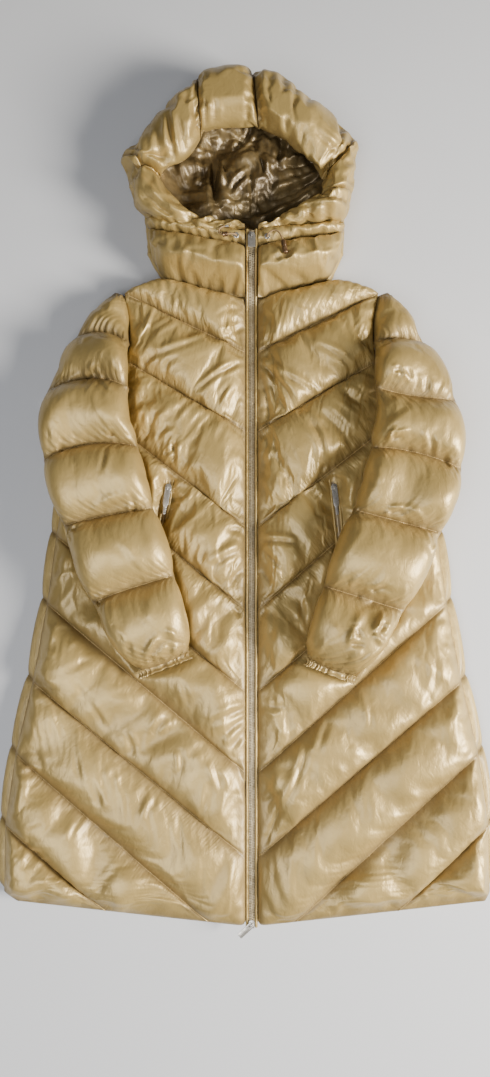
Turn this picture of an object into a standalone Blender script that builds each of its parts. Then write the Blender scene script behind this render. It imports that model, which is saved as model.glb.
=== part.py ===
"""A long hooded down coat, laid on its back with the sleeves brought in over the front.

Metres, +Z up, +Y towards the hood, +X towards the wearer's left. The coat lies on the plane Z = 0.
Every panel is a padded layer: a plain inside, and an outside raised between the quilting seams.
Tables are for one half, with x counted outwards from the zip, and y from a point at the waist.
The finished coat is then moved so that its origin is in the middle of its back.
"""

import math

import bmesh
import bpy
import numpy as np
from mathutils import Matrix, Vector

# --- Driving sizes -------------------------------------------------------------------------------
ORIGIN_Y = 0.170  # the origin's place in the tables, in the flat middle of one of the back's baffles
GAP = 0.0003  # between pieces that are sewn or that lie on each other
ZIP_HALF = 0.0100  # half the slot between the two fronts, which the zip fills

BACK_THICK = 0.024  # the back's padded layer, pressed flat by the floor
FRONT_SEAM = 0.0050  # thickness of a front at a quilting seam
FRONT_PUFF = 0.0310  # how far a front's baffles rise above their seams
EDGE_THICK = 0.0032  # a padded layer where it is sewn at its edge
ROUNDING = 0.030  # width over which a baffle falls to a sewn edge
BACK_BOLSTER = 0.014  # how far the back wraps out past the side seam
BACK_GROOVE = 0.005  # depth of the back's seams over the floor
BACK_ROUNDING = 0.020
BACK_NECK_Y = 0.4990

SLEEVE_RISE = 0.048  # the sleeves lie this high where they cross the front
SLEEVE_UNDER = 0.026  # thickness of the sleeve's under layer
SLEEVE_SEAM = 0.0060
SLEEVE_PUFF = 0.0340
SLEEVE_SLIT = 0.0020  # the room inside a sleeve that lies flat
SLEEVE_END_HALF = 0.0075  # each layer's thickness where the cuff is sewn on
FRONT_UNDER_SLEEVE = 0.0420  # the front's baffles are pressed down to this height there
SCALLOP = 0.006  # how far an edge bulges between two seams

HOOD_FLOOR = BACK_THICK + 2 * GAP  # the top of the hood's back, which the brim lies on

BAFFLE_ROWS = (0.0, 0.12, 0.35, 0.62, 0.88)  # where a baffle has rows, as shares of its width
POCKET_AT = 0.49  # the pocket's place on a row, as a share from the zip to the side
POCKET_ROWS = (3.12, 4.42)  # the pocket zip's ends, counted in seams from the neck
FRONT_COLUMNS = (0.0, 0.035, 0.10, 0.21, 0.33, POCKET_AT - 0.060, POCKET_AT - 0.030,
                 POCKET_AT + 0.030, POCKET_AT + 0.060, 0.63, 0.71, 0.79, 0.88, 0.96, 1.0)

# The body's rows: seam number from the neck, then where that row starts (on the zip, or on the hem
# from 7.6 on) and where it ends (shoulder, armhole, side).
BODY_ROWS = (
    # seam, start x, start y, end x, end y
    (0.00, 0.010, 0.466, 0.143, 0.498),
    (1.00, 0.010, 0.378, 0.205, 0.472),
    (1.35, 0.010, 0.333, 0.197, 0.430),
    (1.65, 0.010, 0.294, 0.196, 0.400),
    (2.00, 0.010, 0.249, 0.200, 0.360),
    (2.50, 0.010, 0.172, 0.205, 0.315),
    (2.80, 0.010, 0.125, 0.218, 0.288),
    (3.00, 0.010, 0.094, 0.240, 0.272),
    (3.25, 0.010, 0.061, 0.268, 0.262),
    (4.00, 0.010, -0.038, 0.287, 0.195),
    (5.00, 0.010, -0.166, 0.305, 0.080),
    (6.00, 0.010, -0.292, 0.318, -0.027),
    (7.00, 0.010, -0.421, 0.339, -0.150),
    (7.62, 0.010, -0.527, 0.354, -0.217),
    (8.00, 0.066, -0.521, 0.364, -0.262),
    (9.00, 0.226, -0.504, 0.378, -0.372),
    (10.0, 0.362, -0.489, 0.378, -0.473),
)
HEM_CORNER = 7.62  # the row that starts where the zip meets the hem
SIDE_SHIFT = {"right": 0.0075, "left": -0.0075}  # the coat lies this much to the wearer's right

# The sleeves' rows: seam number from the shoulder, the inner end (on the armhole up to 2.0, then
# the edge that lies on the front) and the outer end.
SLEEVE_ROWS = {
    "right": (
        # seam, inner x, inner y, outer x, outer y
        (0.00, 0.2062, 0.4700, 0.222, 0.4760),
        (0.50, 0.1978, 0.4260, 0.252, 0.4440),
        (1.00, 0.1976, 0.3860, 0.282, 0.3960),
        (1.50, 0.1930, 0.3420, 0.313, 0.3530),
        (2.00, 0.1920, 0.3060, 0.333, 0.3000),
        (2.40, 0.1900, 0.2560, 0.333, 0.2520),
        (3.00, 0.176, 0.2150, 0.327, 0.1910),
        (3.50, 0.166, 0.1650, 0.312, 0.1400),
        (4.00, 0.152, 0.1190, 0.294, 0.0900),
        (5.00, 0.119, 0.0160, 0.250, -0.0270),
        (6.00, 0.092, -0.0980, 0.184, -0.1340),
    ),
    "left": (
        (0.00, 0.2062, 0.4700, 0.222, 0.4760),
        (0.50, 0.1978, 0.4260, 0.250, 0.4440),
        (1.00, 0.1976, 0.3860, 0.278, 0.3870),
        (1.50, 0.1930, 0.3420, 0.306, 0.3470),
        (2.00, 0.1920, 0.3060, 0.328, 0.2900),
        (2.40, 0.1930, 0.2560, 0.331, 0.2400),
        (3.00, 0.186, 0.2140, 0.330, 0.1760),
        (3.50, 0.174, 0.1650, 0.316, 0.1240),
        (4.00, 0.156, 0.1170, 0.296, 0.0790),
        (5.00, 0.110, 0.0000, 0.238, -0.0400),
        (6.00, 0.080, -0.1080, 0.168, -0.1420),
    ),
}
SLEEVE_COLUMNS = (0.0, 0.035, 0.12, 0.28, 0.50, 0.72, 0.88, 0.965, 1.0)
SLEEVE_END = 6.0
CUFF_HALF_HEIGHT = 0.0085  # at the elastic
CUFF_LENGTH = 0.012
CUFF_WALL = 0.0060
CUFF_GATHERS = 14
CUFF_GATHER_DEPTH = 0.0012

# The hood's side pieces: sections round the face opening, from the gusset to the zip.
# outer x, outer y, inner x, inner y, height of the underside, height of the top (metres, signed x)
HOOD_SIDE = {
    "right": (
        (-0.0870, 0.8190, -0.0820, 0.7225, 0.0246, 0.090),
        (-0.1020, 0.8110, -0.0860, 0.7150, 0.0246, 0.099),
        (-0.1250, 0.7910, -0.0950, 0.7010, 0.0246, 0.099),
        (-0.1500, 0.7650, -0.1070, 0.6880, 0.0246, 0.094),
        (-0.1820, 0.7280, -0.1250, 0.6770, 0.0246, 0.087),
        (-0.2120, 0.6990, -0.1440, 0.6660, 0.0246, 0.076),
        (-0.2040, 0.6720, -0.1470, 0.6560, 0.0246, 0.074),
        (-0.1950, 0.6360, -0.1400, 0.6400, 0.0246, 0.084),
        (-0.1840, 0.6060, -0.1270, 0.6220, 0.0246, 0.091),
        (-0.1520, 0.5840, -0.1090, 0.6040, 0.0260, 0.092),
        (-0.1120, 0.5745, -0.0840, 0.5960, 0.0360, 0.091),
        (-0.0740, 0.5700, -0.0600, 0.5900, 0.0480, 0.088),
        (-0.0400, 0.5670, -0.0350, 0.5815, 0.0600, 0.084),
        (-0.0105, 0.5645, -0.0115, 0.5710, 0.0660, 0.078),
    ),
    "left": (
        (0.0015, 0.8280, 0.0110, 0.7350, 0.0246, 0.090),
        (0.0180, 0.8260, 0.0220, 0.7320, 0.0246, 0.099),
        (0.0577, 0.8130, 0.0500, 0.7160, 0.0246, 0.099),
        (0.0900, 0.7900, 0.0720, 0.6980, 0.0246, 0.097),
        (0.1250, 0.7640, 0.0940, 0.6800, 0.0246, 0.090),
        (0.1710, 0.7250, 0.1080, 0.6630, 0.0246, 0.077),
        (0.1700, 0.6960, 0.1110, 0.6470, 0.0246, 0.074),
        (0.1660, 0.6560, 0.1110, 0.6320, 0.0246, 0.084),
        (0.1600, 0.6220, 0.1040, 0.6180, 0.0246, 0.091),
        (0.1490, 0.5945, 0.0950, 0.6090, 0.0260, 0.092),
        (0.1200, 0.5805, 0.0800, 0.6000, 0.0360, 0.091),
        (0.0850, 0.5735, 0.0630, 0.5920, 0.0480, 0.088),
        (0.0500, 0.5680, 0.0400, 0.5830, 0.0600, 0.084),
        (0.0105, 0.5645, 0.0115, 0.5710, 0.0660, 0.078),
    ),
}
HOOD_GUSSET = (
    (-0.0858, 0.8176, -0.0810, 0.7230, 0.0246, 0.090),
    (-0.0720, 0.8250, -0.0690, 0.7290, 0.0246, 0.099),
    (-0.0430, 0.8300, -0.0370, 0.7360, 0.0246, 0.101),
    (-0.0140, 0.8320, -0.0040, 0.7360, 0.0246, 0.099),
    (0.0002, 0.8282, 0.0098, 0.7352, 0.0246, 0.090),
)
# The cord channel and the collar, for one half: edge nearer the face, edge nearer the hem.
CORD_CHANNEL = (
    # face x, face y, hem x, hem y, underside, top
    (0.0105, 0.5630, 0.0105, 0.5415, 0.0560, 0.075),
    (0.0400, 0.5655, 0.0400, 0.5475, 0.0500, 0.078),
    (0.0740, 0.5685, 0.0740, 0.5530, 0.0400, 0.079),
    (0.1110, 0.5730, 0.1120, 0.5585, 0.0300, 0.077),
    (0.1450, 0.5800, 0.1480, 0.5650, 0.0246, 0.071),
    (0.1680, 0.5890, 0.1740, 0.5760, 0.0246, 0.058),
)
COLLAR = (
    (0.0105, 0.5405, 0.0105, 0.4670, 0.0400, 0.074),
    (0.0280, 0.5440, 0.0300, 0.4716, 0.0300, 0.084),
    (0.0650, 0.5510, 0.0700, 0.4812, 0.0252, 0.087),
    (0.1100, 0.5575, 0.1150, 0.4920, 0.0246, 0.085),
    (0.1450, 0.5635, 0.1420, 0.5010, 0.0246, 0.075),
    (0.1720, 0.5740, 0.1640, 0.5280, 0.0246, 0.058),
)
COLLAR_REACH = {"right": 0.98, "left": 0.87}  # how far the bands reach on each side, as a share
# The hood's back and the collar's back, which lie on the floor: y, left x, right x.
HOOD_BACK = (
    (0.5480, -0.172, 0.152),
    (0.5800, -0.174, 0.154),
    (0.6300, -0.180, 0.154),
    (0.6850, -0.186, 0.158),
    (0.7300, -0.160, 0.140),
    (0.7700, -0.124, 0.104),
    (0.8000, -0.086, 0.060),
    (0.8160, -0.060, 0.020),
)
COLLAR_BACK = (
    (0.5005, -0.142, 0.130),
    (0.5200, -0.158, 0.140),
    (0.5474, -0.172, 0.152),
)

# The zip's path up the front, over the collar's edge and to the face opening: y, then height.
ZIP_PATH = (
    (-0.5290, 0.0243), (-0.4700, 0.0243), (-0.4100, 0.0243), (-0.3500, 0.0243), (-0.2900, 0.0243),
    (-0.2300, 0.0243), (-0.1700, 0.0243), (-0.1100, 0.0243), (-0.0500, 0.0243), (0.0100, 0.0243),
    (0.0700, 0.0243), (0.1300, 0.0243), (0.1900, 0.0243), (0.2500, 0.0243), (0.3100, 0.0243),
    (0.3700, 0.0243), (0.4200, 0.0243), (0.4500, 0.0255), (0.4680, 0.0310), (0.4830, 0.0400),
    (0.4980, 0.0510), (0.5120, 0.0600), (0.5240, 0.0665), (0.5360, 0.0695), (0.5450, 0.0700),
    (0.5630, 0.0700),
)
ZIP_TAPE_THICK = 0.0008
ZIP_TEETH_HALF = 0.0045
ZIP_TEETH_THICK = 0.0022
PIPING_HALF = 0.0022  # half the width of the rolled edge beside the teeth
PIPING_AT = 0.0072
PIPING_THICK = 0.0034

# Sliders: place, turn of the bail in degrees, and the pull's sizes.
SLIDERS = {
    # name: x, y, height under the slider, turn, half width, length, tail half width
    "top": (0.0, 0.5520, 0.0733, 0.0, 0.0060, 0.0195, 0.0060),
    "hem": (0.0, -0.5235, 0.0276, -48.0, 0.0045, 0.0260, 0.0045),
}
POCKET_PULL = (0.0045, 0.0440, 0.0022)  # half width, length, tail half width
SLIDER_HALF_X = 0.0048
SLIDER_HALF_Y = 0.0060
SLIDER_THICK = 0.0026
BAIL_HALF_WIDTH = 0.0010
BAIL_INSIDE = 0.0015  # from the pull's bar to the bail's legs
BAIL_OUTSIDE = 0.0030
BAR_RISE = 0.0013  # the pull's bar over the slider
BAIL_UNDER = 0.0026  # the bail's underside over the slider
BAIL_TOP = 0.0040
PULL_THICK = 0.0012
PULL_BAR = 0.0007  # half the bar's width
PULL_WINDOW = 0.0046  # from the bar's middle to the window's far end
PULL_WINDOW_HALF = 0.0016

LINING_THICK = 0.0014
LINING_RISE = 0.014
LINING_RINGS = (0.35, 0.65, 0.82, 1.0)

EYELETS = {"right": (-0.0245, 0.5515), "left": (0.0245, 0.5500)}
EYELET_RADIUS = 0.0042
EYELET_HOLE = 0.0016
EYELET_THICK = 0.0012
CORD_RADIUS = 0.0013
CORD_STEP = 0.0028
# The hood's cord where it comes out of each eyelet, and what is on its ends.
CORD_ROUTES = {
    "right": (
        (-0.0245, 0.5515, 0.0772), (-0.0248, 0.5515, 0.0786), (-0.0275, 0.5518, 0.0808),
        (-0.0320, 0.5518, 0.0818), (-0.0375, 0.5515, 0.0820),
        (-0.0455, 0.5505, 0.0820), (-0.0505, 0.5530, 0.0818), (-0.0512, 0.5580, 0.0814),
        (-0.0475, 0.5625, 0.0812), (-0.0420, 0.5640, 0.0812),
    ),
    "left": (
        (0.0245, 0.5500, 0.0772), (0.0246, 0.5502, 0.0786), (0.0264, 0.5523, 0.0809),
        (0.0300, 0.5550, 0.0824), (0.0345, 0.5565, 0.0836),
        (0.0405, 0.5540, 0.0852), (0.0445, 0.5485, 0.0872), (0.0470, 0.5425, 0.0888),
        (0.0485, 0.5385, 0.0896),
    ),
}
CORD_LOCK = ((-0.0388, 0.5513, 0.0820), (-0.0444, 0.5506, 0.0820))
CORD_LOCK_RADIUS = 0.0032
CORD_LOCK_BORE = 0.0017
CORD_TIP = ((-0.0416, 0.5641, 0.0812), (-0.0362, 0.5645, 0.0812))
CORD_TIP_RADIUS = 0.0018
CORD_TOGGLE = ((0.0487, 0.5380, 0.0899), (0.0530, 0.5165, 0.0899))
CORD_TOGGLE_RADIUS = 0.0032

COLOURS = {
    # name: (red, green, blue), roughness, metallic
    "shell": ((0.52, 0.36, 0.15), 0.32, 0.0),
    "lining": ((0.20, 0.12, 0.04), 0.35, 0.0),
    "zip_tape": ((0.42, 0.29, 0.13), 0.7, 0.0),
    "zip_metal": ((0.72, 0.66, 0.52), 0.3, 1.0),
    "trim_metal": ((0.75, 0.74, 0.70), 0.25, 1.0),
    "cord": ((0.40, 0.25, 0.09), 0.6, 0.0),
}


# --- Helpers -------------------------------------------------------------------------------------
def clear_scene():
    for old in list(bpy.data.objects):
        bpy.data.objects.remove(old)


def material(name):
    """The Principled material of that name, made on its first use."""
    if name in bpy.data.materials:
        return bpy.data.materials[name]
    colour, roughness, metallic = COLOURS[name]
    made = bpy.data.materials.new(name)
    made.use_nodes = True
    shader = made.node_tree.nodes["Principled BSDF"]
    shader.inputs["Base Color"].default_value = (*colour, 1.0)
    shader.inputs["Roughness"].default_value = roughness
    shader.inputs["Metallic"].default_value = metallic
    return made


def add_object(name, data, material_name, parent):
    """A new object in the coat's collection, with its material and its parent."""
    obj = bpy.data.objects.new(name, data)
    data.materials.append(material(material_name))
    bpy.data.collections["coat"].objects.link(obj)
    obj.parent = parent
    return obj


def smoothstep(low, high, value):
    share = np.clip((value - low) / (high - low), 0.0, 1.0)
    return share * share * (3.0 - 2.0 * share)


def quarter_round(distance, width):
    """0 at an edge and 1 from width inwards, as a quarter circle."""
    share = np.clip(distance / width, 0.0, 1.0)
    return np.sqrt(1.0 - (1.0 - share) ** 2)


def puff(row):
    """The rise of a baffle between seams, 0 on a seam and 1 in its middle."""
    share = row - np.floor(row)
    return (4.0 * share * (1.0 - share)) ** 0.6


def column(table, index, at):
    """One column of a table, read at a place on its first column."""
    rows = np.array(table)
    return np.interp(at, rows[:, 0], rows[:, index])


def row_places(last_seam, extra=()):
    """The rows of a quilted layer, as seam numbers."""
    places = {seam + share for seam in range(int(last_seam)) for share in BAFFLE_ROWS}
    return np.array(sorted(places | {float(last_seam)} | set(extra)))


def add_layer(mesh, outer, inner, open_rows=0):
    """The faces of a layer between an outer grid and an inner grid of points with the same rows.

    The grids may have different numbers of columns. The first open_rows intervals have no wall at
    their starting end, where another half joins on.
    """
    top = [[mesh.verts.new(point) for point in row] for row in outer]
    under = [[mesh.verts.new(point) for point in row] for row in inner]
    for grid in (top, under):
        for first, second in zip(grid, grid[1:]):
            for a, b, c, d in zip(first, first[1:], second[1:], second):
                mesh.faces.new((a, b, c, d))
    for i in range(len(top) - 1):
        if i >= open_rows:
            mesh.faces.new((top[i][0], top[i + 1][0], under[i + 1][0], under[i][0]))
        mesh.faces.new((top[i][-1], under[i][-1], under[i + 1][-1], top[i + 1][-1]))
    for end in (0, -1):
        mesh.faces.new(top[end] + under[end][::-1])


def finish_mesh(name, mesh, material_name, parent, smooth=True):
    """Turns a bmesh into an object of the coat, with its faces outwards."""
    bmesh.ops.recalc_face_normals(mesh, faces=mesh.faces)
    data = bpy.data.meshes.new(name)
    mesh.to_mesh(data)
    mesh.free()
    if smooth:
        data.shade_smooth()
    return add_object(name, data, material_name, parent)


def loft_layer(name, outer, inner, material_name, parent):
    mesh = bmesh.new()
    add_layer(mesh, outer, inner)
    return finish_mesh(name, mesh, material_name, parent)


def loft_rings(name, rings, material_name, parent, closed=False):
    """A solid through rings of equally many points, with flat ends or closed on itself."""
    mesh = bmesh.new()
    verts = [[mesh.verts.new(point) for point in ring] for ring in rings]
    pairs = list(zip(verts, verts[1:] + verts[:1] if closed else verts[1:]))
    for first, second in pairs:
        for i in range(len(first)):
            j = (i + 1) % len(first)
            mesh.faces.new((first[i], first[j], second[j], second[i]))
    if not closed:
        mesh.faces.new(verts[0])
        mesh.faces.new(verts[-1])
    return finish_mesh(name, mesh, material_name, parent)


def distance_to_line(x, y, line):
    """How far points lie from a line of points, and on which side: positive on its right."""
    line = np.array(line)
    best = np.full(np.shape(x), np.inf)
    side = np.zeros(np.shape(x))
    for (ax, ay), (bx, by) in zip(line[:-1], line[1:]):
        dx, dy = bx - ax, by - ay
        share = np.clip(((x - ax) * dx + (y - ay) * dy) / (dx * dx + dy * dy), 0.0, 1.0)
        away = np.hypot(x - ax - share * dx, y - ay - share * dy)
        turn = (x - ax) * dy - (y - ay) * dx
        nearer = away < best
        best = np.where(nearer, away, best)
        side = np.where(nearer, np.sign(turn), side)
    return best * side


# --- The body ------------------------------------------------------------------------------------
def back_reach(row):
    """How far the back's edge lies outside the front's, which is its bolster past the armpit."""
    return BACK_BOLSTER * smoothstep(3.0, 4.0, row)


def row_ends(side, row, widen=0.0):
    """Where rows of the body start and end in plan, with the ends moved out along the rows."""
    start = np.stack([column(BODY_ROWS, 1, row), column(BODY_ROWS, 2, row)])
    shift = SIDE_SHIFT[side] * smoothstep(3.0, 4.0, row)
    end = np.stack([column(BODY_ROWS, 3, row) + shift, column(BODY_ROWS, 4, row)])
    along = (end - start) / np.hypot(*(end - start))
    return start, end + along * widen


def body_outline(side):
    """The back's edge from the shoulder down to the hem's corner, in plan, for one half."""
    rows = np.array([r[0] for r in BODY_ROWS if r[0] >= 1.0])
    _, end = row_ends(side, rows, back_reach(rows) + SCALLOP * np.where(rows > 3.0, 1.0, 0.0))
    return end.T


def sleeve_frame(side, row, share):
    """Places on a sleeve's row in plan, the heights of its underside and of the top of its under
    layer there, and the row's length."""
    table = SLEEVE_ROWS[side]
    inner = np.stack([column(table, 1, row), column(table, 2, row)])
    outer = np.stack([column(table, 3, row), column(table, 4, row)])
    across = (outer - inner) / np.hypot(*(outer - inner))
    bulge = SCALLOP * puff(row) * np.where(row < SLEEVE_END, 1.0, 0.0)
    outer = outer + across * (bulge - SCALLOP * smoothstep(0.0, 1.0, row))
    inner = inner - across * bulge * smoothstep(2.0, 2.4, row)
    point = inner + (outer - inner) * share
    past_side = -distance_to_line(point[0], point[1], body_outline(side))
    climbed = smoothstep(0.80, 1.50, row)
    under = SLEEVE_UNDER + (SLEEVE_END_HALF - SLEEVE_UNDER) * smoothstep(5.4, 6.0, row)
    low = SLEEVE_RISE * climbed * (1.0 - smoothstep(0.010, 0.060, past_side))
    middle = SLEEVE_RISE * climbed * (1.0 - smoothstep(0.010, 0.110, past_side)) + under
    return point, low, middle, np.hypot(*(outer - inner))


def back_underside(row, share, length, neck):
    """The back's height over the floor: flat in the middle of a baffle, raised at seams and edges."""
    to_seam = np.minimum(row - np.floor(row), np.ceil(row) - row)
    groove = BACK_GROOVE * (1.0 - smoothstep(0.0, 0.3, to_seam))
    edge = quarter_round((1.0 - share) * length, BACK_ROUNDING)
    edge = edge * quarter_round(neck, BACK_ROUNDING)
    lifted = BACK_THICK - EDGE_THICK
    return lifted + (groove - lifted) * edge


def make_back(parent):
    """The back: a layer for each half, joined over the middle of the coat."""
    rows = row_places(10)
    shares = np.array((0.0, 0.3, 0.6, 0.85, 0.95, 1.0))
    mesh = bmesh.new()
    for side, sign in (("right", -1.0), ("left", 1.0)):
        under, plain = [], []
        for row in rows:
            widen = float(back_reach(row) + SCALLOP * puff(row) * smoothstep(3.0, 3.3, row))
            start, end = row_ends(side, row, widen)
            if row <= HEM_CORNER:
                start[0] = 0.0
            start[1] += (BACK_NECK_Y - BODY_ROWS[0][2]) * max(0.0, 1.0 - row)
            length = math.hypot(*(end - start))
            heights = back_underside(row, shares, length, row * 0.09)
            places = start + (end - start) * shares[:, None]
            under.append([(sign * x, y, z) for (x, y), z in zip(places, heights)])
            plain.append([(sign * x, y, BACK_THICK) for x, y in places[::5]])
        add_layer(mesh, plain, under, int(np.searchsorted(rows, HEM_CORNER)))
    bmesh.ops.remove_doubles(mesh, verts=mesh.verts, dist=0.00001)
    return finish_mesh("back_panel", mesh, "shell", parent)


def sleeve_line(side):
    """The sleeve's outline over the front, from the armhole down its inner edge and back up."""
    inner = [(r[1], r[2]) for r in SLEEVE_ROWS[side] if r[0] >= 1.0]
    outer = [(r[3], r[4]) for r in SLEEVE_ROWS[side] if r[0] >= 1.0]
    last_inner, last_outer = np.array(inner[-1]), np.array(outer[-1])
    along = cuff_direction(side) * (CUFF_LENGTH + 0.003)
    return inner + [tuple(last_inner + along), tuple(last_outer + along)] + outer[::-1]


def cuff_direction(side):
    """The unit vector in plan out of the sleeve's end."""
    last = SLEEVE_ROWS[side][-1]
    across = np.array([last[3] - last[1], last[4] - last[2]])
    return np.array([across[1], -across[0]]) / math.hypot(*across)


def shoulder_bulge(row):
    """How far a front bulges past a straight line along the shoulder, between its first two rows."""
    return SCALLOP * puff(row) * np.where(row < 1.0, 1.0, 0.0)


def front_top(side, row, share):
    """The height of a front's outside over the floor, at places given as rows and shares."""
    start, end = row_ends(side, row, shoulder_bulge(row))
    length = np.hypot(*(end - start))
    point = start + (end - start) * share
    edges = quarter_round(share * length, ROUNDING) * quarter_round((1.0 - share) * length, ROUNDING)
    pocket = smoothstep(POCKET_ROWS[0] - 0.12, POCKET_ROWS[0], row)
    pocket = pocket * (1.0 - smoothstep(POCKET_ROWS[1], POCKET_ROWS[1] + 0.12, row))
    beside = smoothstep(0.030, 0.060, np.abs(share - POCKET_AT))
    rise = FRONT_PUFF * puff(row) * (1.0 - pocket * (1.0 - beside))
    top = BACK_THICK + GAP + EDGE_THICK + (FRONT_SEAM - EDGE_THICK + rise) * edges
    clear = distance_to_line(point[0], point[1], sleeve_line(side))
    pressed = FRONT_UNDER_SLEEVE + 0.030 * smoothstep(0.014, 0.044, clear)
    return point, np.minimum(top, pressed)


def make_front(side, parent):
    sign = -1.0 if side == "right" else 1.0
    rows = row_places(10, POCKET_ROWS)
    outer, inner = [], []
    for row in rows:
        shares = np.array(FRONT_COLUMNS)
        point, top = front_top(side, np.full(shares.shape, row), shares)
        outer.append(list(zip(sign * point[0], point[1], top)))
        start, end = row_ends(side, row, shoulder_bulge(row))
        base = BACK_THICK + GAP
        inner.append([(sign * start[0], start[1], base), (sign * end[0], end[1], base)])
    return loft_layer("front_" + side, outer, inner, "shell", parent)


# --- The sleeves ---------------------------------------------------------------------------------
def sleeve_section(side, row, sign, opened):
    """One row of a sleeve: its outside from under the inner edge round to over it, and its inside."""
    shares = np.array(SLEEVE_COLUMNS)
    rows = np.full(shares.shape, row)
    point, low, middle, length = sleeve_frame(side, rows, shares)
    ends = quarter_round(shares * length, ROUNDING) * quarter_round((1.0 - shares) * length, ROUNDING)
    thick = SLEEVE_SEAM + SLEEVE_PUFF * puff(rows)
    thick = thick + (SLEEVE_END_HALF - thick) * smoothstep(5.85, 6.0, rows)
    over = middle + SLEEVE_SLIT + EDGE_THICK + np.maximum(thick - EDGE_THICK, 0.0) * ends
    under = middle - EDGE_THICK + (low - middle + EDGE_THICK) * ends
    outer = list(zip(sign * point[0], point[1], under))
    outer += list(zip(sign * point[0], point[1], over))[::-1]
    margin = min(0.010, 0.3 * float(length[0])) / float(length[0])
    places = np.array([0.0 if opened else margin, 0.28, 0.50, 0.72, 1.0 - margin])
    rows = np.full(places.shape, row)
    point, low, middle, _ = sleeve_frame(side, rows, places)
    inner = list(zip(sign * point[0], point[1], middle))
    inner += list(zip(sign * point[0], point[1], middle + SLEEVE_SLIT))[::-1]
    return outer, inner


def make_sleeve(side, parent):
    """A sleeve: open along the armhole for its first two baffles, and a tube from there on."""
    sign = -1.0 if side == "right" else 1.0
    rows = row_places(6)
    closes = int(np.searchsorted(rows, 2.0))
    mesh = bmesh.new()
    outer, inner = [], []
    for i, row in enumerate(rows):
        section = sleeve_section(side, row, sign, i < closes)
        outer.append([mesh.verts.new(point) for point in section[0]])
        inner.append([mesh.verts.new(point) for point in section[1]])
    for grid in (outer, inner):
        for i, (first, second) in enumerate(zip(grid, grid[1:])):
            for j in range(len(first) - 1):
                mesh.faces.new((first[j], first[j + 1], second[j + 1], second[j]))
            if i >= closes:
                mesh.faces.new((first[-1], first[0], second[0], second[-1]))
    for i in range(closes):
        mesh.faces.new((outer[i][0], outer[i + 1][0], inner[i + 1][0], inner[i][0]))
        mesh.faces.new((outer[i][-1], outer[i + 1][-1], inner[i + 1][-1], inner[i][-1]))
    ring, slit = outer[closes], inner[closes]
    mesh.faces.new((ring[0], ring[-1], slit[-1], slit[0]))
    mesh.faces.new(outer[0] + inner[0][::-1])
    half, slit_half = len(outer[-1]) // 2, len(inner[-1]) // 2
    ring, slit = outer[-1], inner[-1]
    mesh.faces.new(ring[:half] + slit[:slit_half][::-1])
    mesh.faces.new(ring[half:] + slit[slit_half:][::-1])
    mesh.faces.new((ring[half - 1], ring[half], slit[slit_half], slit[slit_half - 1]))
    mesh.faces.new((ring[-1], ring[0], slit[0], slit[-1]))
    return finish_mesh("sleeve_" + side, mesh, "shell", parent)


def make_cuff(side, parent):
    """The gathered elastic edge at a sleeve's end."""
    sign = -1.0 if side == "right" else 1.0
    last = SLEEVE_ROWS[side][-1]
    inner, outer = np.array(last[1:3]), np.array(last[3:5])
    across = (outer - inner) / math.hypot(*(outer - inner))
    half = math.hypot(*(outer - inner)) / 2
    middle = (inner + outer) / 2
    height = SLEEVE_RISE + CUFF_HALF_HEIGHT
    turns = np.arange(2 * CUFF_GATHERS) * math.pi / CUFF_GATHERS
    gather = np.where(np.arange(2 * CUFF_GATHERS) % 2, -CUFF_GATHER_DEPTH, 0.0)

    def ring(out, wide, tall, waves):
        x = np.sign(np.cos(turns)) * np.abs(np.cos(turns)) ** 0.7 * (wide + waves * gather)
        z = np.sign(np.sin(turns)) * np.abs(np.sin(turns)) ** 0.7 * (tall + waves * gather)
        spot = middle + cuff_direction(side) * out
        return [(sign * (spot[0] + across[0] * a), spot[1] + across[1] * a, height + b)
                for a, b in zip(x, z)]

    stations = ((GAP, half, CUFF_HALF_HEIGHT - 0.001), (0.004, half - 0.003, CUFF_HALF_HEIGHT - 0.001),
                (0.008, half - 0.003, CUFF_HALF_HEIGHT - 0.001), (CUFF_LENGTH, half, CUFF_HALF_HEIGHT))
    outside = [ring(out, wide, tall, 1.0) for out, wide, tall in stations]
    hole = (half - 0.003 - CUFF_WALL, CUFF_HALF_HEIGHT - CUFF_WALL)
    inside = [ring(CUFF_LENGTH, *hole, 0.0), ring(GAP, *hole, 0.0)]
    return loft_rings("cuff_" + side, outside + inside, "shell", parent, closed=True)


# --- The hood and the collar ---------------------------------------------------------------------
def floor_pad(name, table, parent, flat_start, flat_end):
    """A pad on the floor through rows of (y, left, right), with its underside rounded at the edges."""
    shares = np.array((0.0, 0.05, 0.2, 0.5, 0.8, 0.95, 1.0))
    under, plain = [], []
    first, last = table[0][0], table[-1][0]
    for y, left, right in table:
        x = left + (right - left) * shares
        side = quarter_round(np.minimum(shares, 1 - shares) * (right - left), BACK_ROUNDING)
        start = 1.0 if flat_start else quarter_round(y - first, BACK_ROUNDING)
        end = 1.0 if flat_end else quarter_round(last - y, BACK_ROUNDING)
        z = (BACK_THICK - EDGE_THICK) * (1.0 - side * start * end)
        under.append([(a, y, b) for a, b in zip(x, z)])
        plain.append([(left, y, BACK_THICK), (right, y, BACK_THICK)])
    return loft_layer(name, plain, under, "shell", parent)


BRIM_PROFILE = (
    # share of the way in to the face, share of the height
    (0.05, 0.00), (0.00, 0.28), (0.09, 0.68), (0.28, 0.93), (0.52, 1.00), (0.78, 0.92),
    (0.96, 0.74), (1.00, 0.56), (0.92, 0.42), (0.62, 0.38), (0.42, 0.22), (0.36, 0.00),
)


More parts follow.
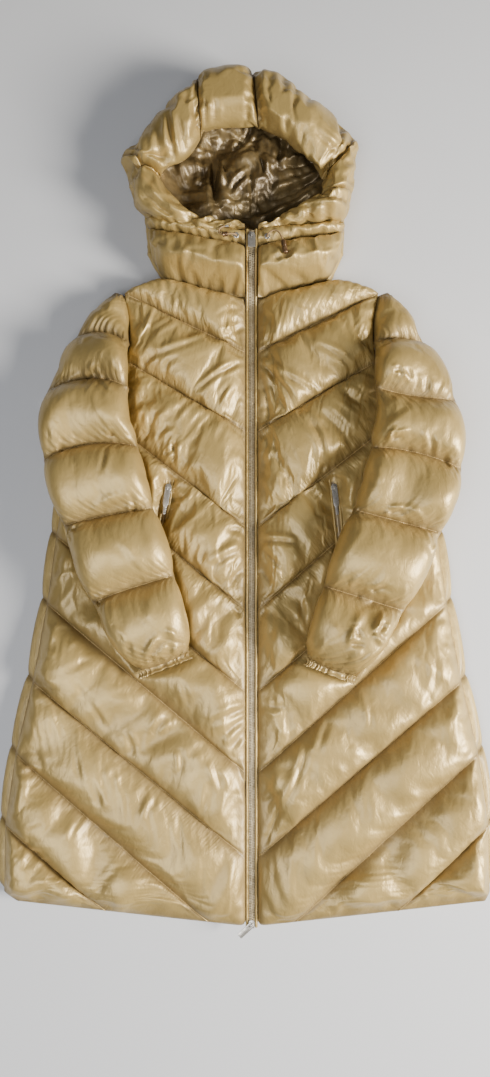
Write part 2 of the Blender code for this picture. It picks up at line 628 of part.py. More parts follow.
def make_brim(name, sections, parent):
    """A padded roll round the face opening, hollow beneath on its inner side."""
    rings = []
    for outer_x, outer_y, inner_x, inner_y, low, top in sections:
        rings.append([
            (outer_x + (inner_x - outer_x) * across, outer_y + (inner_y - outer_y) * across,
             low + (top - low) * up)
            for across, up in BRIM_PROFILE
        ])
    return loft_rings(name, rings, "shell", parent)


BAND_PROFILE = (
    (0.00, 0.10), (0.00, 0.55), (0.08, 0.84), (0.28, 0.98), (0.50, 1.00), (0.72, 0.96),
    (0.92, 0.70), (1.00, 0.30), (1.00, 0.05), (0.80, 0.00), (0.20, 0.00),
)


def reach(side, x):
    """How far out a place on a band is, once the band is drawn in on its side."""
    return x * (1.0 - (1.0 - COLLAR_REACH[side]) * smoothstep(0.03, 0.14, x))


def make_band(name, sections, side, parent, hem_low):
    """A padded band across the neck: each section runs from its face edge to its hem edge."""
    sign = -1.0 if side == "right" else 1.0
    rings = []
    for face_x, face_y, hem_x, hem_y, low, top in sections:
        ring = []
        for across, up in BAND_PROFILE:
            x = reach(side, face_x) + (reach(side, hem_x) - reach(side, face_x)) * across
            y = face_y + (hem_y - face_y) * across
            height = top + (hem_low - top) * max(0.0, across - 0.55) / 0.45
            ring.append((sign * x, y, low + (height - low) * up))
        rings.append(ring)
    return loft_rings(name, rings, "shell", parent)


def make_lining(parent):
    """The lining that shows in the face opening, as a shallow bowl on the hood's back."""
    loop = list(HOOD_SIDE["right"])[::-1] + list(HOOD_GUSSET)[1:-1] + list(HOOD_SIDE["left"])
    edge = np.array([[s[0] * 0.42 + s[2] * 0.58, s[1] * 0.42 + s[3] * 0.58] for s in loop])
    centre = np.array([-0.008, 0.655])
    mesh = bmesh.new()
    layers = []
    for lift in (0.0, LINING_THICK):
        middle = mesh.verts.new((*centre, HOOD_FLOOR + lift))
        rings = []
        for share in LINING_RINGS:
            place = centre + (edge - centre) * share
            z = HOOD_FLOOR + LINING_RISE * smoothstep(0.55, 1.0, share) + lift
            rings.append([mesh.verts.new((*point, z)) for point in place])
        layers.append((middle, rings))
    count = len(edge)
    for middle, rings in layers:
        for i in range(count):
            j = (i + 1) % count
            mesh.faces.new((middle, rings[0][i], rings[0][j]))
            for first, second in zip(rings, rings[1:]):
                mesh.faces.new((first[i], second[i], second[j], first[j]))
    low, high = layers[0][1][-1], layers[1][1][-1]
    for i in range(count):
        j = (i + 1) % count
        mesh.faces.new((low[i], low[j], high[j], high[i]))
    return finish_mesh("hood_lining", mesh, "lining", parent)


# --- The zips ------------------------------------------------------------------------------------
def path_ring(path, i, profile):
    """A profile of (x, height) points set square to a path of (y, z) points."""
    before, after = path[max(i - 1, 0)], path[min(i + 1, len(path) - 1)]
    dy, dz = after[0] - before[0], after[1] - before[1]
    length = math.hypot(dy, dz)
    y, z = path[i]
    return [(x, y - up * dz / length, z + up * dy / length) for x, up in profile]


def make_zip_strip(name, profile, material_name, parent):
    rings = [path_ring(ZIP_PATH, i, profile) for i in range(len(ZIP_PATH))]
    return loft_rings(name, rings, material_name, parent)


def make_slider(name, place, parent):
    """A slider with a bail along it, and the pull that hangs on the bail."""
    x, y, z, turn, half, length, tail = place
    base = Matrix.Translation((x, y, z))
    turned = base @ Matrix.Rotation(math.radians(turn), 4, "Z")
    mesh = bmesh.new()
    outline = ((-0.7, -1.0), (0.7, -1.0), (1.0, -0.4), (1.0, 0.5), (0.6, 1.0), (-0.6, 1.0), (-1.0, 0.5),
               (-1.0, -0.4))
    rings = [[base @ Vector((a * SLIDER_HALF_X, b * SLIDER_HALF_Y, level))
              for a, b in outline] for level in (0.0, SLIDER_THICK)]
    block = loft_rings("slider_" + name, rings, "trim_metal", parent)
    bail = (
        (-BAIL_OUTSIDE, -0.0008), (-BAIL_OUTSIDE, BAIL_TOP - 0.0007), (-BAIL_OUTSIDE + 0.0007, BAIL_TOP),
        (BAIL_OUTSIDE - 0.0007, BAIL_TOP), (BAIL_OUTSIDE, BAIL_TOP - 0.0007), (BAIL_OUTSIDE, -0.0008),
        (BAIL_INSIDE, -0.0008), (BAIL_INSIDE, BAIL_UNDER), (-BAIL_INSIDE, BAIL_UNDER),
        (-BAIL_INSIDE, -0.0008),
    )
    for a in (-BAIL_HALF_WIDTH, BAIL_HALF_WIDTH):
        side = [mesh.verts.new(turned @ Vector((a, b, SLIDER_THICK + c)))
                for b, c in bail]
        mesh.faces.new(side)
    verts = list(mesh.verts)
    count = len(bail)
    for i in range(count):
        j = (i + 1) % count
        mesh.faces.new((verts[i], verts[j], verts[count + j], verts[count + i]))
    bmesh.ops.recalc_face_normals(mesh, faces=mesh.faces)
    data = bpy.data.meshes.new("bail_" + name)
    mesh.to_mesh(data)
    mesh.free()
    cutter = bpy.data.objects.new("bail_" + name, data)
    cutter.hide_render = True
    cutter.display_type = "WIRE"
    bpy.data.collections["cutters"].objects.link(cutter)
    cutter.parent = parent
    union = block.modifiers.new("Bail", "BOOLEAN")
    union.operation = "UNION"
    union.solver = "EXACT"
    union.object = cutter

    level = SLIDER_THICK + BAR_RISE
    plate = (
        (-half, PULL_BAR), (-half, -length * 0.62), (-tail, -length * 0.72), (-tail, -length + 0.0012),
        (-tail + 0.0012, -length), (tail - 0.0012, -length), (tail, -length + 0.0012),
        (tail, -length * 0.72), (half, -length * 0.62), (half, PULL_BAR),
    )
    window = ((-PULL_WINDOW_HALF, -PULL_BAR), (-PULL_WINDOW_HALF, -PULL_WINDOW),
              (PULL_WINDOW_HALF, -PULL_WINDOW), (PULL_WINDOW_HALF, -PULL_BAR))
    make_plate("pull_" + name, plate, window, level, turned, parent)


def make_plate(name, outline, window, level, matrix, parent):
    """A flat plate with a window near one end: two skins of four faces, and their walls."""
    mesh = bmesh.new()
    skins = []
    for z in (level - PULL_THICK / 2, level + PULL_THICK / 2):
        rim = [mesh.verts.new(matrix @ Vector((a, b, z))) for a, b in outline]
        hole = [mesh.verts.new(matrix @ Vector((a, b, z))) for a, b in window]
        mesh.faces.new((rim[0], rim[1], hole[1], hole[0]))
        mesh.faces.new([rim[1], *rim[2:-2], rim[-2], hole[2], hole[1]])
        mesh.faces.new((rim[-2], rim[-1], hole[3], hole[2]))
        mesh.faces.new((rim[-1], rim[0], hole[0], hole[3]))
        skins.append((rim, hole))
    for low, high in zip(skins[0], skins[1]):
        count = len(low)
        for i in range(count):
            j = (i + 1) % count
            mesh.faces.new((low[i], low[j], high[j], high[i]))
    return finish_mesh(name, mesh, "trim_metal", parent, smooth=False)


def pocket_path(side):
    """The pocket zip's middle line, on the pressed valley in the front."""
    sign = -1.0 if side == "right" else 1.0
    rows = np.linspace(POCKET_ROWS[0] + 0.04, POCKET_ROWS[1] - 0.04, 9)
    point, _ = front_top(side, rows, np.full(rows.shape, POCKET_AT))
    return [(sign * x, y) for x, y in point.T]


def make_pocket_zip(side, parent):
    path = np.array(pocket_path(side))
    height = BACK_THICK + FRONT_SEAM + 2 * GAP
    along = path[-1] - path[0]
    along = along / math.hypot(*along)
    across = np.array([-along[1], along[0]])
    half, thick = 0.0040, 0.0016
    rings = []
    for end in (path[0], path[-1]):
        rings.append([(*(end + across * a), height + b)
                      for a, b in ((-half, 0.0), (half, 0.0), (half, thick), (-half, thick))])
    loft_rings("pocket_zip_" + side, rings, "zip_tape", parent)
    turn = math.degrees(math.atan2(along[0], -along[1]))
    spot = path[0] + along * 0.010
    make_slider("pocket_" + side, (*spot, height + thick + GAP, turn, *POCKET_PULL), parent)


# --- The hood's cord -----------------------------------------------------------------------------
def make_eyelet(side, parent):
    x, y = EYELETS[side]
    z = channel_top(abs(x)) + GAP
    steps = 16
    rings = []
    profile = ((EYELET_RADIUS, 0.0), (EYELET_RADIUS, EYELET_THICK * 0.6), (EYELET_RADIUS * 0.8, EYELET_THICK),
               (EYELET_HOLE, EYELET_THICK * 0.8), (EYELET_HOLE, 0.0))
    for i in range(steps):
        turn = 2 * math.pi * i / steps
        rings.append([(x + r * math.cos(turn), y + r * math.sin(turn), z + up) for r, up in profile])
    loft_rings("eyelet_" + side, rings, "trim_metal", parent, closed=True)


def channel_top(x):
    table = np.array(CORD_CHANNEL)
    return float(np.interp(x, table[:, 0], table[:, 5]))


def smooth_route(points, step):
    """Points read at even steps from a Catmull-Rom curve through a route's own points."""
    knots = np.array(points)
    knots = np.vstack([2 * knots[0] - knots[1], knots, 2 * knots[-1] - knots[-2]])
    share = np.linspace(0.0, 1.0, 20, endpoint=False)[:, None]
    fine = []
    for a, b, c, d in zip(knots, knots[1:], knots[2:], knots[3:]):
        curve = 2 * b + (c - a) * share + (2 * a - 5 * b + 4 * c - d) * share**2
        fine.append((curve + (3 * b - a - 3 * c + d) * share**3) / 2)
    fine = np.vstack([*fine, knots[-2:-1]])
    run = np.concatenate([[0.0], np.cumsum(np.linalg.norm(np.diff(fine, axis=0), axis=1))])
    places = np.linspace(0.0, run[-1], int(round(run[-1] / step)) + 1)
    return np.stack([np.interp(places, run, fine[:, k]) for k in range(3)], axis=1)


def make_cord(side, parent):
    """The free stretch of the hood's cord on one side."""
    name = "cord_" + side
    curve = bpy.data.curves.new(name, "CURVE")
    curve.dimensions = "3D"
    curve.bevel_depth = CORD_RADIUS
    curve.bevel_resolution = 2
    curve.use_fill_caps = True
    points = smooth_route(CORD_ROUTES[side], CORD_STEP)
    spline = curve.splines.new("POLY")
    spline.points.add(len(points) - 1)
    for point, place in zip(spline.points, points):
        point.co = (*place, 1.0)
    return add_object(name, curve, "cord", parent)


def make_barrel(name, ends, profile, parent, hollow=False):
    """A turned piece between two points, from a profile of (share of the length, radius)."""
    first, last = np.array(ends[0]), np.array(ends[1])
    along = (last - first) / np.linalg.norm(last - first)
    over = np.cross(along, (0.0, 0.0, 1.0))
    up = np.cross(over, along)
    turns = np.arange(12) * math.pi / 6
    rings = [[tuple(first + (last - first) * share + radius * (over * math.cos(a) + up * math.sin(a)))
              for a in turns] for share, radius in profile]
    return loft_rings(name, rings, "trim_metal", parent, closed=hollow)


def make_cord_ends(parent):
    """The lock and the tip on the right end of the cord, and the toggle on its left end."""
    wide, bore = CORD_LOCK_RADIUS, CORD_LOCK_BORE
    lock = ((0.0, bore), (0.0, wide * 0.8), (0.18, wide), (0.82, wide), (1.0, wide * 0.8), (1.0, bore))
    make_barrel("cord_lock", CORD_LOCK, lock, parent, hollow=True)
    round_ends = ((0.0, 0.6), (0.12, 1.0), (0.88, 1.0), (1.0, 0.6))
    make_barrel("cord_tip", CORD_TIP, [(a, b * CORD_TIP_RADIUS) for a, b in round_ends], parent)
    make_barrel("cord_toggle", CORD_TOGGLE, [(a, b * CORD_TOGGLE_RADIUS) for a, b in round_ends], parent)


def main():
    clear_scene()
    coat = bpy.data.collections.new("coat")
    cutters = bpy.data.collections.new("cutters")
    cutters.hide_render = True
    for group in (coat, cutters):
        bpy.context.scene.collection.children.link(group)
    root = bpy.data.objects.new("long_hooded_coat", None)
    root.location = (0.0, -ORIGIN_Y, 0.0)
    coat.objects.link(root)
    make_back(root)
    floor_pad("hood_back", HOOD_BACK, root, True, False)
    floor_pad("collar_back", COLLAR_BACK, root, True, True)
    make_lining(root)
    for side in ("right", "left"):
        make_front(side, root)
        make_sleeve(side, root)
        make_cuff(side, root)
        make_brim("hood_side_" + side, HOOD_SIDE[side], root)
        make_band("cord_channel_" + side, CORD_CHANNEL, side, root, 0.070)
        make_band("collar_" + side, COLLAR, side, root, 0.040)
        make_pocket_zip(side, root)
        make_eyelet(side, root)
        make_cord(side, root)
    make_cord_ends(root)
    make_brim("hood_gusset", HOOD_GUSSET, root)
    tape = ((-0.0094, 0.0), (0.0094, 0.0), (0.0094, ZIP_TAPE_THICK), (-0.0094, ZIP_TAPE_THICK))
    make_zip_strip("zip_tape", tape, "zip_tape", root)
    low = ZIP_TAPE_THICK + GAP
    high = low + ZIP_TEETH_THICK
    half = ZIP_TEETH_HALF
    teeth = ((-half, low), (half, low), (half, high - 0.0006), (half - 0.0012, high),
             (-half + 0.0012, high), (-half, high - 0.0006))
    make_zip_strip("zip_teeth", teeth, "zip_metal", root)
    for side, sign in (("right", -1.0), ("left", 1.0)):
        roll = [(sign * PIPING_AT + PIPING_HALF * math.cos(a),
                 low + PIPING_THICK / 2 + PIPING_THICK / 2 * math.sin(a))
                for a in np.arange(8) * math.pi / 4]
        make_zip_strip("piping_" + side, roll, "shell", root)
    for name, place in SLIDERS.items():
        make_slider(name, place, root)


main()
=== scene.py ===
# %% [markdown]
# # A long down coat, laid out flat
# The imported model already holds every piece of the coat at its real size. This notebook dresses it:
# each padded panel is blown up with cloth simulation between its sewn seams, the zips get their
# teeth, the seams their stitches, and every surface its finish. Nothing that moves is moved here.

# %% Load the frame
import math

import bmesh
import bpy
import numpy as np
from mathutils import Matrix, Vector


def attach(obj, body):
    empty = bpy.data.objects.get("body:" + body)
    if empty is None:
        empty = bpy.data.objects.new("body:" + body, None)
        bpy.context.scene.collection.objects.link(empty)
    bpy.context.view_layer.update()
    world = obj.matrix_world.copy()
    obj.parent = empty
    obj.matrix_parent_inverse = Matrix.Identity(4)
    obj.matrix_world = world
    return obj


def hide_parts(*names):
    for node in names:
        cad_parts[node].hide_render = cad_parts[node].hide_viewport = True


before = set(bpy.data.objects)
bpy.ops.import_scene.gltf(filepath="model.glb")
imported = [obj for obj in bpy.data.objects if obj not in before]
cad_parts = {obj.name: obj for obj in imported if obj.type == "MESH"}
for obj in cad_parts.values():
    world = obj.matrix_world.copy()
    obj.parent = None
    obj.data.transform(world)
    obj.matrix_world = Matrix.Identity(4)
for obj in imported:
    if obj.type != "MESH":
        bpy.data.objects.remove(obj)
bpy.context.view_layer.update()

# %% [markdown]
# ## Camera, floor and light
# The coat lies on a floor and is seen from a person's height, almost straight down, so the hem end
# looks a little larger than the hood. A wide lens close by gives that spread; a long lens further off
# would flatten it. One large soft lamp stands on the wearer's left towards the hem: it puts a broad
# gloss on every baffle and leaves the far side of each seam in shade.

# %% Camera, floor and lamps
EYE_HEIGHT = 1.27
EYE_PLACE = (-0.0105, -0.170)
EYE_TILT = math.radians(3.5)
LENS_MM = 26.0
FILM_MM = 36.0


def make_camera():
    """The eye that the scene is drawn for."""
    data = bpy.data.cameras.new("eye")
    data.lens = LENS_MM
    data.sensor_fit = "VERTICAL"
    data.sensor_height = FILM_MM
    camera = bpy.data.objects.new("eye", data)
    camera.location = (*EYE_PLACE, EYE_HEIGHT)
    camera.rotation_euler = (EYE_TILT, 0.0, 0.0)
    bpy.context.scene.collection.objects.link(camera)
    bpy.context.scene.camera = camera


def make_lamp(name, place, target, size, power, colour):
    """A square area lamp at a place, turned to face a target."""
    data = bpy.data.lights.new(name, "AREA")
    data.size = size
    data.energy = power
    data.color = colour
    lamp = bpy.data.objects.new(name, data)
    lamp.location = place
    lamp.rotation_euler = (Vector(target) - Vector(place)).to_track_quat("-Z", "Y").to_euler()
    bpy.context.scene.collection.objects.link(lamp)


def make_world(brightness):
    """An even, slightly cool light from everywhere."""
    world = bpy.data.worlds.new("room")
    world.use_nodes = True
    background = world.node_tree.nodes["Background"]
    background.inputs["Color"].default_value = (0.97, 0.98, 1.0, 1.0)
    background.inputs["Strength"].default_value = brightness
    bpy.context.scene.world = world


make_camera()
make_world(0.065)
make_lamp("key", (2.40, -0.75, 1.45), (0.0, -0.35, 0.0), 1.0, 245.0, (1.0, 0.955, 0.88))
make_lamp("fill", (-0.7, -0.9, 2.0), (0.0, -0.35, 0.0), 1.4, 36.0, (0.96, 0.97, 1.0))

# %% [markdown]
# ## Shapes as arrays
# Every new surface here is a grid of points worked out from two parameters. The helpers below are the
# ones the shapes share: soft steps, the round fall of padding towards a sewn edge, and the reading of
# a table at any place between its rows.

# %% Helpers for shapes
def smoothstep(low, high, value):
    """0 below low, 1 above high, and 3t^2 - 2t^3 between."""
    share = np.clip((value - low) / (high - low), 0.0, 1.0)
    return share * share * (3.0 - 2.0 * share)


def quarter_round(distance, width):
    """0 at an edge and 1 from width inwards, rising as a quarter circle."""
    share = np.clip(distance / width, 0.0, 1.0)
    return np.sqrt(1.0 - (1.0 - share) ** 2)


def puff(row, power=0.55):
    """The rise of a baffle between whole-numbered seams: (4t(1-t)) to a power."""
    share = row - np.floor(row)
    return (4.0 * share * (1.0 - share)) ** power


def column(table, index, at):
    """One column of a table, read at places on its first column."""
    return np.interp(at, table[:, 0], table[:, index])


def distance_to_line(x, y, line):
    """How far points lie from a line of points, positive on the line's right side."""
    best = np.full(np.shape(x), np.inf)
    side = np.zeros(np.shape(x))
    for (ax, ay), (bx, by) in zip(line[:-1], line[1:]):
        dx, dy = bx - ax, by - ay
        share = np.clip(((x - ax) * dx + (y - ay) * dy) / (dx * dx + dy * dy), 0.0, 1.0)
        away = np.hypot(x - ax - share * dx, y - ay - share * dy)
        turn = (x - ax) * dy - (y - ay) * dx
        nearer = away < best
        best = np.where(nearer, away, best)
        side = np.where(nearer, np.sign(turn), side)
    return best * side


def smooth_through(points, places, closed=False):
    """A Catmull-Rom curve through rows of numbers, read at places counted in rows."""
    knots = np.asarray(points, float)
    count = len(knots)
    at = np.asarray(places, float)
    first = np.floor(at).astype(int)
    if not closed:
        first = np.clip(first, 0, count - 2)
    share = (at - first)[:, None]
    pick = [first + k for k in (-1, 0, 1, 2)]
    if closed:
        a, b, c, d = (knots[i % count] for i in pick)
    else:
        a, b, c, d = (knots[np.clip(i, 0, count - 1)] for i in pick)
    curve = 2 * b + (c - a) * share + (2 * a - 5 * b + 4 * c - d) * share**2
    return (curve + (3 * b - a - 3 * c + d) * share**3) / 2


def ripples(u, v, waves, lengths, turn, seed):
    """A sum of cosines with random lengths, slight random turns and phases, from about -1 to 1."""
    draw = np.random.default_rng(seed)
    total = np.zeros(np.shape(u))
    for _ in range(waves):
        angle = turn + draw.normal(0.0, 0.30)
        number = 2 * math.pi / draw.uniform(*lengths)
        phase = draw.uniform(0.0, 2 * math.pi)
        total = total + np.cos(number * (u * math.cos(angle) + v * math.sin(angle)) + phase)
    return total / math.sqrt(2 * waves)


def grid_faces(rows, columns, around=False, offset=0):
    """The quads of a grid of points numbered row by row; around joins its last column to its first."""
    i, j = np.meshgrid(np.arange(rows - 1), np.arange(columns if around else columns - 1), indexing="ij")
    k = (j + 1) % columns
    quads = np.stack([i * columns + j, i * columns + k, (i + 1) * columns + k, (i + 1) * columns + j], -1)
    return quads.reshape(-1, 4) + offset


def join_faces(*groups):
    """Several arrays or lists of faces as one list."""
    return [list(map(int, face)) for group in groups for face in group]


def tube_faces(rows, columns):
    """The faces of a tube given as rows of rings, with both ends capped."""
    caps = [list(range(columns)), list(range((rows - 1) * columns, rows * columns))]
    return join_faces(grid_faces(rows, columns, around=True), caps)


def lengths_along(points):
    """How far along a line of points each of them lies, from 0 at the first."""
    return np.concatenate([[0.0], np.cumsum(np.linalg.norm(np.diff(points, axis=0), axis=1))])


def unit(rows):
    """Each row of an array, made one long."""
    return rows / np.linalg.norm(rows, axis=1, keepdims=True)


def on_seam(row):
    """True where a row number is whole, which is where a seam runs."""
    return np.abs(row - np.round(row)) < 1e-6


def signed_volume(points, faces):
    """Six times the volume inside quads, counted from their middle: positive if they face outwards."""
    corners = points.reshape(-1, 3) - points.reshape(-1, 3).mean(axis=0)
    a, b, c, d = (corners[faces[:, k]] for k in range(4))
    return float((a * (np.cross(b, c) + np.cross(c, d))).sum())


def new_piece(name, points, faces, material, seam=None, sharp=None, turn_out=False, quilt=None):
    """A smooth-shaded mesh object from an array of points and lists of faces.

    seam is a number for each point that the cloth's material reads as its share of painted shade, and quilt
    three more: metres along and across the quilting, which become a map, and the gathers' share. sharp is
    an angle in degrees past which an edge stays crisp, and turn_out recalculates the faces' directions on a
    closed shape.
    """
    mesh = bpy.data.meshes.new(name)
    mesh.from_pydata(np.asarray(points, float).reshape(-1, 3).tolist(), [], join_faces(faces))
    if turn_out:
        work = bmesh.new()
        work.from_mesh(mesh)
        bmesh.ops.recalc_face_normals(work, faces=work.faces)
        work.to_mesh(mesh)
        work.free()
    mesh.materials.append(material)
    mesh.shade_smooth()
    if sharp:
        mesh.set_sharp_from_angle(angle=math.radians(sharp))
    if seam is not None:
        layer = mesh.attributes.new("seam", "FLOAT", "POINT")
        layer.data.foreach_set("value", np.asarray(seam, np.float32).ravel())
    if quilt is not None:
        quilt = np.asarray(quilt, np.float32).reshape(-1, 3)
        layer = mesh.attributes.new("gather", "FLOAT", "POINT")
        layer.data.foreach_set("value", quilt[:, 2].copy())
        corner = np.empty(len(mesh.loops), np.int32)
        mesh.loops.foreach_get("vertex_index", corner)
        mesh.uv_layers.new(name="quilt").data.foreach_set("uv", quilt[corner, :2].ravel())
    piece = bpy.data.objects.new(name, mesh)
    bpy.context.scene.collection.objects.link(piece)
    return piece


def dress(piece, nodes, body="coat"):
    """Hangs a piece on its body's empty and hides the model's nodes that it stands for."""
    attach(piece, body)
    if nodes:
        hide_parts(*nodes)
    return piece


# %% [markdown]
# ## Maths for materials
# A material's pattern is a formula, so it is written as one. The class below wraps a node's socket, and
# adding or multiplying two of them adds the Math node for it.

# %% A small language for shader maths
class Wire:
    """A number or colour on its way through a material."""

    def __init__(self, finish, socket):
        self.finish = finish
        self.socket = socket

    def maths(self, operation, *values):
        return self.finish.node("ShaderNodeMath", {"operation": operation}, *values)

    def __add__(self, other):
        return self.maths("ADD", self, other)

    def __sub__(self, other):
        return self.maths("SUBTRACT", self, other)

    def __mul__(self, other):
        return self.maths("MULTIPLY", self, other)

    def between(self, low, high):
        """0 below low and 1 above high, softly."""
        return self.finish.node("ShaderNodeMapRange", {"interpolation_type": "SMOOTHSTEP"}, self, low, high)


class Finish:
    """A material under construction, around one Principled shader."""

    def __init__(self, name, **constants):
        self.material = bpy.data.materials.new(name)
        self.material.use_nodes = True
        self.tree = self.material.node_tree
        self.shader = self.tree.nodes["Principled BSDF"]
        for key, value in constants.items():
            self.shader.inputs[key.replace("_", " ")].default_value = value

    def node(self, kind, settings, *values, output=0, **named):
        """One node: its settings first, then its sockets' values or links, and the output that is used."""
        made = self.tree.nodes.new(kind)
        for key, value in settings.items():
            setattr(made, key, value)
        pairs = list(zip(made.inputs, values))
        pairs += [(made.inputs[key.replace("_", " ")], value) for key, value in named.items()]
        for socket, value in pairs:
            if isinstance(value, Wire):
                self.tree.links.new(value.socket, socket)
            elif value is not None:
                socket.default_value = value
        return Wire(self, made.outputs[output])

    def place(self):
        """Object coordinates, which are metres in the coat's own frame."""
        return self.node("ShaderNodeTexCoord", {}, output=3)

    def stretched(self, vector, scale):
        return self.node("ShaderNodeMapping", {}, Vector=vector, Scale=scale)

    def noise(self, vector, scale, detail=2.0, roughness=0.5, distortion=0.0):
        return self.node("ShaderNodeTexNoise", {}, Vector=vector, Scale=scale, Detail=detail,
                         Roughness=roughness, Distortion=distortion)

    def mix(self, factor, first, second):
        """A colour between two others."""
        made = self.tree.nodes.new("ShaderNodeMix")
        made.data_type = "RGBA"
        for index, value in ((0, factor), (6, first), (7, second)):
            if isinstance(value, Wire):
                self.tree.links.new(value.socket, made.inputs[index])
            else:
                made.inputs[index].default_value = value
        return Wire(self, made.outputs[2])

    def bump(self, height, distance, strength=1.0, normal=None):
        return self.node("ShaderNodeBump", {}, Strength=strength, Distance=distance, Height=height,
                         Normal=normal)

    def feed(self, **links):
        """Joins results to the shader's sockets and returns the material."""
        for key, value in links.items():
            self.tree.links.new(value.socket, self.shader.inputs[key.replace("_", " ")])
        return self.material


# %% [markdown]
# ## The shell cloth
# The shell is a thin nylon with a lacquered face: deep golden tan, slightly uneven in tone, with a soft
# broad gloss and fine crumples a few millimetres across. The broad folds are in the mesh, and only what
# is finer than the mesh is bump. Every quilted piece carries a number at each point that is 1 on a seam
# and falls to 0 beside it, and that is raised in narrow creases. There the cloth is painted browner: this
# is painted shade in the valleys of seams and creases, made a little patchy.

# %% Shell cloth
SHELL_TAN = (0.490, 0.348, 0.120, 1.0)
SHELL_SHADE = (0.395, 0.276, 0.090, 1.0)
# Painted shade: the dark brown that seams and narrow creases are mixed towards.
SHELL_SEAM_SHADE = (0.180, 0.120, 0.048, 1.0)


def shell_cloth():
    """Lacquered nylon: gathers beside the seams, soft crumples and a fine grain, and painted shade, browner,
    on a seam and in a crease.
    """
    finish = Finish("lacquered_nylon", Metallic=0.40, Coat_Weight=0.30, Coat_Roughness=0.30,
                    Specular_IOR_Level=0.5)
    place = finish.place()
    tone = finish.noise(place, 9.0, 3.0, 0.6).between(0.35, 0.68)
    colour = finish.mix(tone, SHELL_SHADE, SHELL_TAN)
    # Painted shade: where the seam number is high, on seams and in narrow creases, the colour is mixed
    # towards a dark brown, made patchy by a fine noise.
    seam = finish.node("ShaderNodeAttribute", {"attribute_name": "seam"}, output=2)
    shade_patches = finish.noise(place, 160.0, 2.0, 0.6) * 0.5 + 0.55
    colour = finish.mix(seam * shade_patches, colour, SHELL_SEAM_SHADE)
    gather = finish.node("ShaderNodeAttribute", {"attribute_name": "gather"}, output=2)
    quilting = finish.node("ShaderNodeUVMap", {"uv_map": "quilt"})
    rib = finish.noise(finish.stretched(quilting, (1.0, 0.22, 1.0)), 150.0, 2.0, 0.5, 1.2)
    crumple = finish.noise(finish.stretched(place, (1.0, 0.55, 1.0)), 95.0, 3.0, 0.55, 0.6)
    fine = finish.noise(place, 420.0, 2.0, 0.5)
    ribbed = finish.bump(rib * gather, 0.0060, 0.5)
    soft = finish.bump(crumple, 0.0022, 0.45, ribbed)
    sharp = finish.bump(fine, 0.0003, 0.3, soft)
    gloss = finish.noise(place, 30.0, 2.0, 0.5) * 0.14 + 0.37 + seam * 0.15
    return finish.feed(Base_Color=colour, Roughness=gloss, Normal=sharp)


SHELL = shell_cloth()

# %% [markdown]
# ## Lining, tape, metal, cord and thread
# The lining is a thin downproof taffeta, dark bronze and shinier than the shell. The zip's tape is a
# matt herringbone. The teeth are champagne-coloured brass and the sliders bright nickel, both softly
# brushed and a little duller in patches. The cord is a round braid, and the thread has a fine twist.

# %% Lining
def lining_cloth():
    """Dark bronze taffeta with small sharp crumples and a faint weave."""
    finish = Finish("bronze_taffeta", Metallic=0.45, Coat_Weight=0.15, Coat_Roughness=0.3,
                    Specular_IOR_Level=0.6)
    place = finish.place()
    tone = finish.noise(place, 22.0, 3.0, 0.6, 0.4).between(0.30, 0.72)
    colour = finish.mix(tone, (0.070, 0.046, 0.018, 1.0), (0.225, 0.160, 0.068, 1.0))
    crumple = finish.noise(finish.stretched(place, (1.0, 0.6, 1.0)), 120.0, 3.0, 0.6, 1.2)
    weave = finish.noise(finish.stretched(place, (1.0, 0.25, 1.0)), 1800.0, 1.0, 0.5)
    soft = finish.bump(crumple, 0.0012, 0.45)
    fine = finish.bump(weave, 0.0001, 0.3, soft)
    gloss = finish.noise(place, 45.0, 2.0, 0.5) * 0.14 + 0.32
    return finish.feed(Base_Color=colour, Roughness=gloss, Normal=fine)


LINING = lining_cloth()


# %% Tape, metal, cord and thread
def tape_cloth():
    """Herringbone: slanting ribs whose slant changes from one band to the next across the tape."""
    finish = Finish("zip_tape_weave", Roughness=0.75, Sheen_Weight=0.15)
    place = finish.place()
    parts = finish.node("ShaderNodeSeparateXYZ", {}, place)
    across = finish.node("ShaderNodeMath", {"operation": "PINGPONG"}, parts, 0.0012)
    along = Wire(finish, parts.socket.node.outputs[1])
    rib = finish.node("ShaderNodeMath", {"operation": "SINE"}, (along + across) * 9000.0) * 0.5 + 0.5
    colour = finish.mix(rib, (0.190, 0.135, 0.066, 1.0), (0.350, 0.262, 0.140, 1.0))
    return finish.feed(Base_Color=colour, Normal=finish.bump(rib, 0.00015, 0.6))


def brushed_metal(name, colour, dark, roughness, metallic):
    """A metal with faint brush lines one way and dull patches the size of a thumb."""
    finish = Finish(name, Metallic=metallic, Roughness=roughness)
    place = finish.place()
    patch = finish.noise(place, 140.0, 3.0, 0.6).between(0.35, 0.75)
    lines = finish.noise(finish.stretched(place, (1.0, 0.06, 1.0)), 5200.0, 2.0, 0.6)
    shade = finish.mix(patch, (*dark, 1.0), (*colour, 1.0))
    dull = lines * 0.10 + patch * -0.07 + roughness
    return finish.feed(Base_Color=shade, Roughness=dull, Normal=finish.bump(lines, 0.00002, 0.4))


def braided_cord():
    """A round braid: two sets of strands crossing, read from the cord's own map in turns and metres."""
    finish = Finish("braided_cord", Roughness=0.55, Sheen_Weight=0.2)
    parts = finish.node("ShaderNodeSeparateXYZ", {}, finish.node("ShaderNodeUVMap", {"uv_map": "cord"}))
    turn, run = parts, Wire(finish, parts.socket.node.outputs[1])
    around, along = turn * 25.1327, run * 2600.0  # four waves round the cord, and one each 2.4 mm
    one = finish.node("ShaderNodeMath", {"operation": "SINE"}, along + around)
    two = finish.node("ShaderNodeMath", {"operation": "SINE"}, along - around)
    strand = one.maths("MAXIMUM", one, two) * 0.5 + 0.5
    colour = finish.mix(strand, (0.100, 0.052, 0.018, 1.0), (0.400, 0.252, 0.104, 1.0))
    return finish.feed(Base_Color=colour, Normal=finish.bump(strand, 0.00030, 0.8))


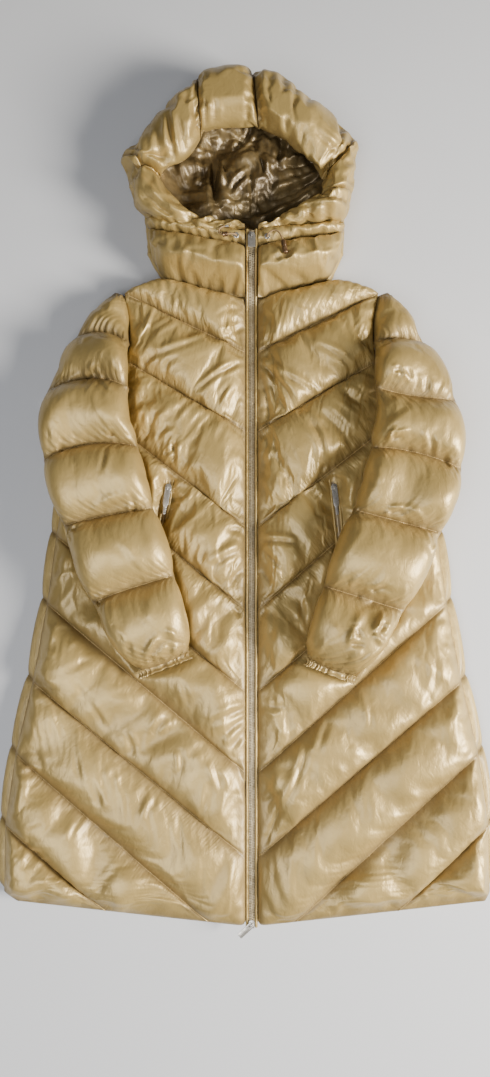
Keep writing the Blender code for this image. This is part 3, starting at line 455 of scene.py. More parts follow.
def sewing_thread():
    """Thread whose tone and height vary with its twist."""
    finish = Finish("sewing_thread", Roughness=0.5, Sheen_Weight=0.1)
    twist = finish.noise(finish.place(), 3000.0, 1.0, 0.5)
    colour = finish.mix(twist, (0.300, 0.185, 0.070, 1.0), (0.520, 0.350, 0.160, 1.0))
    return finish.feed(Base_Color=colour, Normal=finish.bump(twist, 0.0001, 0.5))


TAPE = tape_cloth()
CHAMPAGNE = brushed_metal("champagne_teeth", (0.570, 0.480, 0.310), (0.400, 0.320, 0.190), 0.36, 0.6)
NICKEL = brushed_metal("bright_nickel", (0.720, 0.690, 0.630), (0.470, 0.440, 0.385), 0.28, 0.8)
BROWN_METAL = brushed_metal("brown_metal", (0.230, 0.140, 0.072), (0.110, 0.062, 0.030), 0.24, 0.5)
BRAID = braided_cord()
THREAD = sewing_thread()

# %% [markdown]
# ## The body's quilting
# Each front is one cloth quilted along nine slanting seams that fall towards the zip. A row number counts
# those seams from the neck down, and a share runs along a row from the zip to the side, so every point of
# the front has two coordinates that follow the quilting. The tables are the coat's own sizes.

# %% Sizes of the body
WAIST = -0.170  # the tables count y from the waist, this far from the coat's origin
GAP = 0.0003
BACK_THICK = 0.024
FRONT_SEAM = 0.0050
FRONT_PUFF = 0.0310
EDGE_THICK = 0.0032
ROUNDING = 0.030
SCALLOP = 0.006
CELL = 0.0046  # the size of a cloth grid's cells

BODY_ROWS = np.array([
    # seam, start x, start y, end x, end y
    (0.00, 0.010, 0.466, 0.143, 0.498),
    (1.00, 0.010, 0.378, 0.205, 0.472),
    (1.35, 0.010, 0.333, 0.197, 0.430),
    (1.65, 0.010, 0.294, 0.196, 0.400),
    (2.00, 0.010, 0.249, 0.200, 0.360),
    (2.50, 0.010, 0.172, 0.205, 0.315),
    (2.80, 0.010, 0.125, 0.218, 0.288),
    (3.00, 0.010, 0.094, 0.240, 0.272),
    (3.25, 0.010, 0.061, 0.268, 0.262),
    (4.00, 0.010, -0.038, 0.287, 0.195),
    (5.00, 0.010, -0.166, 0.305, 0.080),
    (6.00, 0.010, -0.292, 0.318, -0.027),
    (7.00, 0.010, -0.421, 0.339, -0.150),
    (7.62, 0.010, -0.527, 0.354, -0.217),
    (8.00, 0.066, -0.521, 0.364, -0.262),
    (9.00, 0.226, -0.504, 0.378, -0.372),
    (10.0, 0.362, -0.489, 0.378, -0.473),
])
SIDE_SHIFT = {"right": 0.0075, "left": -0.0075}
SIGN = {"right": -1.0, "left": 1.0}
SEEDS = {"right": 11, "left": 12}
POCKET_AT = 0.49
POCKET_ROWS = (3.12, 4.42)

SLEEVE_RISE = 0.048
SLEEVE_UNDER = 0.026
SLEEVE_PUFF = 0.0340
SLEEVE_SLIT = 0.0020
SLEEVE_END_HALF = 0.0075
FRONT_UNDER_SLEEVE = 0.0420
CUFF_LENGTH = 0.012
CUFF_HALF_HEIGHT = 0.0085
BACK_BOLSTER = 0.014

SLEEVE_ROWS = {
    "right": np.array([
        # seam, inner x, inner y, outer x, outer y
        (0.00, 0.2062, 0.4700, 0.222, 0.4760),
        (0.50, 0.1978, 0.4260, 0.252, 0.4440),
        (1.00, 0.1976, 0.3860, 0.282, 0.3960),
        (1.50, 0.1930, 0.3420, 0.313, 0.3530),
        (2.00, 0.1920, 0.3060, 0.333, 0.3000),
        (2.40, 0.1900, 0.2560, 0.333, 0.2520),
        (3.00, 0.176, 0.2150, 0.327, 0.1910),
        (3.50, 0.166, 0.1650, 0.312, 0.1400),
        (4.00, 0.152, 0.1190, 0.294, 0.0900),
        (5.00, 0.119, 0.0160, 0.250, -0.0270),
        (6.00, 0.092, -0.0980, 0.184, -0.1340),
    ]),
    "left": np.array([
        (0.00, 0.2062, 0.4700, 0.222, 0.4760),
        (0.50, 0.1978, 0.4260, 0.250, 0.4440),
        (1.00, 0.1976, 0.3860, 0.278, 0.3870),
        (1.50, 0.1930, 0.3420, 0.306, 0.3470),
        (2.00, 0.1920, 0.3060, 0.328, 0.2900),
        (2.40, 0.1930, 0.2560, 0.331, 0.2400),
        (3.00, 0.186, 0.2140, 0.330, 0.1760),
        (3.50, 0.174, 0.1650, 0.316, 0.1240),
        (4.00, 0.156, 0.1170, 0.296, 0.0790),
        (5.00, 0.110, 0.0000, 0.238, -0.0400),
        (6.00, 0.080, -0.1080, 0.168, -0.1420),
    ]),
}


def row_ends(side, row, widen=0.0):
    """Where rows of the body start and end in plan, the ends moved out along the rows."""
    start = np.stack([column(BODY_ROWS, 1, row), column(BODY_ROWS, 2, row)])
    shift = SIDE_SHIFT[side] * smoothstep(3.0, 4.0, row)
    end = np.stack([column(BODY_ROWS, 3, row) + shift, column(BODY_ROWS, 4, row)])
    along = (end - start) / np.hypot(*(end - start))
    return start, end + along * widen


def even_rows(lengths, cell):
    """Row numbers that split each baffle into whole steps about a cell long."""
    rows = [np.linspace(k, k + 1, max(6, round(size / cell)), endpoint=False)
            for k, size in enumerate(lengths)]
    return np.concatenate([*rows, [float(len(lengths))]])


def cuff_direction(side):
    """The unit vector in plan out of the sleeve's end."""
    last = SLEEVE_ROWS[side][-1]
    across = np.array([last[3] - last[1], last[4] - last[2]])
    return np.array([across[1], -across[0]]) / math.hypot(*across)


def sleeve_line(side):
    """The sleeve's outline over the front, from the armhole down its inner edge and back up."""
    rows = SLEEVE_ROWS[side][SLEEVE_ROWS[side][:, 0] >= 1.0]
    along = cuff_direction(side) * (CUFF_LENGTH + 0.003)
    return np.vstack([rows[:, 1:3], rows[-1, 1:3] + along, rows[-1, 3:5] + along, rows[::-1, 3:5]])


def front_ceiling(side, x, y):
    """The greatest height of a front under and near the sleeve that lies on it."""
    clear = distance_to_line(SIGN[side] * x, y - WAIST, sleeve_line(side))
    return FRONT_UNDER_SLEEVE + 0.030 * smoothstep(-0.010, 0.020, clear)


def held_under(height, base, ceiling):
    """A height over a base, bent over softly so that it stays under a ceiling: h / (1 + (h/c)^4)^(1/4)."""
    over, most = height - base, ceiling - base
    return base + over / (1.0 + np.clip(over / most, 0.0, None) ** 4) ** 0.25


# %% [markdown]
# ## Inflating the cloth
# A down baffle is two cloths sewn together along lines and filled until they are round. The cloth is a
# little longer than the seam that gathers it, which is what makes the short wrinkles that run square to
# every seam. So each panel starts as a smooth low pillow, its seams are pinned, and Blender's cloth
# solver blows it up with a cloth that wants to be some percent larger than the pillow. Each finished
# grid is then split once, as a subdivision surface would, but with its sewn rows kept in place.

# %% The cloth solver
STEPS = 24
CLOTH_KINDS = {
    # pressure, how much longer than its start the cloth wants to be, stiffness against bending
    "quilt": (5.5, 0.12, 0.012),
    "back": (4.0, 0.10, 0.06),
    "roll": (4.5, 0.12, 0.012),
    "band": (4.5, 0.06, 0.02),
    "lining": (0.15, 0.16, 0.003),
}
cloths = {}


def start_cloth(name, kind, points, sewn, seam, around=False):
    """Notes a grid of points as a cloth to blow up, with the places that are sewn down."""
    pressure, slack, bend = CLOTH_KINDS[kind]
    faces = grid_faces(*points.shape[:2], around)
    if around:
        inside_out = signed_volume(points, faces) < 0
    else:
        u, v = np.diff(points[:2, :2], axis=1)[0, 0], np.diff(points[:2, :2], axis=0)[0, 0]
        inside_out = np.cross(u, v)[2] < 0
    piece = new_piece("cloth_" + name, points, faces[:, ::-1] if inside_out else faces, SHELL)
    group = piece.vertex_groups.new(name="sewn")
    group.add(np.flatnonzero(sewn.ravel()).tolist(), 1.0, "REPLACE")
    cloth = piece.modifiers.new("Inflate", "CLOTH")
    rules = cloth.settings
    rules.quality = 4
    rules.mass = 0.12
    rules.tension_stiffness = 12.0
    rules.compression_stiffness = 12.0
    rules.shear_stiffness = 4.0
    rules.bending_stiffness = bend
    rules.tension_damping = 6.0
    rules.compression_damping = 6.0
    rules.shear_damping = 4.0
    rules.bending_damping = 0.5
    rules.air_damping = 3.0
    rules.vertex_group_mass = "sewn"
    rules.use_pressure = True
    rules.uniform_pressure_force = pressure
    rules.shrink_min = -slack
    rules.effector_weights.gravity = 0.0
    cloth.collision_settings.use_collision = False
    cloth.point_cache.frame_start = 1
    cloth.point_cache.frame_end = STEPS + 1
    cloths[name] = (piece, points, seam)


def run_cloth():
    """Steps every noted cloth together and gives each one's last grid, with its seam numbers."""
    scene = bpy.context.scene
    steps = STEPS
    for step in range(1, steps + 1):
        scene.frame_set(step)
    graph = bpy.context.evaluated_depsgraph_get()
    blown = {}
    for name, (piece, points, seam) in cloths.items():
        mesh = piece.evaluated_get(graph).data
        flat = np.empty(len(mesh.vertices) * 3, np.float32)
        mesh.vertices.foreach_get("co", flat)
        grid = flat.reshape(points.shape).astype(float)
        blown[name] = np.dstack([grid, seam])
    for piece, _, _ in cloths.values():
        mesh = piece.data
        bpy.data.objects.remove(piece)
        bpy.data.meshes.remove(mesh)
    scene.frame_set(1)
    return blown


def split_once(grid, closed, kept=None):
    """Rows with a new one between each two. An old row becomes (before + 6 own + after) / 8, as on a
    cubic B-spline, unless it is kept, and the new ones lie halfway."""
    before, after = np.roll(grid, 1, axis=0), np.roll(grid, -1, axis=0)
    own = (before + 6.0 * grid + after) / 8.0
    if kept is not None:
        own[kept] = grid[kept]
    if not closed:
        own[[0, -1]] = grid[[0, -1]]
    out = np.empty((2 * len(grid), *grid.shape[1:]))
    out[0::2], out[1::2] = own, (grid + after) / 2.0
    return out if closed else out[:-1]


def split_grid(grid, around=False, kept=None):
    """A grid with twice the rows and twice the columns."""
    across = split_once(grid.transpose(1, 0, 2), around)
    return split_once(across.transpose(1, 0, 2), False, kept)


def seam_rows(rows):
    """Which of a grid's rows are seams."""
    return np.flatnonzero(on_seam(rows))


def seam_distance(row, widths):
    """How far a row lies from its nearest seam, in metres."""
    at = np.clip(np.floor(row).astype(int), 0, len(widths) - 1)
    return np.minimum(row - np.floor(row), np.ceil(row) - row) * np.asarray(widths)[at]


def seam_number(row, widths, reach=0.0035):
    """1 on a whole-numbered row and e^-(d/reach)^2 at a distance d beside it."""
    return np.exp(-((seam_distance(row, widths) / reach) ** 2))


def tube(name, grid, nodes, sharp=70, quilt=None):
    """A padded piece from a grid whose columns go right round, with its ends closed."""
    faces = tube_faces(*grid.shape[:2])
    piece = new_piece(name, grid[..., :3], faces, SHELL, grid[..., 3], sharp, True, quilt)
    print(name, len(faces), "faces")
    return dress(piece, nodes)


def slab(name, grid, base, nodes, quilt):
    """A padded piece from the grid of its upper side, closed by a flat underside at a height."""
    rows, columns = grid.shape[:2]
    top = grid[..., :3].reshape(-1, 3)
    low = np.concatenate([grid[:, 0, :3], grid[:, -1, :3]])
    low[:, 2] = base
    first, last = np.arange(rows) * columns, np.arange(rows) * columns + columns - 1
    under, far = rows * columns + np.arange(rows), rows * columns + rows + np.arange(rows)
    borders = ((first, under), (last, far), (under, far))
    walls = [np.stack([a[:-1], a[1:], b[1:], b[:-1]], -1) for a, b in borders]
    ends = [[*range(columns), far[0], under[0]],
            [*range((rows - 1) * columns, rows * columns), far[-1], under[-1]]]
    faces = join_faces(grid_faces(rows, columns), *walls, ends)
    seam = np.concatenate([grid[..., 3].ravel(), np.zeros(2 * rows)])
    quilt = np.concatenate([quilt.reshape(-1, 3), np.zeros((2 * rows, 3))])
    piece = new_piece(name, np.concatenate([top, low]), faces, SHELL, seam, 70, True, quilt)
    print(name, len(faces), "faces")
    return dress(piece, nodes)


# %% Fronts
BAFFLE_WIDTHS = (0.075, 0.105, 0.115, 0.100, 0.095, 0.090, 0.092, 0.085, 0.085, 0.080)
FRONT_COLUMNS = 84
FRONT_BASE = BACK_THICK + GAP
START_PUFF = 0.70
SEAM_HEIGHT = 0.0095
POCKET_SEAM = 0.0042
POCKET_SHARE = 0.012  # half the width of the strip that is sewn down at the pocket, as a share of a row
ARMHOLE_RISE = 0.0110
UNEVEN_START = 0.0009


def pocket_flat(row, share):
    """1 along the strip that the pocket's zip lies in, 0 away from it."""
    down = smoothstep(POCKET_ROWS[0] - 0.12, POCKET_ROWS[0], row)
    down = down * (1.0 - smoothstep(POCKET_ROWS[1], POCKET_ROWS[1] + 0.12, row))
    return down * (1.0 - smoothstep(0.018, 0.060, np.abs(share - POCKET_AT)))


def front_points(side, rows, shares):
    """A front's start: rows and shares to a low smooth pillow with its seams down."""
    row, share = np.meshgrid(rows, shares, indexing="ij")
    start, end = row_ends(side, row, SCALLOP * puff(row) * (row < 1.0))
    length = np.hypot(*(end - start))
    point = start + (end - start) * share
    x, y = SIGN[side] * point[0], point[1] + WAIST
    edges = quarter_round(share * length, ROUNDING) * quarter_round((1.0 - share) * length, ROUNDING)
    flat = pocket_flat(row, share)
    rise = START_PUFF * FRONT_PUFF * puff(row) * (1.0 - flat)
    low = SEAM_HEIGHT + (POCKET_SEAM - SEAM_HEIGHT) * flat
    lifted = ARMHOLE_RISE * smoothstep(0.3, 0.9, row) * (1.0 - smoothstep(2.3, 2.9, row))
    edge = EDGE_THICK + lifted * smoothstep(0.55, 0.95, share)
    height = FRONT_BASE + edge + (np.maximum(low - edge, 0.0) + rise) * edges
    uneven = ripples(share * length, row * 0.1, 14, (0.012, 0.045), 0.0, SEEDS[side])
    height = height + UNEVEN_START * uneven * edges * puff(row)
    height = held_under(height, FRONT_BASE, front_ceiling(side, x, y))
    # Painted shade: the seam number, which paints the cloth browner on each seam and along the zip's edge.
    seam = np.maximum(seam_number(row, BAFFLE_WIDTHS), 0.7 * np.exp(-((share * length / 0.006) ** 2)))
    return np.stack([x, y, height], -1), row, share, seam


FRONT_ROWS = even_rows(BAFFLE_WIDTHS, CELL)


def start_front(side):
    """A front as cloth, sewn down at its seams, its edges and along the pocket."""
    points, row, share, seam = front_points(side, FRONT_ROWS, np.linspace(0.0, 1.0, FRONT_COLUMNS + 1))
    sewn = on_seam(row) | (share == 0.0) | (share == 1.0)
    pocket = (np.abs(share - POCKET_AT) < POCKET_SHARE) & (row > POCKET_ROWS[0]) & (row < POCKET_ROWS[1])
    start_cloth("front_" + side, "quilt", points, sewn | pocket, seam)


for side in SIGN:
    start_front(side)

# %% [markdown]
# ## Sleeves
# A sleeve is a tube that lies flat: its under layer rests on the front, its upper layer is blown up, and
# five seams tie it in round, like string round a parcel. The grid runs down the sleeve in rows and round
# the tube in shares, under first and back over the top.

# %% Sleeves
SLEEVE_WIDTHS = (0.070, 0.088, 0.100, 0.100, 0.115, 0.110)
SLEEVE_BOW = {
    # how far each seam arches towards the shoulder
    "right": (0.0, 0.011, 0.020, 0.014, 0.003, 0.002, -0.004),
    "left": (0.0, 0.006, -0.006, 0.008, 0.000, 0.000, -0.004),
}
SLEEVE_TIED = 0.0105  # half the thickness at a seam
SLEEVE_ACROSS = 32
SLEEVE_END = 6.0
SLEEVE_TUBE = even_rows(SLEEVE_WIDTHS, CELL)


def body_outline(side):
    """The back's edge from the shoulder down to the hem's corner, in plan, for one half."""
    rows = BODY_ROWS[BODY_ROWS[:, 0] >= 1.0, 0]
    reach = BACK_BOLSTER * smoothstep(3.0, 4.0, rows)
    return row_ends(side, rows, reach + SCALLOP * (rows > 3.0))[1].T


def sleeve_points(side, rows, shares):
    """A sleeve's start: for each row the under layer's points, then the upper layer's on the way back."""
    row, share = np.meshgrid(rows, shares, indexing="ij")
    table = SLEEVE_ROWS[side]
    inner = np.stack([column(table, 1, row), column(table, 2, row)])
    outer = np.stack([column(table, 3, row), column(table, 4, row)])
    across = (outer - inner) / np.hypot(*(outer - inner))
    bulge = SCALLOP * puff(row) * (row < SLEEVE_END)
    drawn = 0.0065 * (1.0 - quarter_round(6.0 - row, 0.22))
    shoulder = 0.009 * smoothstep(0.10, 0.80, row) * (1.0 - smoothstep(1.10, 1.90, row))
    outer = outer + across * (bulge + shoulder - SCALLOP * smoothstep(0.0, 1.0, row) - drawn)
    nestled = 0.0025 * (1.0 - smoothstep(1.5, 2.3, row))
    inner = inner - across * (bulge * smoothstep(2.0, 2.4, row) - drawn + nestled)
    length = np.hypot(*(outer - inner))
    point = inner + (outer - inner) * share
    bow = np.interp(row, np.arange(7.0), SLEEVE_BOW[side]) * 4.0 * share * (1.0 - share)
    point = point + np.stack([across[1] * -1.0, across[0]]) * bow
    past_side = -distance_to_line(*point, body_outline(side))
    climbed = smoothstep(0.45, 1.70, row)
    under = SLEEVE_UNDER + (SLEEVE_END_HALF - SLEEVE_UNDER) * smoothstep(5.4, 6.0, row)
    low = SLEEVE_RISE * climbed * (1.0 - smoothstep(0.010, 0.060, past_side))
    middle = SLEEVE_RISE * climbed * (1.0 - smoothstep(0.010, 0.110, past_side)) + under
    ends = quarter_round(share * length, ROUNDING) * quarter_round((1.0 - share) * length, ROUNDING)
    plump = np.where(row > 5.5, puff(row, 0.34), puff(row))
    thick = SLEEVE_TIED + 0.74 * SLEEVE_PUFF * plump
    thick = SLEEVE_END_HALF + (thick - SLEEVE_END_HALF) * quarter_round(6.0 - row, 0.16)
    wedge = ARMHOLE_RISE * smoothstep(0.3, 0.9, row) * (1.0 - smoothstep(2.3, 2.9, row))
    wedge = wedge * (1.0 - smoothstep(0.05, 0.45, share))
    uneven = 0.0012 * ripples(share * length, row * 0.1, 14, (0.014, 0.05), 0.0, 20 + SEEDS[side])
    edge = EDGE_THICK + wedge
    over = middle + SLEEVE_SLIT + edge + np.maximum(thick - edge, 0.0) * ends
    over = over + uneven * ends * puff(row)
    below = middle - EDGE_THICK + (low - middle + EDGE_THICK) * ends
    x, y = SIGN[side] * point[0], point[1] + WAIST
    layers = [np.stack([x, y, height], -1) for height in (below, over)]
    both = np.concatenate([layers[0], layers[1][:, ::-1]], axis=1)
    return both, np.concatenate([row, row], axis=1), np.concatenate([share, share[:, ::-1] + 2.0], axis=1)


def start_sleeve(side):
    """A sleeve as cloth, tied at its seams and held where it rests on what lies under it."""
    shares = 0.5 - 0.5 * np.cos(np.linspace(0.0, math.pi, SLEEVE_ACROSS + 1))
    shares = 0.4 * shares + 0.6 * np.linspace(0.0, 1.0, SLEEVE_ACROSS + 1)
    points, row, share = sleeve_points(side, SLEEVE_TUBE, shares)
    sewn = on_seam(row) | ((share > 0.16) & (share < 0.84))
    sewn[:, [0, -1]] |= row[:, [0, -1]] <= 2.0
    # Painted shade: the seam number paints the cloth browner on each seam.
    seam = seam_number(row, SLEEVE_WIDTHS)
    start_cloth("sleeve_" + side, "quilt", points, sewn, seam, around=True)


for side in SIGN:
    start_sleeve(side)

# %% [markdown]
# ## Back
# The back lies under the fronts and shows only as a bolster past the side seams, gathered at the same
# seams as the fronts. Each half is a closed ring of points for every row: along the underside to the
# side, round the bolster and back over the flat top. Only the bolster is blown up.

# %% Back
BACK_GROOVE = 0.005
BACK_ROUNDING = 0.020
BACK_MIDDLE = 0.012
BACK_NECK_Y = 0.4990
HEM_LINE = np.array([(-0.02, -0.528), (0.0, -0.527), (0.066, -0.521), (0.226, -0.504), (0.366, -0.489)])
HEM_CORNER = 7.62
NEAR_CENTRE = np.array([0.0, 0.003, 0.007, 0.012, 0.020])
NEAR_SIDE = np.array([0.044, 0.034, 0.026, 0.020, 0.0155, 0.0115, 0.008, 0.005, 0.0025, 0.0008, 0.0])


def back_points(side):
    """One half of the back: rings of points over rows, where a point's height follows from how far it
    lies from the side, the hem and the neck, as quarter circles round the bolster's middle height."""
    row = FRONT_ROWS[:, None]
    reach = BACK_BOLSTER * smoothstep(3.0, 4.0, row)
    start, end = row_ends(side, row[:, 0], (reach + SCALLOP * puff(row) * smoothstep(3.0, 3.3, row))[:, 0])
    start[0] = np.where(FRONT_ROWS <= HEM_CORNER, 0.0002, start[0])
    start[1] += (BACK_NECK_Y - BODY_ROWS[0][2]) * np.maximum(0.0, 1.0 - FRONT_ROWS)
    length = np.hypot(*(end - start))[:, None]
    near = NEAR_CENTRE * np.minimum(1.0, 0.35 * length / NEAR_CENTRE[-1])
    far = length - NEAR_SIDE * np.minimum(1.0, 0.55 * length / NEAR_SIDE[0])
    gap = far[:, :1] - near[:, -1:]
    run = np.concatenate([near, near[:, -1:] + gap * np.array([0.33, 0.67]), far], axis=1)
    share = run / length
    x = start[0][:, None] + (end - start)[0][:, None] * share
    y = start[1][:, None] + (end - start)[1][:, None] * share
    side_way = length - run
    hem_way = np.abs(distance_to_line(x, y, HEM_LINE))
    neck_way = row * 0.09 + 0.0 * run
    held = quarter_round(hem_way, 0.014) * quarter_round(neck_way, BACK_ROUNDING)
    groove = BACK_GROOVE * (1.0 - smoothstep(0.0, 0.3, np.minimum(row % 1.0, 1.0 - row % 1.0)))
    under = quarter_round(side_way, BACK_ROUNDING) * held
    over = quarter_round(side_way, np.maximum(reach, 0.004)) * held
    tied = 0.40 + 0.60 * puff(row) ** 0.6
    tied = tied + (1.0 - tied) * smoothstep(0.004, 0.022, side_way)
    low = BACK_MIDDLE + (groove - BACK_MIDDLE) * under * tied
    high = BACK_MIDDLE + (BACK_THICK - BACK_MIDDLE) * over * tied
    rise = np.where(side_way > reach + 0.001, high + (BACK_THICK - high) * (over > 0.98), high)
    layers = [np.stack([SIGN[side] * x, y + WAIST, height], -1) for height in (low, rise)]
    ring = np.concatenate([layers[0], layers[1][:, ::-1]], axis=1)
    loose = (side_way > 0) & (side_way < 0.030)
    loose = np.concatenate([loose, ((side_way > 0) & (side_way < reach - 0.0005))[:, ::-1]], axis=1)
    return ring, np.broadcast_to(row, (len(row), ring.shape[1])), loose


def start_back(side):
    """One half of the back as cloth, of which only the bolster is loose."""
    points, row, loose = back_points(side)
    sewn = ~loose | on_seam(row)
    # The seam number paints shade, browner, on the back's seams.
    start_cloth("back_" + side, "back", points, sewn, seam_number(row, BAFFLE_WIDTHS), around=True)


for side in SIGN:
    start_back(side)

# %% [markdown]
# ## Hood and collar
# The hood's edge is a fat padded roll round the face opening, cut as two sides and a gusset over the top.
# Below it a narrow channel holds the cord, and the collar is one more baffle. Each is a profile carried
# along a row of sections, smooth between them, and blown up like the rest.

# %% Sizes of the hood and the collar
HOOD_SIDE = {
    "right": np.array([
        # outer x, outer y, inner x, inner y, underside, top
        (-0.0870, 0.8190, -0.0820, 0.7225, 0.0246, 0.090),
        (-0.1020, 0.8110, -0.0860, 0.7150, 0.0246, 0.099),
        (-0.1250, 0.7910, -0.0950, 0.7010, 0.0246, 0.099),
        (-0.1500, 0.7650, -0.1070, 0.6880, 0.0246, 0.094),
        (-0.1820, 0.7280, -0.1250, 0.6770, 0.0246, 0.087),
        (-0.2120, 0.6990, -0.1440, 0.6660, 0.0246, 0.076),
        (-0.2040, 0.6720, -0.1470, 0.6560, 0.0246, 0.074),
        (-0.1950, 0.6380, -0.1400, 0.6400, 0.0246, 0.084),
        (-0.1840, 0.6120, -0.1270, 0.6220, 0.0246, 0.091),
        (-0.1520, 0.5910, -0.1090, 0.6050, 0.0260, 0.092),
        (-0.1120, 0.5790, -0.0840, 0.5970, 0.0360, 0.091),
        (-0.0740, 0.5700, -0.0600, 0.5900, 0.0480, 0.088),
        (-0.0400, 0.5670, -0.0350, 0.5815, 0.0600, 0.084),
        (-0.0105, 0.5645, -0.0115, 0.5710, 0.0660, 0.078),
    ]),
    "left": np.array([
        (0.0015, 0.8280, 0.0110, 0.7350, 0.0246, 0.090),
        (0.0180, 0.8260, 0.0220, 0.7320, 0.0246, 0.099),
        (0.0577, 0.8130, 0.0500, 0.7160, 0.0246, 0.099),
        (0.0900, 0.7900, 0.0720, 0.6980, 0.0246, 0.097),
        (0.1250, 0.7640, 0.0940, 0.6800, 0.0246, 0.090),
        (0.1710, 0.7250, 0.1080, 0.6630, 0.0246, 0.077),
        (0.1700, 0.6960, 0.1110, 0.6470, 0.0246, 0.074),
        (0.1660, 0.6560, 0.1110, 0.6320, 0.0246, 0.084),
        (0.1600, 0.6220, 0.1040, 0.6180, 0.0246, 0.091),
        (0.1490, 0.5945, 0.0950, 0.6090, 0.0260, 0.092),
        (0.1200, 0.5805, 0.0800, 0.6000, 0.0360, 0.091),
        (0.0850, 0.5735, 0.0630, 0.5920, 0.0480, 0.088),
        (0.0500, 0.5680, 0.0400, 0.5830, 0.0600, 0.084),
        (0.0105, 0.5645, 0.0115, 0.5710, 0.0660, 0.078),
    ]),
}
HOOD_GUSSET = np.array([
    (-0.0858, 0.8176, -0.0810, 0.7230, 0.0246, 0.090),
    (-0.0720, 0.8250, -0.0690, 0.7290, 0.0246, 0.099),
    (-0.0430, 0.8300, -0.0370, 0.7360, 0.0246, 0.101),
    (-0.0140, 0.8320, -0.0040, 0.7360, 0.0246, 0.099),
    (0.0002, 0.8282, 0.0098, 0.7352, 0.0246, 0.090),
])
HOOD_CREASES = {
    # section, lean in sections, depth
    "right": ((5.12, 0.35, 0.019),),
    "left": ((5.30, 0.9, 0.018), (7.70, 0.1, 0.016)),
}
BRIM_PROFILE = np.array([
    # share of the way in to the face, share of the height
    (0.05, 0.00), (0.00, 0.28), (0.09, 0.68), (0.28, 0.93), (0.52, 1.00), (0.78, 0.92),
    (0.96, 0.74), (1.00, 0.56), (0.92, 0.42), (0.62, 0.38), (0.42, 0.22), (0.36, 0.00),
])
CORD_CHANNEL = np.array([
    # face x, face y, hem x, hem y, underside, top
    (0.0105, 0.5630, 0.0105, 0.5415, 0.0560, 0.075),
    (0.0400, 0.5655, 0.0400, 0.5475, 0.0500, 0.078),
    (0.0740, 0.5685, 0.0740, 0.5530, 0.0400, 0.079),
    (0.1110, 0.5730, 0.1120, 0.5585, 0.0300, 0.077),
    (0.1450, 0.5800, 0.1480, 0.5650, 0.0246, 0.071),
    (0.1680, 0.5890, 0.1740, 0.5760, 0.0246, 0.058),
])
COLLAR = np.array([
    (0.0105, 0.5405, 0.0105, 0.4670, 0.0400, 0.074),
    (0.0280, 0.5440, 0.0300, 0.4716, 0.0300, 0.084),
    (0.0650, 0.5510, 0.0700, 0.4812, 0.0252, 0.087),
    (0.1100, 0.5575, 0.1150, 0.4920, 0.0246, 0.085),
    (0.1450, 0.5635, 0.1420, 0.5010, 0.0246, 0.075),
    (0.1720, 0.5740, 0.1640, 0.5280, 0.0246, 0.058),
])
COLLAR_REACH = {"right": 0.98, "left": 0.87}
BAND_LIFT = 0.007  # the wearer's right end of the bands lies this much nearer the hood
BAND_PROFILE = np.array([
    # share of the way from the face edge to the hem edge, share of the height
    (0.00, 0.10), (0.00, 0.55), (0.08, 0.84), (0.28, 0.98), (0.50, 1.00), (0.72, 0.96),
    (0.92, 0.70), (1.00, 0.30), (1.00, 0.05), (0.80, 0.00), (0.20, 0.00),
])

EYELETS = {"right": (-0.0245, 0.5515), "left": (0.0245, 0.5500)}
CORD_RADIUS = 0.0013
CORD_ROUTES = {
    "right": np.array([
        (-0.0245, 0.5515, 0.0772), (-0.0248, 0.5515, 0.0786), (-0.0275, 0.5518, 0.0808),
        (-0.0320, 0.5518, 0.0818), (-0.0375, 0.5515, 0.0820), (-0.0455, 0.5505, 0.0820),
        (-0.0505, 0.5530, 0.0818), (-0.0512, 0.5580, 0.0814), (-0.0475, 0.5625, 0.0812),
        (-0.0420, 0.5640, 0.0812),
    ]),
    "left": np.array([
        (0.0245, 0.5500, 0.0772), (0.0246, 0.5502, 0.0786), (0.0264, 0.5523, 0.0809),
        (0.0300, 0.5550, 0.0824), (0.0345, 0.5565, 0.0836), (0.0405, 0.5540, 0.0852),
        (0.0445, 0.5485, 0.0872), (0.0470, 0.5425, 0.0888), (0.0485, 0.5385, 0.0896),
    ]),
}
CORD_LOCK = np.array([(-0.0375, 0.5515, 0.0820), (-0.0455, 0.5505, 0.0820)])
CORD_TIP = np.array([(-0.0416, 0.5641, 0.0812), (-0.0362, 0.5645, 0.0812)])
CORD_TOGGLE = np.array([(0.0487, 0.5380, 0.0899), (0.0530, 0.5165, 0.0899)])


# %% Hood and collar
def even_places(points, cell, closed=False):
    """Places on a smooth curve through points, counted in its points, about a cell apart."""
    points = np.asarray(points, float)
    last = len(points) if closed else len(points) - 1
    fine = np.linspace(0.0, last, 40 * last + 1)
    curve = smooth_through(points, fine, closed)
    run = lengths_along(curve)
    count = max(4, round(run[-1] / cell))
    places = np.interp(np.linspace(0.0, run[-1], count + 1), run, fine)
    return places[:-1] if closed else places


def lofted(sections, profile, ring_size):
    """A profile of (across, up) carried along sections of (start x, y, end x, y, low, top).

    A point lies across of the way between its section's two ends, and up of the way from low to top.
    """
    places = even_places((sections[:, :2] + sections[:, 2:4]) / 2, CELL)
    table = smooth_through(sections, places)
    shape = smooth_through(profile, even_places(profile * ring_size, CELL, closed=True), closed=True)
    across, up = np.broadcast_arrays(shape[None, :, 0], table[:, :1] * 0 + shape[None, :, 1])
    plan = [table[:, k, None] + (table[:, k + 2] - table[:, k])[:, None] * across for k in (0, 1)]
    height = table[:, 4, None] + (table[:, 5] - table[:, 4])[:, None] * np.clip(up, 0.0, None)
    share = np.broadcast_to((places / (len(sections) - 1))[:, None], height.shape)
    run = lengths_along((table[:, :2] + table[:, 2:4]) / 2)
    return np.stack([plan[0], plan[1] + WAIST, height], -1), share, run[:, None] + 0 * height, across, up


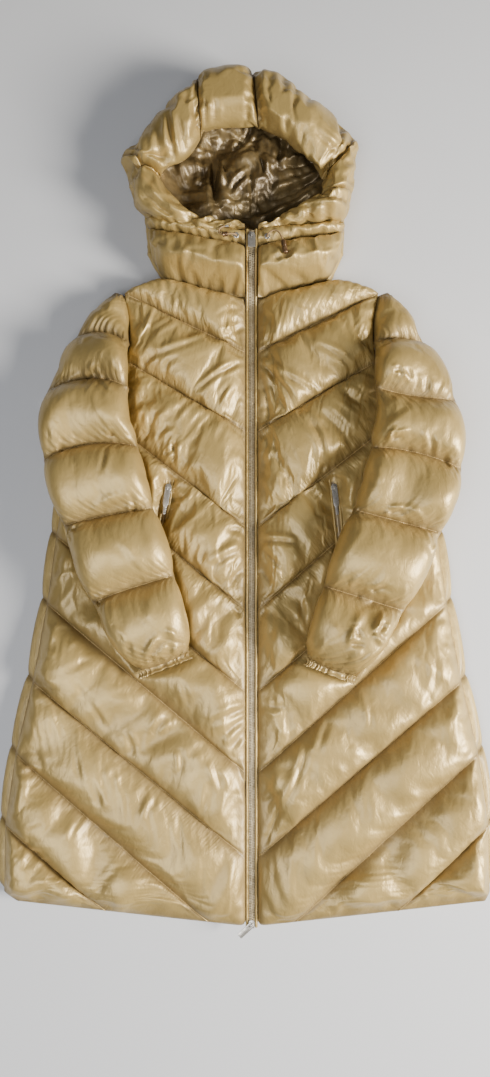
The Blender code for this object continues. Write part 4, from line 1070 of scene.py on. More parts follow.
def drawn_in(points, distance, width, depth):
    """Rings moved towards their own middles near an end, by the share depth at it and none a width away.
    A depth below 0 spreads them."""
    middle = points.mean(axis=1, keepdims=True)
    pull = depth * (1.0 - quarter_round(distance, width))
    return points + (middle - points) * pull[..., None]


def start_brim(name, sections, seed, draws, creases=()):
    """A roll. A crease at a section sinks the roll there, leaning by so many sections from its outer to
    its inner side, and is held down like a seam."""
    points, share, run, across, up = lofted(sections, BRIM_PROFILE, (0.085, 0.070))
    place = share * (len(sections) - 1)
    held = np.zeros(share.shape, bool)
    for section, lean, depth in creases:
        off = place - section - lean * (across - 0.5)
        points[..., 2] -= depth * np.exp(-((off / 0.13) ** 2)) * smoothstep(0.25, 0.8, up)
        held |= (np.abs(off) < 0.55 * np.abs(np.diff(place, axis=0)).mean()) & (across < 0.97)
    ends = (run, run[-1] - run)
    for way, depth in zip(ends, draws):
        points = drawn_in(points, way, 0.016, depth)
    points[..., 2] = np.maximum(points[..., 2], sections[:, 4].min())
    lumps = ripples(run, across * 0.09, 12, (0.020, 0.08), 0.0, seed)
    points[..., 2] += 0.0018 * lumps * smoothstep(0.3, 0.8, up)
    sewn = (up < 0.30) | held
    sewn[[0, -1]] = True
    way = np.minimum(*ends)
    # Painted shade: the roll is painted browner at its sewn ends.
    seam = np.dstack([0.9 * np.exp(-((way / 0.005) ** 2)), way])
    start_cloth(name, "roll", points, sewn, seam, around=True)


def band_sections(table, side):
    """A band's sections on one side, drawn in by its reach and mirrored."""
    made = table.copy()
    if side == "right":
        for k in (1, 3):
            made[:, k] += BAND_LIFT * smoothstep(0.05, 0.16, table[:, k - 1]) * (table[:, k] > 0.53)
    for k in (0, 2):
        x = table[:, k]
        made[:, k] = SIGN[side] * x * (1.0 - (1.0 - COLLAR_REACH[side]) * smoothstep(0.03, 0.14, x))
    return made


BANDS = {
    # sections, size across and up, height at the hem edge, height and lengths of the lumps, seed
    "collar": (COLLAR, (0.075, 0.045), 0.040, 0.0012, (0.02, 0.06), 50),
    "cord_channel": (CORD_CHANNEL, (0.022, 0.030), 0.070, 0.0010, (0.012, 0.034), 60),
}
SEAM_SPREAD = {"right": -0.09, "left": -0.03}  # the hood's rings at the gusset's seams, as drawn_in's depth


def start_band(kind, side):
    """A band: its height falls towards that of its hem edge on the last part of the way there."""
    table, ring_size, hem_low, lump, lengths, seed = BANDS[kind]
    points, share, run, across, up = lofted(band_sections(table, side), BAND_PROFILE, ring_size)
    at = share * (len(table) - 1)
    low, top = (np.interp(at, np.arange(len(table)), table[:, k]) for k in (4, 5))
    fall = (hem_low - top) * np.maximum(0.0, across - 0.55) / 0.45
    points[..., 2] = low + (top + fall - low) * np.clip(up, 0.0, None)
    points = drawn_in(points, run[-1] - run, 0.020, 0.35)
    lumps = ripples(run, across * 0.05, 12, lengths, 0.0, seed + SEEDS[side])
    points[..., 2] += lump * lumps * smoothstep(0.3, 0.9, up)
    sewn = (up < 0.35) | (run < 0.0005) | (run[-1] - run < 0.0005)
    edge = np.minimum(np.abs(across), np.abs(1.0 - across)) * 0.05
    # Painted shade: the band is painted browner along its sewn edges.
    seam = np.dstack([0.8 * np.exp(-((edge / 0.004) ** 2)), edge])
    start_cloth(kind + "_" + side, "band", points, sewn, seam, around=True)


for side in SIGN:
    spread = (SEAM_SPREAD[side], 0.0)
    start_brim("hood_side_" + side, HOOD_SIDE[side], 40 + SEEDS[side], spread, HOOD_CREASES[side])
    start_band("collar", side)
    start_band("cord_channel", side)
start_brim("hood_gusset", HOOD_GUSSET, 45, (SEAM_SPREAD["right"], SEAM_SPREAD["left"]))

# %% [markdown]
# ## Lining
# Inside the face opening lies a thin loose lining, pushed into a shallow bowl. It is larger than the
# bowl it lies in, so it crumples. Its grid is a square one, squeezed to the opening's outline, because
# rings that meet in a middle would crumple in rings.

# %% Lining
HOOD_FLOOR = 0.0246
LINING_RISE = 0.010
LINING_DOME = 0.006
LINING_LOW = 0.0100  # its lowest part over the hood's floor at the start
LINING_UNEVEN = 0.0026
LINING_CENTRE = np.array([-0.008, 0.655])
LINING_CELLS = (72, 90)
LINING_EDGE = (0.42, 0.58)  # the shares of the hood roll's outer and inner edges in the lining's outline


def lining_rim():
    """The outline under the hood's roll, and each point's angle round the middle."""
    loop = np.concatenate([HOOD_SIDE["right"][::-1], HOOD_GUSSET[1:-1], HOOD_SIDE["left"]])
    edge = loop[:, :2] * LINING_EDGE[0] + loop[:, 2:4] * LINING_EDGE[1]
    rim = smooth_through(edge, even_places(edge, 0.0044, closed=True), closed=True) - LINING_CENTRE
    return rim, np.arctan2(rim[:, 1], rim[:, 0])


def lining_share(x, y):
    """How far points lie from the middle, 1 on the outline."""
    rim, angles = lining_rim()
    reach = np.interp(np.arctan2(y, x), angles, np.hypot(*rim.T), period=2 * math.pi)
    return np.hypot(x, y) / reach


def lining_middle(grid):
    """1 over the opening, falling to 0 at the outline, where the lining is sewn."""
    x, y = grid[..., 0] - LINING_CENTRE[0], grid[..., 1] - WAIST - LINING_CENTRE[1]
    return 1.0 - smoothstep(0.82, 1.0, lining_share(x, y))


def lining_points():
    """A square grid in the opening: (a, b) goes to a disc as (a sqrt(1-b^2/2), b sqrt(1-a^2/2)), and
    the disc's edge to the outline. The middle is a low dome in a shallow bowl."""
    b, a = np.meshgrid(*(np.linspace(-1.0, 1.0, count) for count in LINING_CELLS), indexing="ij")
    u, v = a * np.sqrt(1.0 - b * b / 2), b * np.sqrt(1.0 - a * a / 2)
    rim, angles = lining_rim()
    share, angle = np.hypot(u, v), np.arctan2(v, u)
    reach = np.interp(angle, angles, np.hypot(*rim.T), period=2 * math.pi)
    x = LINING_CENTRE[0] + reach * share * np.cos(angle)
    y = LINING_CENTRE[1] + reach * share * np.sin(angle) + WAIST
    height = HOOD_FLOOR + LINING_LOW + LINING_RISE * smoothstep(0.50, 1.0, share)
    height = height + LINING_DOME * (1.0 - smoothstep(0.0, 0.7, share))
    uneven = ripples(x, y, 30, (0.012, 0.040), 0.8, 71) + 0.6 * ripples(y, x, 20, (0.010, 0.030), 0.2, 72)
    height = height + LINING_UNEVEN * uneven * (1.0 - smoothstep(0.9, 1.0, share))
    return np.stack([x, y, height], -1)


def start_lining():
    """The lining as cloth, sewn down all round."""
    points = lining_points()
    sewn = np.ones(points.shape[:2], bool)
    sewn[1:-1, 1:-1] = False
    start_cloth("lining", "lining", points, sewn, np.zeros(sewn.shape))


start_lining()

# %% Blow all of it up
blown = run_cloth()
print("blown up:", {name: grid.shape[:2] for name, grid in blown.items()})

# %% [markdown]
# ## Folds
# A blown-up cloth wrinkles by itself, but a real coat also keeps the folds of how it was laid down: long
# creases that run out from the zip, drape lines round the hood, and tight little knots where a seam is
# bunched. A fold is a ridge or a valley along a short curve, so it is written as three points in plan, a
# width and a height. Pleats are many ridges side by side and square to a seam, so they are a sum of
# waves along it that dies away from it.

# %% Ridges, valleys and pleats
def fold_line(fold):
    """Thirteen points on the parabola through a fold's three points."""
    t = np.linspace(0.0, 1.0, 13)[:, None]
    a, b, c = fold[:6].reshape(3, 2)
    return a * (2 * t - 1) * (t - 1) + b * 4 * t * (1 - t) + c * t * (2 * t - 1)


def fold_height(x, y, fold):
    """A fold's height at points near it: sin(pi t)^0.6 along it, and across it e^-(d/w)^2 for a ridge, or
    for a valley e^-(d/w) less 0.45 e^-((d/w-2.2)^2), which gives it raised shoulders."""
    line, wide, high = fold_line(fold), fold[6], fold[7]
    start, step = line[:-1], np.diff(line, axis=0)
    dx, dy = x[:, None] - start[:, 0], y[:, None] - start[:, 1]
    t = np.clip((dx * step[:, 0] + dy * step[:, 1]) / (step**2).sum(axis=1), 0.0, 1.0)
    away = np.hypot(dx - t * step[:, 0], dy - t * step[:, 1])
    nearest = away.argmin(axis=1)
    pick = np.arange(len(x)), nearest
    far = away[pick] / wide
    run = np.clip((nearest + t[pick]) / 12.0, 0.0, 1.0)
    across = np.exp(-far * far) if high > 0 else np.exp(-far) - 0.45 * np.exp(-((far - 2.2) ** 2))
    return high * np.sin(math.pi * run) ** 0.6 * across


def folded(grid, folds, mask=1.0):
    """A grid with folds added to its heights, times a mask."""
    x, y = grid[..., 0].ravel(), grid[..., 1].ravel()
    rise = np.zeros(x.size)
    for fold in np.asarray(folds, float) * np.array([1e-3] * 6 + [1e-4] * 2):
        line = fold_line(fold)
        low, high = line.min(axis=0) - 4.0 * fold[6], line.max(axis=0) + 4.0 * fold[6]
        near = np.flatnonzero((x > low[0]) & (x < high[0]) & (y > low[1]) & (y < high[1]))
        if near.size:
            rise[near] += fold_height(x[near], y[near], fold)
    out = grid.copy()
    out[..., 2] += rise.reshape(grid.shape[:2]) * mask
    return out


def knots(places, seed):
    """Five short crossing ridges and valleys at each knot of (x, y, radius), in a fold's units."""
    draw = np.random.default_rng(seed)
    made = []
    for x, y, radius in places:
        for turn in range(5):
            angle = math.pi * (turn + draw.uniform(-0.3, 0.3)) / 5
            reach = radius * draw.uniform(0.6, 1.1)
            dx, dy = reach * math.cos(angle), reach * math.sin(angle)
            sx, sy = draw.uniform(-0.4, 0.4, 2) * radius
            cx, cy = x + sx, y + sy
            high = draw.uniform(22, 36) * (1 if turn % 2 else -1)
            made.append((cx - dx, cy - dy, cx - dy * 0.3, cy + dx * 0.3, cx + dx, cy + dy, 28, high))
    return np.array(made)


def pleats(run, cross, lengths, seed):
    """Ridges along a run, from about -1 to 1: a sum of waves with its crests made rounder and fuller."""
    wave = ripples(run, cross, 18, lengths, 0.0, seed)
    return np.sign(wave) * np.abs(wave) ** 0.8


def beside(away, reach):
    """The share of a pleat's height at a distance from its seam: none on it, most close by, then less."""
    return (1.0 - np.exp(-away / 0.0022)) * np.exp(-away / reach)


def calmed(grid, share, passes, around, kept=None):
    """A grid eased towards its own average, by a share of the way at each point."""
    soft = grid.copy()
    for _ in range(passes):
        soft = (np.roll(soft, 1, axis=1) + 2 * soft + np.roll(soft, -1, axis=1)) / 4
        if not around:
            soft[:, [0, -1]] = grid[:, [0, -1]]
        soft[1:-1] = (soft[:-2] + 2 * soft[1:-1] + soft[2:]) / 4
        soft[[0, -1]] = grid[[0, -1]]
        if kept is not None:
            soft[kept] = grid[kept]
    return grid + (soft - grid) * share


def halved(rows):
    """Row numbers of a grid that was split once."""
    return np.interp(np.arange(2 * len(rows) - 1) / 2.0, np.arange(len(rows)), rows)


def ring_places(start, shape):
    """Metres round a ring and metres along the rings for a fine grid, from the grid it started from."""
    sides = np.linalg.norm(np.diff(start, axis=1, append=start[:, :1]), axis=2).sum(axis=1)
    run = lengths_along(start.mean(axis=1))
    at = np.linspace(0.0, len(sides) - 1.0, shape[0])
    u = np.interp(at, np.arange(len(sides)), sides)[:, None] * np.linspace(0.0, 1.0, shape[1], endpoint=False)
    v = np.interp(at, np.arange(len(run)), run)[:, None] + 0.0 * u
    return np.stack([u, v], -1)


def quilt_map(places, gather):
    """What the shell's material reads at each point: metres along and across, and the gathers' share."""
    gather = np.broadcast_to(gather, places.shape[:2])
    return np.dstack([places, gather])


# %% [markdown]
# ## Where the folds lie
# Each fold was pointed at where it shows to the camera: in a window of its view that is enlarged,
# so many pixels across and down, at its start, its middle and its end. The camera says where on the coat
# that is. A fold's width and height go with it in millimetres, and a height below 0 is a valley's.

# %% Folds of the coat
# A fold is pointed at where it shows: in a window of the camera's view that is enlarged so many times.
VIEW_MIDDLE = (245.0, 538.5)  # pixels
VIEW_FOCAL = 778.0  # the lens's focal length in the view's pixels
WINDOWS = {
    # left, top, times enlarged
    "upper_right": (0, 300, 4.9),
    "upper_left": (230, 300, 4.9),
    "lower_right": (0, 600, 4.9),
    "lower_left": (230, 600, 4.9),
    "cuff_right": (95, 590, 10.814),
    "cuff_left": (280, 590, 13.067),
    "hood": (60, 60, 4.6118),
    "lining": (180, 115, 10.4533),
}
FOLDS_SEEN = [
    # piece, window, level of the cloth there, how many times wider and how many times higher than it
    # looks a fold is made, and a row for each: start, middle and end in the window, width and height in mm
    ("front_right", "upper_right", 0.048, 1.05, 1, [
        (875, 0, 868, 35, 850, 65, 3, -2.5), (1060, 160, 1120, 125, 1195, 100, 4, 2),
        (1075, 190, 1135, 150, 1198, 115, 3, -2), (1195, 30, 1120, 45, 1060, 90, 3, -1.5),
        (1130, 80, 1160, 70, 1200, 70, 3.5, 1.8), (680, 165, 725, 112, 775, 68, 6, 2.6),
        (745, 175, 800, 122, 870, 82, 3.5, -2.6), (750, 250, 870, 215, 1005, 162, 5, 3.6),
        (755, 278, 870, 245, 1000, 190, 3.5, -3.2), (695, 335, 722, 300, 765, 275, 3.5, -3.5),
        (715, 345, 745, 310, 790, 285, 4, 2.2), (790, 352, 830, 312, 875, 288, 3.5, -2.6),
        (955, 455, 1080, 362, 1205, 290, 3.2, -4.4), (980, 420, 1060, 350, 1150, 305, 4, 2.6),
        (1070, 530, 1092, 462, 1150, 402, 3.2, -3), (1095, 500, 1122, 440, 1190, 372, 4.5, 3),
        (1132, 585, 1165, 480, 1205, 400, 3.2, -2.8), (880, 300, 960, 270, 1040, 240, 6, 1.6),
        (650, 460, 645, 540, 660, 610, 4, -3.2), (620, 455, 655, 425, 700, 410, 4, 2),
        (680, 565, 745, 490, 835, 440, 4.5, 2.6), (700, 540, 740, 500, 790, 455, 3.2, -2.2),
        (700, 690, 742, 620, 768, 548, 5.5, -6.5), (732, 640, 800, 565, 868, 498, 6, 5),
        (760, 600, 800, 590, 850, 560, 3.2, -2.2), (780, 700, 822, 655, 862, 640, 4.5, 4.2),
        (800, 745, 842, 735, 868, 665, 3.2, -4.2), (850, 790, 853, 735, 835, 700, 3.2, -4.5),
        (845, 610, 895, 525, 945, 478, 3.5, -3.4), (865, 600, 915, 545, 955, 490, 4, 2.4),
        (968, 745, 985, 680, 1008, 598, 5.5, 2.6), (1125, 590, 1135, 620, 1150, 650, 3.2, -2.2),
        (1165, 590, 1175, 625, 1192, 668, 3.2, -2.2), (930, 600, 955, 570, 985, 520, 4, 1.8),
        (1050, 690, 1060, 640, 1090, 590, 4, 1.8), (1025, 1290, 1095, 1228, 1202, 1188, 4.5, 3.8),
        (1040, 1315, 1112, 1262, 1200, 1222, 3.5, -3.2), (1108, 1135, 1155, 1130, 1202, 1155, 3.4, -3),
        (1115, 1108, 1160, 1098, 1203, 1115, 4, 2.6), (1128, 1380, 1152, 1312, 1202, 1262, 4, 2.8),
        (1118, 1425, 1150, 1362, 1190, 1320, 3.2, -2.6), (1160, 1440, 1180, 1390, 1204, 1350, 3.4, 2.2),
        (835, 920, 845, 975, 872, 1012, 4, -2.4), (990, 1290, 1000, 1250, 1030, 1210, 4, -2.2),
        (765, 865, 772, 892, 782, 925, 3.2, -2.6), (740, 905, 760, 880, 790, 862, 4, 2.6),
        (1130, 1490, 1160, 1520, 1175, 1560, 3.2, -2.4), (255, 1390, 305, 1345, 390, 1330, 4, 2.2),
        (245, 1380, 280, 1300, 290, 1240, 4, -2.2),
    ]),
    ("front_right", "lower_right", 0.048, 1.25, 0.8, [
        (1008, 582, 1110, 522, 1216, 520, 4.5, 3.4), (1030, 610, 1120, 560, 1216, 545, 3, -3),
        (1060, 642, 1135, 592, 1216, 562, 4.2, 3.2), (1085, 675, 1150, 625, 1216, 588, 3, -2.8),
        (1100, 705, 1162, 645, 1216, 600, 4.2, 3.2), (1120, 735, 1175, 690, 1216, 640, 3, -2.8),
        (1138, 765, 1185, 712, 1218, 665, 4, 3), (1030, 530, 1120, 470, 1200, 455, 6, 2.6),
        (895, 390, 908, 455, 926, 520, 3.2, -2.6), (880, 400, 892, 455, 905, 510, 4, 1.6),
        (1170, 60, 1195, 180, 1205, 360, 6, 2), (1155, 40, 1175, 120, 1165, 220, 3.4, -2),
        (440, 505, 482, 562, 502, 625, 3.2, -2.8), (455, 500, 500, 560, 520, 620, 4.5, 1.8),
        (375, 398, 402, 442, 418, 478, 3.2, -2), (605, 640, 640, 702, 645, 770, 3.4, -3),
        (625, 640, 660, 700, 668, 760, 4.5, 1.6), (728, 655, 752, 592, 795, 545, 5, 3.2),
        (772, 662, 812, 622, 862, 588, 4.5, 3.2), (745, 665, 785, 610, 820, 580, 3, -2.4),
        (700, 740, 715, 690, 735, 640, 4.5, 2.4), (882, 725, 892, 790, 884, 858, 3.2, -3.2),
        (865, 740, 872, 800, 866, 850, 4, 2.2), (928, 795, 962, 768, 995, 748, 5.5, 2.8),
        (1018, 785, 1042, 862, 1065, 935, 4.5, 3), (1040, 790, 1062, 850, 1085, 930, 3, -2.6),
        (1090, 830, 1112, 882, 1132, 945, 4, 2.6), (1148, 795, 1195, 915, 1222, 1010, 3.4, -4.2),
        (1170, 780, 1205, 860, 1222, 930, 4, 2.4), (195, 330, 240, 390, 315, 378, 4.5, 3),
        (160, 365, 228, 425, 300, 440, 3.4, -3.6), (235, 130, 255, 180, 235, 235, 4, 2.4),
        (325, 240, 370, 202, 405, 175, 4, 2.4), (300, 372, 395, 312, 452, 300, 3.4, -3),
        (215, 235, 245, 262, 275, 262, 3.5, 3.6), (170, 250, 180, 310, 205, 350, 3.4, -2.6),
        (250, 150, 300, 122, 350, 130, 4, 2), (560, 470, 600, 455, 650, 452, 4, -1.6),
        (480, 440, 520, 420, 560, 380, 6, 1.8), (400, 688, 408, 782, 432, 885, 5, 3),
        (385, 770, 392, 830, 410, 900, 3.2, -2.2), (452, 868, 482, 955, 502, 1025, 3.6, -3.6),
        (468, 860, 505, 950, 530, 1010, 5, 2.4), (168, 738, 188, 782, 212, 825, 3.6, -3),
        (505, 870, 530, 840, 560, 805, 4, 2.2), (565, 885, 598, 852, 628, 825, 4, 2.2),
        (650, 985, 665, 940, 705, 908, 4.5, 3), (690, 1065, 718, 1005, 745, 958, 4.5, 3),
        (738, 1055, 768, 1005, 800, 960, 4, 2.4), (670, 1040, 692, 990, 722, 945, 3, -2.4),
        (715, 1070, 745, 1020, 772, 970, 3, -2.2), (330, 1175, 342, 1122, 375, 1080, 4.5, 2.8),
        (370, 1145, 400, 1102, 438, 1068, 4, 2.6), (352, 1165, 372, 1115, 405, 1080, 3, -2),
        (135, 1140, 178, 1112, 225, 1098, 3.4, -2.8), (775, 1305, 848, 1368, 885, 1445, 4.5, 2.8),
        (858, 1395, 900, 1462, 965, 1505, 4, 2.6), (795, 1330, 860, 1400, 890, 1470, 3, -2.2),
        (100, 850, 130, 820, 190, 820, 4, 2.2), (100, 770, 140, 800, 190, 845, 4, 2.4),
        (60, 860, 110, 860, 170, 838, 3.2, -2), (90, 1295, 135, 1225, 185, 1188, 4, 2.4),
        (155, 1325, 198, 1282, 255, 1240, 4, 2.4), (120, 1320, 165, 1255, 220, 1215, 3, -2),
        (85, 1215, 115, 1190, 140, 1175, 4, 2), (200, 1380, 240, 1350, 275, 1310, 4, 2),
        (285, 1440, 335, 1452, 385, 1420, 5, 2.6), (480, 1440, 500, 1410, 520, 1400, 3.4, -2.4),
        (640, 1250, 700, 1290, 760, 1350, 8, 1.6), (130, 470, 180, 490, 250, 470, 4, 2.6),
        (140, 440, 200, 450, 260, 455, 3.2, -2.2),
    ]),
    ("front_left", "upper_left", 0.048, 1.05, 1, [
        (368, 58, 384, 100, 402, 142, 3.2, -2.8), (352, 40, 372, 90, 385, 130, 4, 2),
        (188, 188, 198, 212, 208, 235, 3.2, -2), (410, 92, 450, 70, 500, 60, 4, 1.8),
        (340, 10, 365, 40, 380, 70, 3.2, -2), (520, 65, 505, 85, 480, 95, 3, -2),
        (145, 292, 238, 392, 322, 535, 3.6, -4.2), (160, 290, 262, 390, 345, 520, 5, 3),
        (145, 330, 182, 482, 200, 600, 3.6, -3.8), (155, 345, 205, 480, 225, 560, 4.5, 2.6),
        (425, 225, 520, 275, 605, 355, 4, -3.2), (410, 200, 480, 235, 560, 262, 5, 3.4),
        (455, 225, 540, 270, 615, 335, 4.5, 3), (200, 320, 330, 382, 470, 468, 4.5, 3.4),
        (195, 345, 310, 405, 440, 470, 3.2, -2.8), (560, 100, 620, 215, 650, 300, 5, 2.2),
        (590, 110, 640, 205, 655, 260, 3.2, -2.2), (300, 400, 340, 470, 380, 520, 4.5, 2.4),
        (380, 380, 420, 440, 460, 465, 5, 2.6), (150, 600, 170, 610, 190, 612, 4, 2),
        (378, 560, 438, 690, 458, 800, 3.6, -4.8), (398, 545, 455, 670, 480, 790, 5, 3),
        (458, 800, 455, 825, 445, 850, 3.4, -4), (340, 560, 380, 650, 420, 740, 5, 1.8),
        (500, 480, 560, 520, 640, 580, 4, 2), (540, 440, 600, 480, 655, 520, 3.4, -1.8),
        (480, 520, 530, 560, 590, 620, 4, 1.8), (560, 420, 610, 440, 650, 480, 4, 2),
        (430, 540, 500, 600, 560, 660, 3.4, -1.6), (168, 640, 182, 700, 150, 765, 3.4, -2.6),
        (190, 650, 200, 720, 170, 790, 4.5, 2), (230, 880, 250, 850, 280, 830, 6, 2),
        (150, 930, 170, 950, 200, 1000, 4, 1.6), (135, 1160, 232, 1155, 332, 1178, 4.5, 3.8),
        (140, 1182, 235, 1182, 320, 1195, 3.2, -3.2), (140, 1205, 222, 1290, 262, 1375, 3.6, -4),
        (200, 1290, 240, 1330, 290, 1392, 4.5, 3.2), (150, 1262, 198, 1330, 240, 1405, 4, 2.6),
        (145, 1290, 180, 1360, 200, 1420, 3.2, -2.4), (140, 1150, 170, 1130, 200, 1110, 4, 2.4),
        (290, 1200, 330, 1240, 320, 1290, 5, 2.2), (440, 880, 460, 920, 500, 930, 3.6, -2.6),
        (550, 940, 545, 900, 560, 870, 3.2, -2.2), (580, 945, 580, 900, 600, 860, 3.2, -2.2),
        (560, 940, 565, 905, 580, 865, 4, 2.2), (15, 1370, 20, 1430, 40, 1480, 3.4, -2.4),
        (400, 930, 450, 1010, 480, 1080, 8, 1.6), (160, 1480, 170, 1520, 150, 1560, 3.4, -2),
        (300, 1480, 320, 1530, 330, 1560, 6, 2.6), (340, 1470, 355, 1520, 350, 1560, 3.4, -2.6),
    ]),
    ("front_left", "lower_left", 0.048, 1.25, 0.8, [
        (160, 505, 200, 530, 272, 520, 3.4, -3.2), (165, 535, 215, 560, 270, 535, 4, 2.4),
        (160, 820, 185, 780, 205, 740, 4, 2.6), (190, 800, 215, 770, 225, 745, 3, -2),
        (165, 760, 180, 720, 185, 690, 4, 2.2), (370, 700, 338, 850, 252, 1028, 3.6, -4.4),
        (252, 1028, 215, 1110, 168, 1235, 3.4, -3.4), (355, 710, 318, 830, 245, 990, 5, 3.2),
        (385, 710, 352, 850, 275, 1010, 4.5, 2), (168, 1000, 198, 935, 232, 880, 4.5, 3),
        (170, 1060, 205, 990, 245, 920, 3.2, -2.6), (185, 960, 200, 900, 210, 840, 3.4, -2.4),
        (490, 592, 448, 680, 430, 745, 3.4, -2.8), (470, 600, 425, 680, 408, 740, 4.5, 2),
        (655, 508, 668, 562, 664, 620, 4, 2.6), (670, 520, 685, 570, 682, 620, 3, -2),
        (978, 255, 1006, 340, 988, 450, 3.4, -3), (955, 260, 985, 340, 965, 440, 5, 2.2),
        (1000, 430, 975, 490, 955, 530, 3.2, -2.2), (585, 715, 612, 742, 640, 765, 4.5, 2.4),
        (640, 695, 668, 722, 700, 735, 4.5, 2.4), (520, 800, 545, 830, 570, 850, 4, 1.8),
        (320, 960, 345, 970, 385, 960, 3.4, -2), (330, 1105, 360, 1080, 400, 1040, 3.4, -1.6),
        (700, 990, 702, 1040, 698, 1090, 4, 1.8), (790, 1160, 742, 1225, 690, 1270, 4, -3.4),
        (800, 1180, 760, 1240, 710, 1290, 5, 2), (660, 1290, 560, 1400, 470, 1480, 7, -2.6),
        (865, 925, 895, 950, 930, 965, 4, 1.8), (760, 1020, 790, 1045, 820, 1060, 5, 1.8),
        (160, 1400, 220, 1340, 290, 1300, 5, -1.8), (1090, 600, 1120, 560, 1180, 570, 4, 2.4),
        (1100, 540, 1140, 575, 1200, 560, 3.2, -2), (1050, 230, 1085, 240, 1110, 270, 4.5, 3),
        (1000, 130, 1060, 120, 1120, 150, 4, 2.4), (1040, 170, 1090, 170, 1130, 190, 3.2, -2.2),
        (900, 260, 905, 300, 900, 330, 3.4, -2.4), (640, 1160, 690, 1120, 740, 1080, 8, 1.4),
        (500, 1500, 530, 1525, 520, 1560, 4, 2.4), (470, 1530, 500, 1540, 530, 1530, 3, -2),
        (880, 1410, 900, 1450, 890, 1480, 3.4, -2.6), (950, 1430, 960, 1460, 975, 1480, 3.4, 2.6),
        (1130, 1400, 1150, 1430, 1170, 1440, 3.4, 2.2), (780, 1490, 800, 1510, 790, 1540, 3.4, -2.2),
        (1150, 820, 1180, 790, 1220, 760, 4, 2.4), (1150, 790, 1185, 760, 1220, 740, 3.2, -2),
        (1180, 1200, 1160, 1180, 1190, 1160, 3.2, -2), (280, 480, 310, 560, 330, 640, 6, 2.2),
        (240, 640, 290, 650, 340, 620, 5, 2), (260, 760, 285, 745, 330, 700, 5, -1.8),
        (120, 20, 150, 80, 155, 160, 4, -1.6), (200, 60, 210, 130, 190, 200, 4, -2.2),
        (275, 40, 290, 110, 270, 190, 5, 2.2),
    ]),
    ("sleeve_right", "upper_right", 0.095, 1, 1, [
        (212, 472, 248, 402, 292, 355, 4, 2.6), (240, 450, 270, 400, 300, 370, 3, -2.2),
        (292, 405, 322, 362, 378, 335, 4, 2.2), (392, 378, 420, 335, 478, 300, 4.5, 2.8),
        (410, 385, 440, 350, 490, 330, 3, -2.6), (490, 330, 510, 370, 500, 400, 3.4, -2.6),
        (445, 395, 465, 490, 545, 630, 8, 2.2), (262, 765, 262, 700, 278, 632, 4, 2.4),
        (332, 728, 346, 700, 362, 668, 3.4, 2.8), (290, 740, 310, 700, 318, 680, 3, -2),
        (225, 810, 235, 770, 260, 735, 4, 2.2), (400, 715, 420, 680, 430, 650, 3.4, -1.8),
        (480, 700, 500, 670, 540, 660, 4, 2.2), (600, 690, 640, 680, 670, 700, 4, 2.4),
        (585, 710, 625, 700, 660, 720, 3, -2.2), (440, 1065, 530, 985, 645, 962, 6, 4),
        (470, 1075, 540, 1020, 640, 990, 3.2, -2.4), (640, 965, 655, 1010, 640, 1055, 3.4, -3.4),
        (685, 1030, 718, 995, 755, 980, 3.6, 2.8), (665, 1035, 700, 1005, 740, 1000, 3, -2.4),
        (530, 722, 522, 792, 498, 860, 3.6, -2.6), (548, 722, 542, 790, 520, 850, 4.5, 1.8),
        (685, 800, 700, 850, 722, 900, 4, -1.6), (340, 1115, 370, 1095, 420, 1080, 4, 2.8),
        (350, 1130, 380, 1115, 430, 1098, 3, -2), (330, 1135, 345, 1155, 350, 1190, 3.4, -3),
        (570, 1170, 652, 1232, 722, 1352, 7, 2.4), (452, 1492, 492, 1455, 540, 1420, 4, 2.8),
        (512, 1482, 560, 1442, 625, 1402, 4, 2.4), (470, 1500, 520, 1460, 560, 1440, 3, -2.2),
        (700, 1410, 690, 1380, 700, 1350, 3.2, -2), (350, 1280, 380, 1340, 420, 1400, 5, 1.4),
        (840, 1350, 810, 1340, 780, 1330, 3.2, -1.8), (390, 190, 420, 170, 460, 160, 4, 2.4),
        (470, 150, 500, 170, 560, 175, 3.4, -3), (560, 175, 585, 195, 600, 215, 3.4, -3.2),
        (560, 60, 590, 100, 600, 150, 4, 1.8), (390, 200, 380, 170, 400, 140, 3.4, -2),
        (500, 380, 530, 430, 575, 465, 4, 2.4), (490, 400, 525, 440, 560, 455, 3, -2.4),
        (430, 1470, 445, 1440, 440, 1400, 4, 2), (720, 1440, 740, 1500, 740, 1560, 8, 1.8),
    ]),
    ("sleeve_right", "lower_right", 0.08, 1, 1, [
        (575, 140, 620, 160, 640, 230, 5, 1.6), (745, 270, 770, 200, 800, 155, 5, 3.2),
        (800, 150, 850, 150, 870, 190, 5, 2.6), (770, 255, 800, 215, 835, 180, 3.2, -2.2),
        (845, 190, 860, 230, 840, 270, 4, 2.8),
    ]),
    ("sleeve_right", "cuff_right", 0.078, 1, 1.5, [
        (555, 745, 610, 640, 690, 500, 6, 3), (590, 760, 650, 650, 720, 540, 3.4, -3.2),
        (800, 420, 870, 470, 900, 560, 6, 2.6), (850, 700, 890, 640, 930, 570, 5, 3.2),
        (880, 740, 930, 660, 980, 590, 3.4, -3.2), (780, 560, 760, 640, 700, 690, 5, 2.2),
        (640, 860, 640, 790, 660, 700, 3.6, -4), (700, 840, 700, 780, 715, 700, 3.6, -3.6),
        (440, 760, 420, 640, 440, 560, 4, -2.2), (370, 720, 380, 620, 400, 540, 4, -2),
        (480, 880, 460, 840, 440, 760, 3.6, -3), (960, 720, 1000, 660, 1040, 640, 3.6, -2.6),
        (920, 740, 950, 690, 1000, 650, 4, 2.4), (200, 500, 210, 560, 260, 620, 4, -1.8),
        (620, 720, 680, 700, 780, 720, 5, 2.2),
    ]),
    ("sleeve_left", "upper_left", 0.095, 1, 1, [
        (700, 225, 745, 195, 805, 172, 4, 3), (720, 215, 760, 200, 810, 190, 3, -2.2),
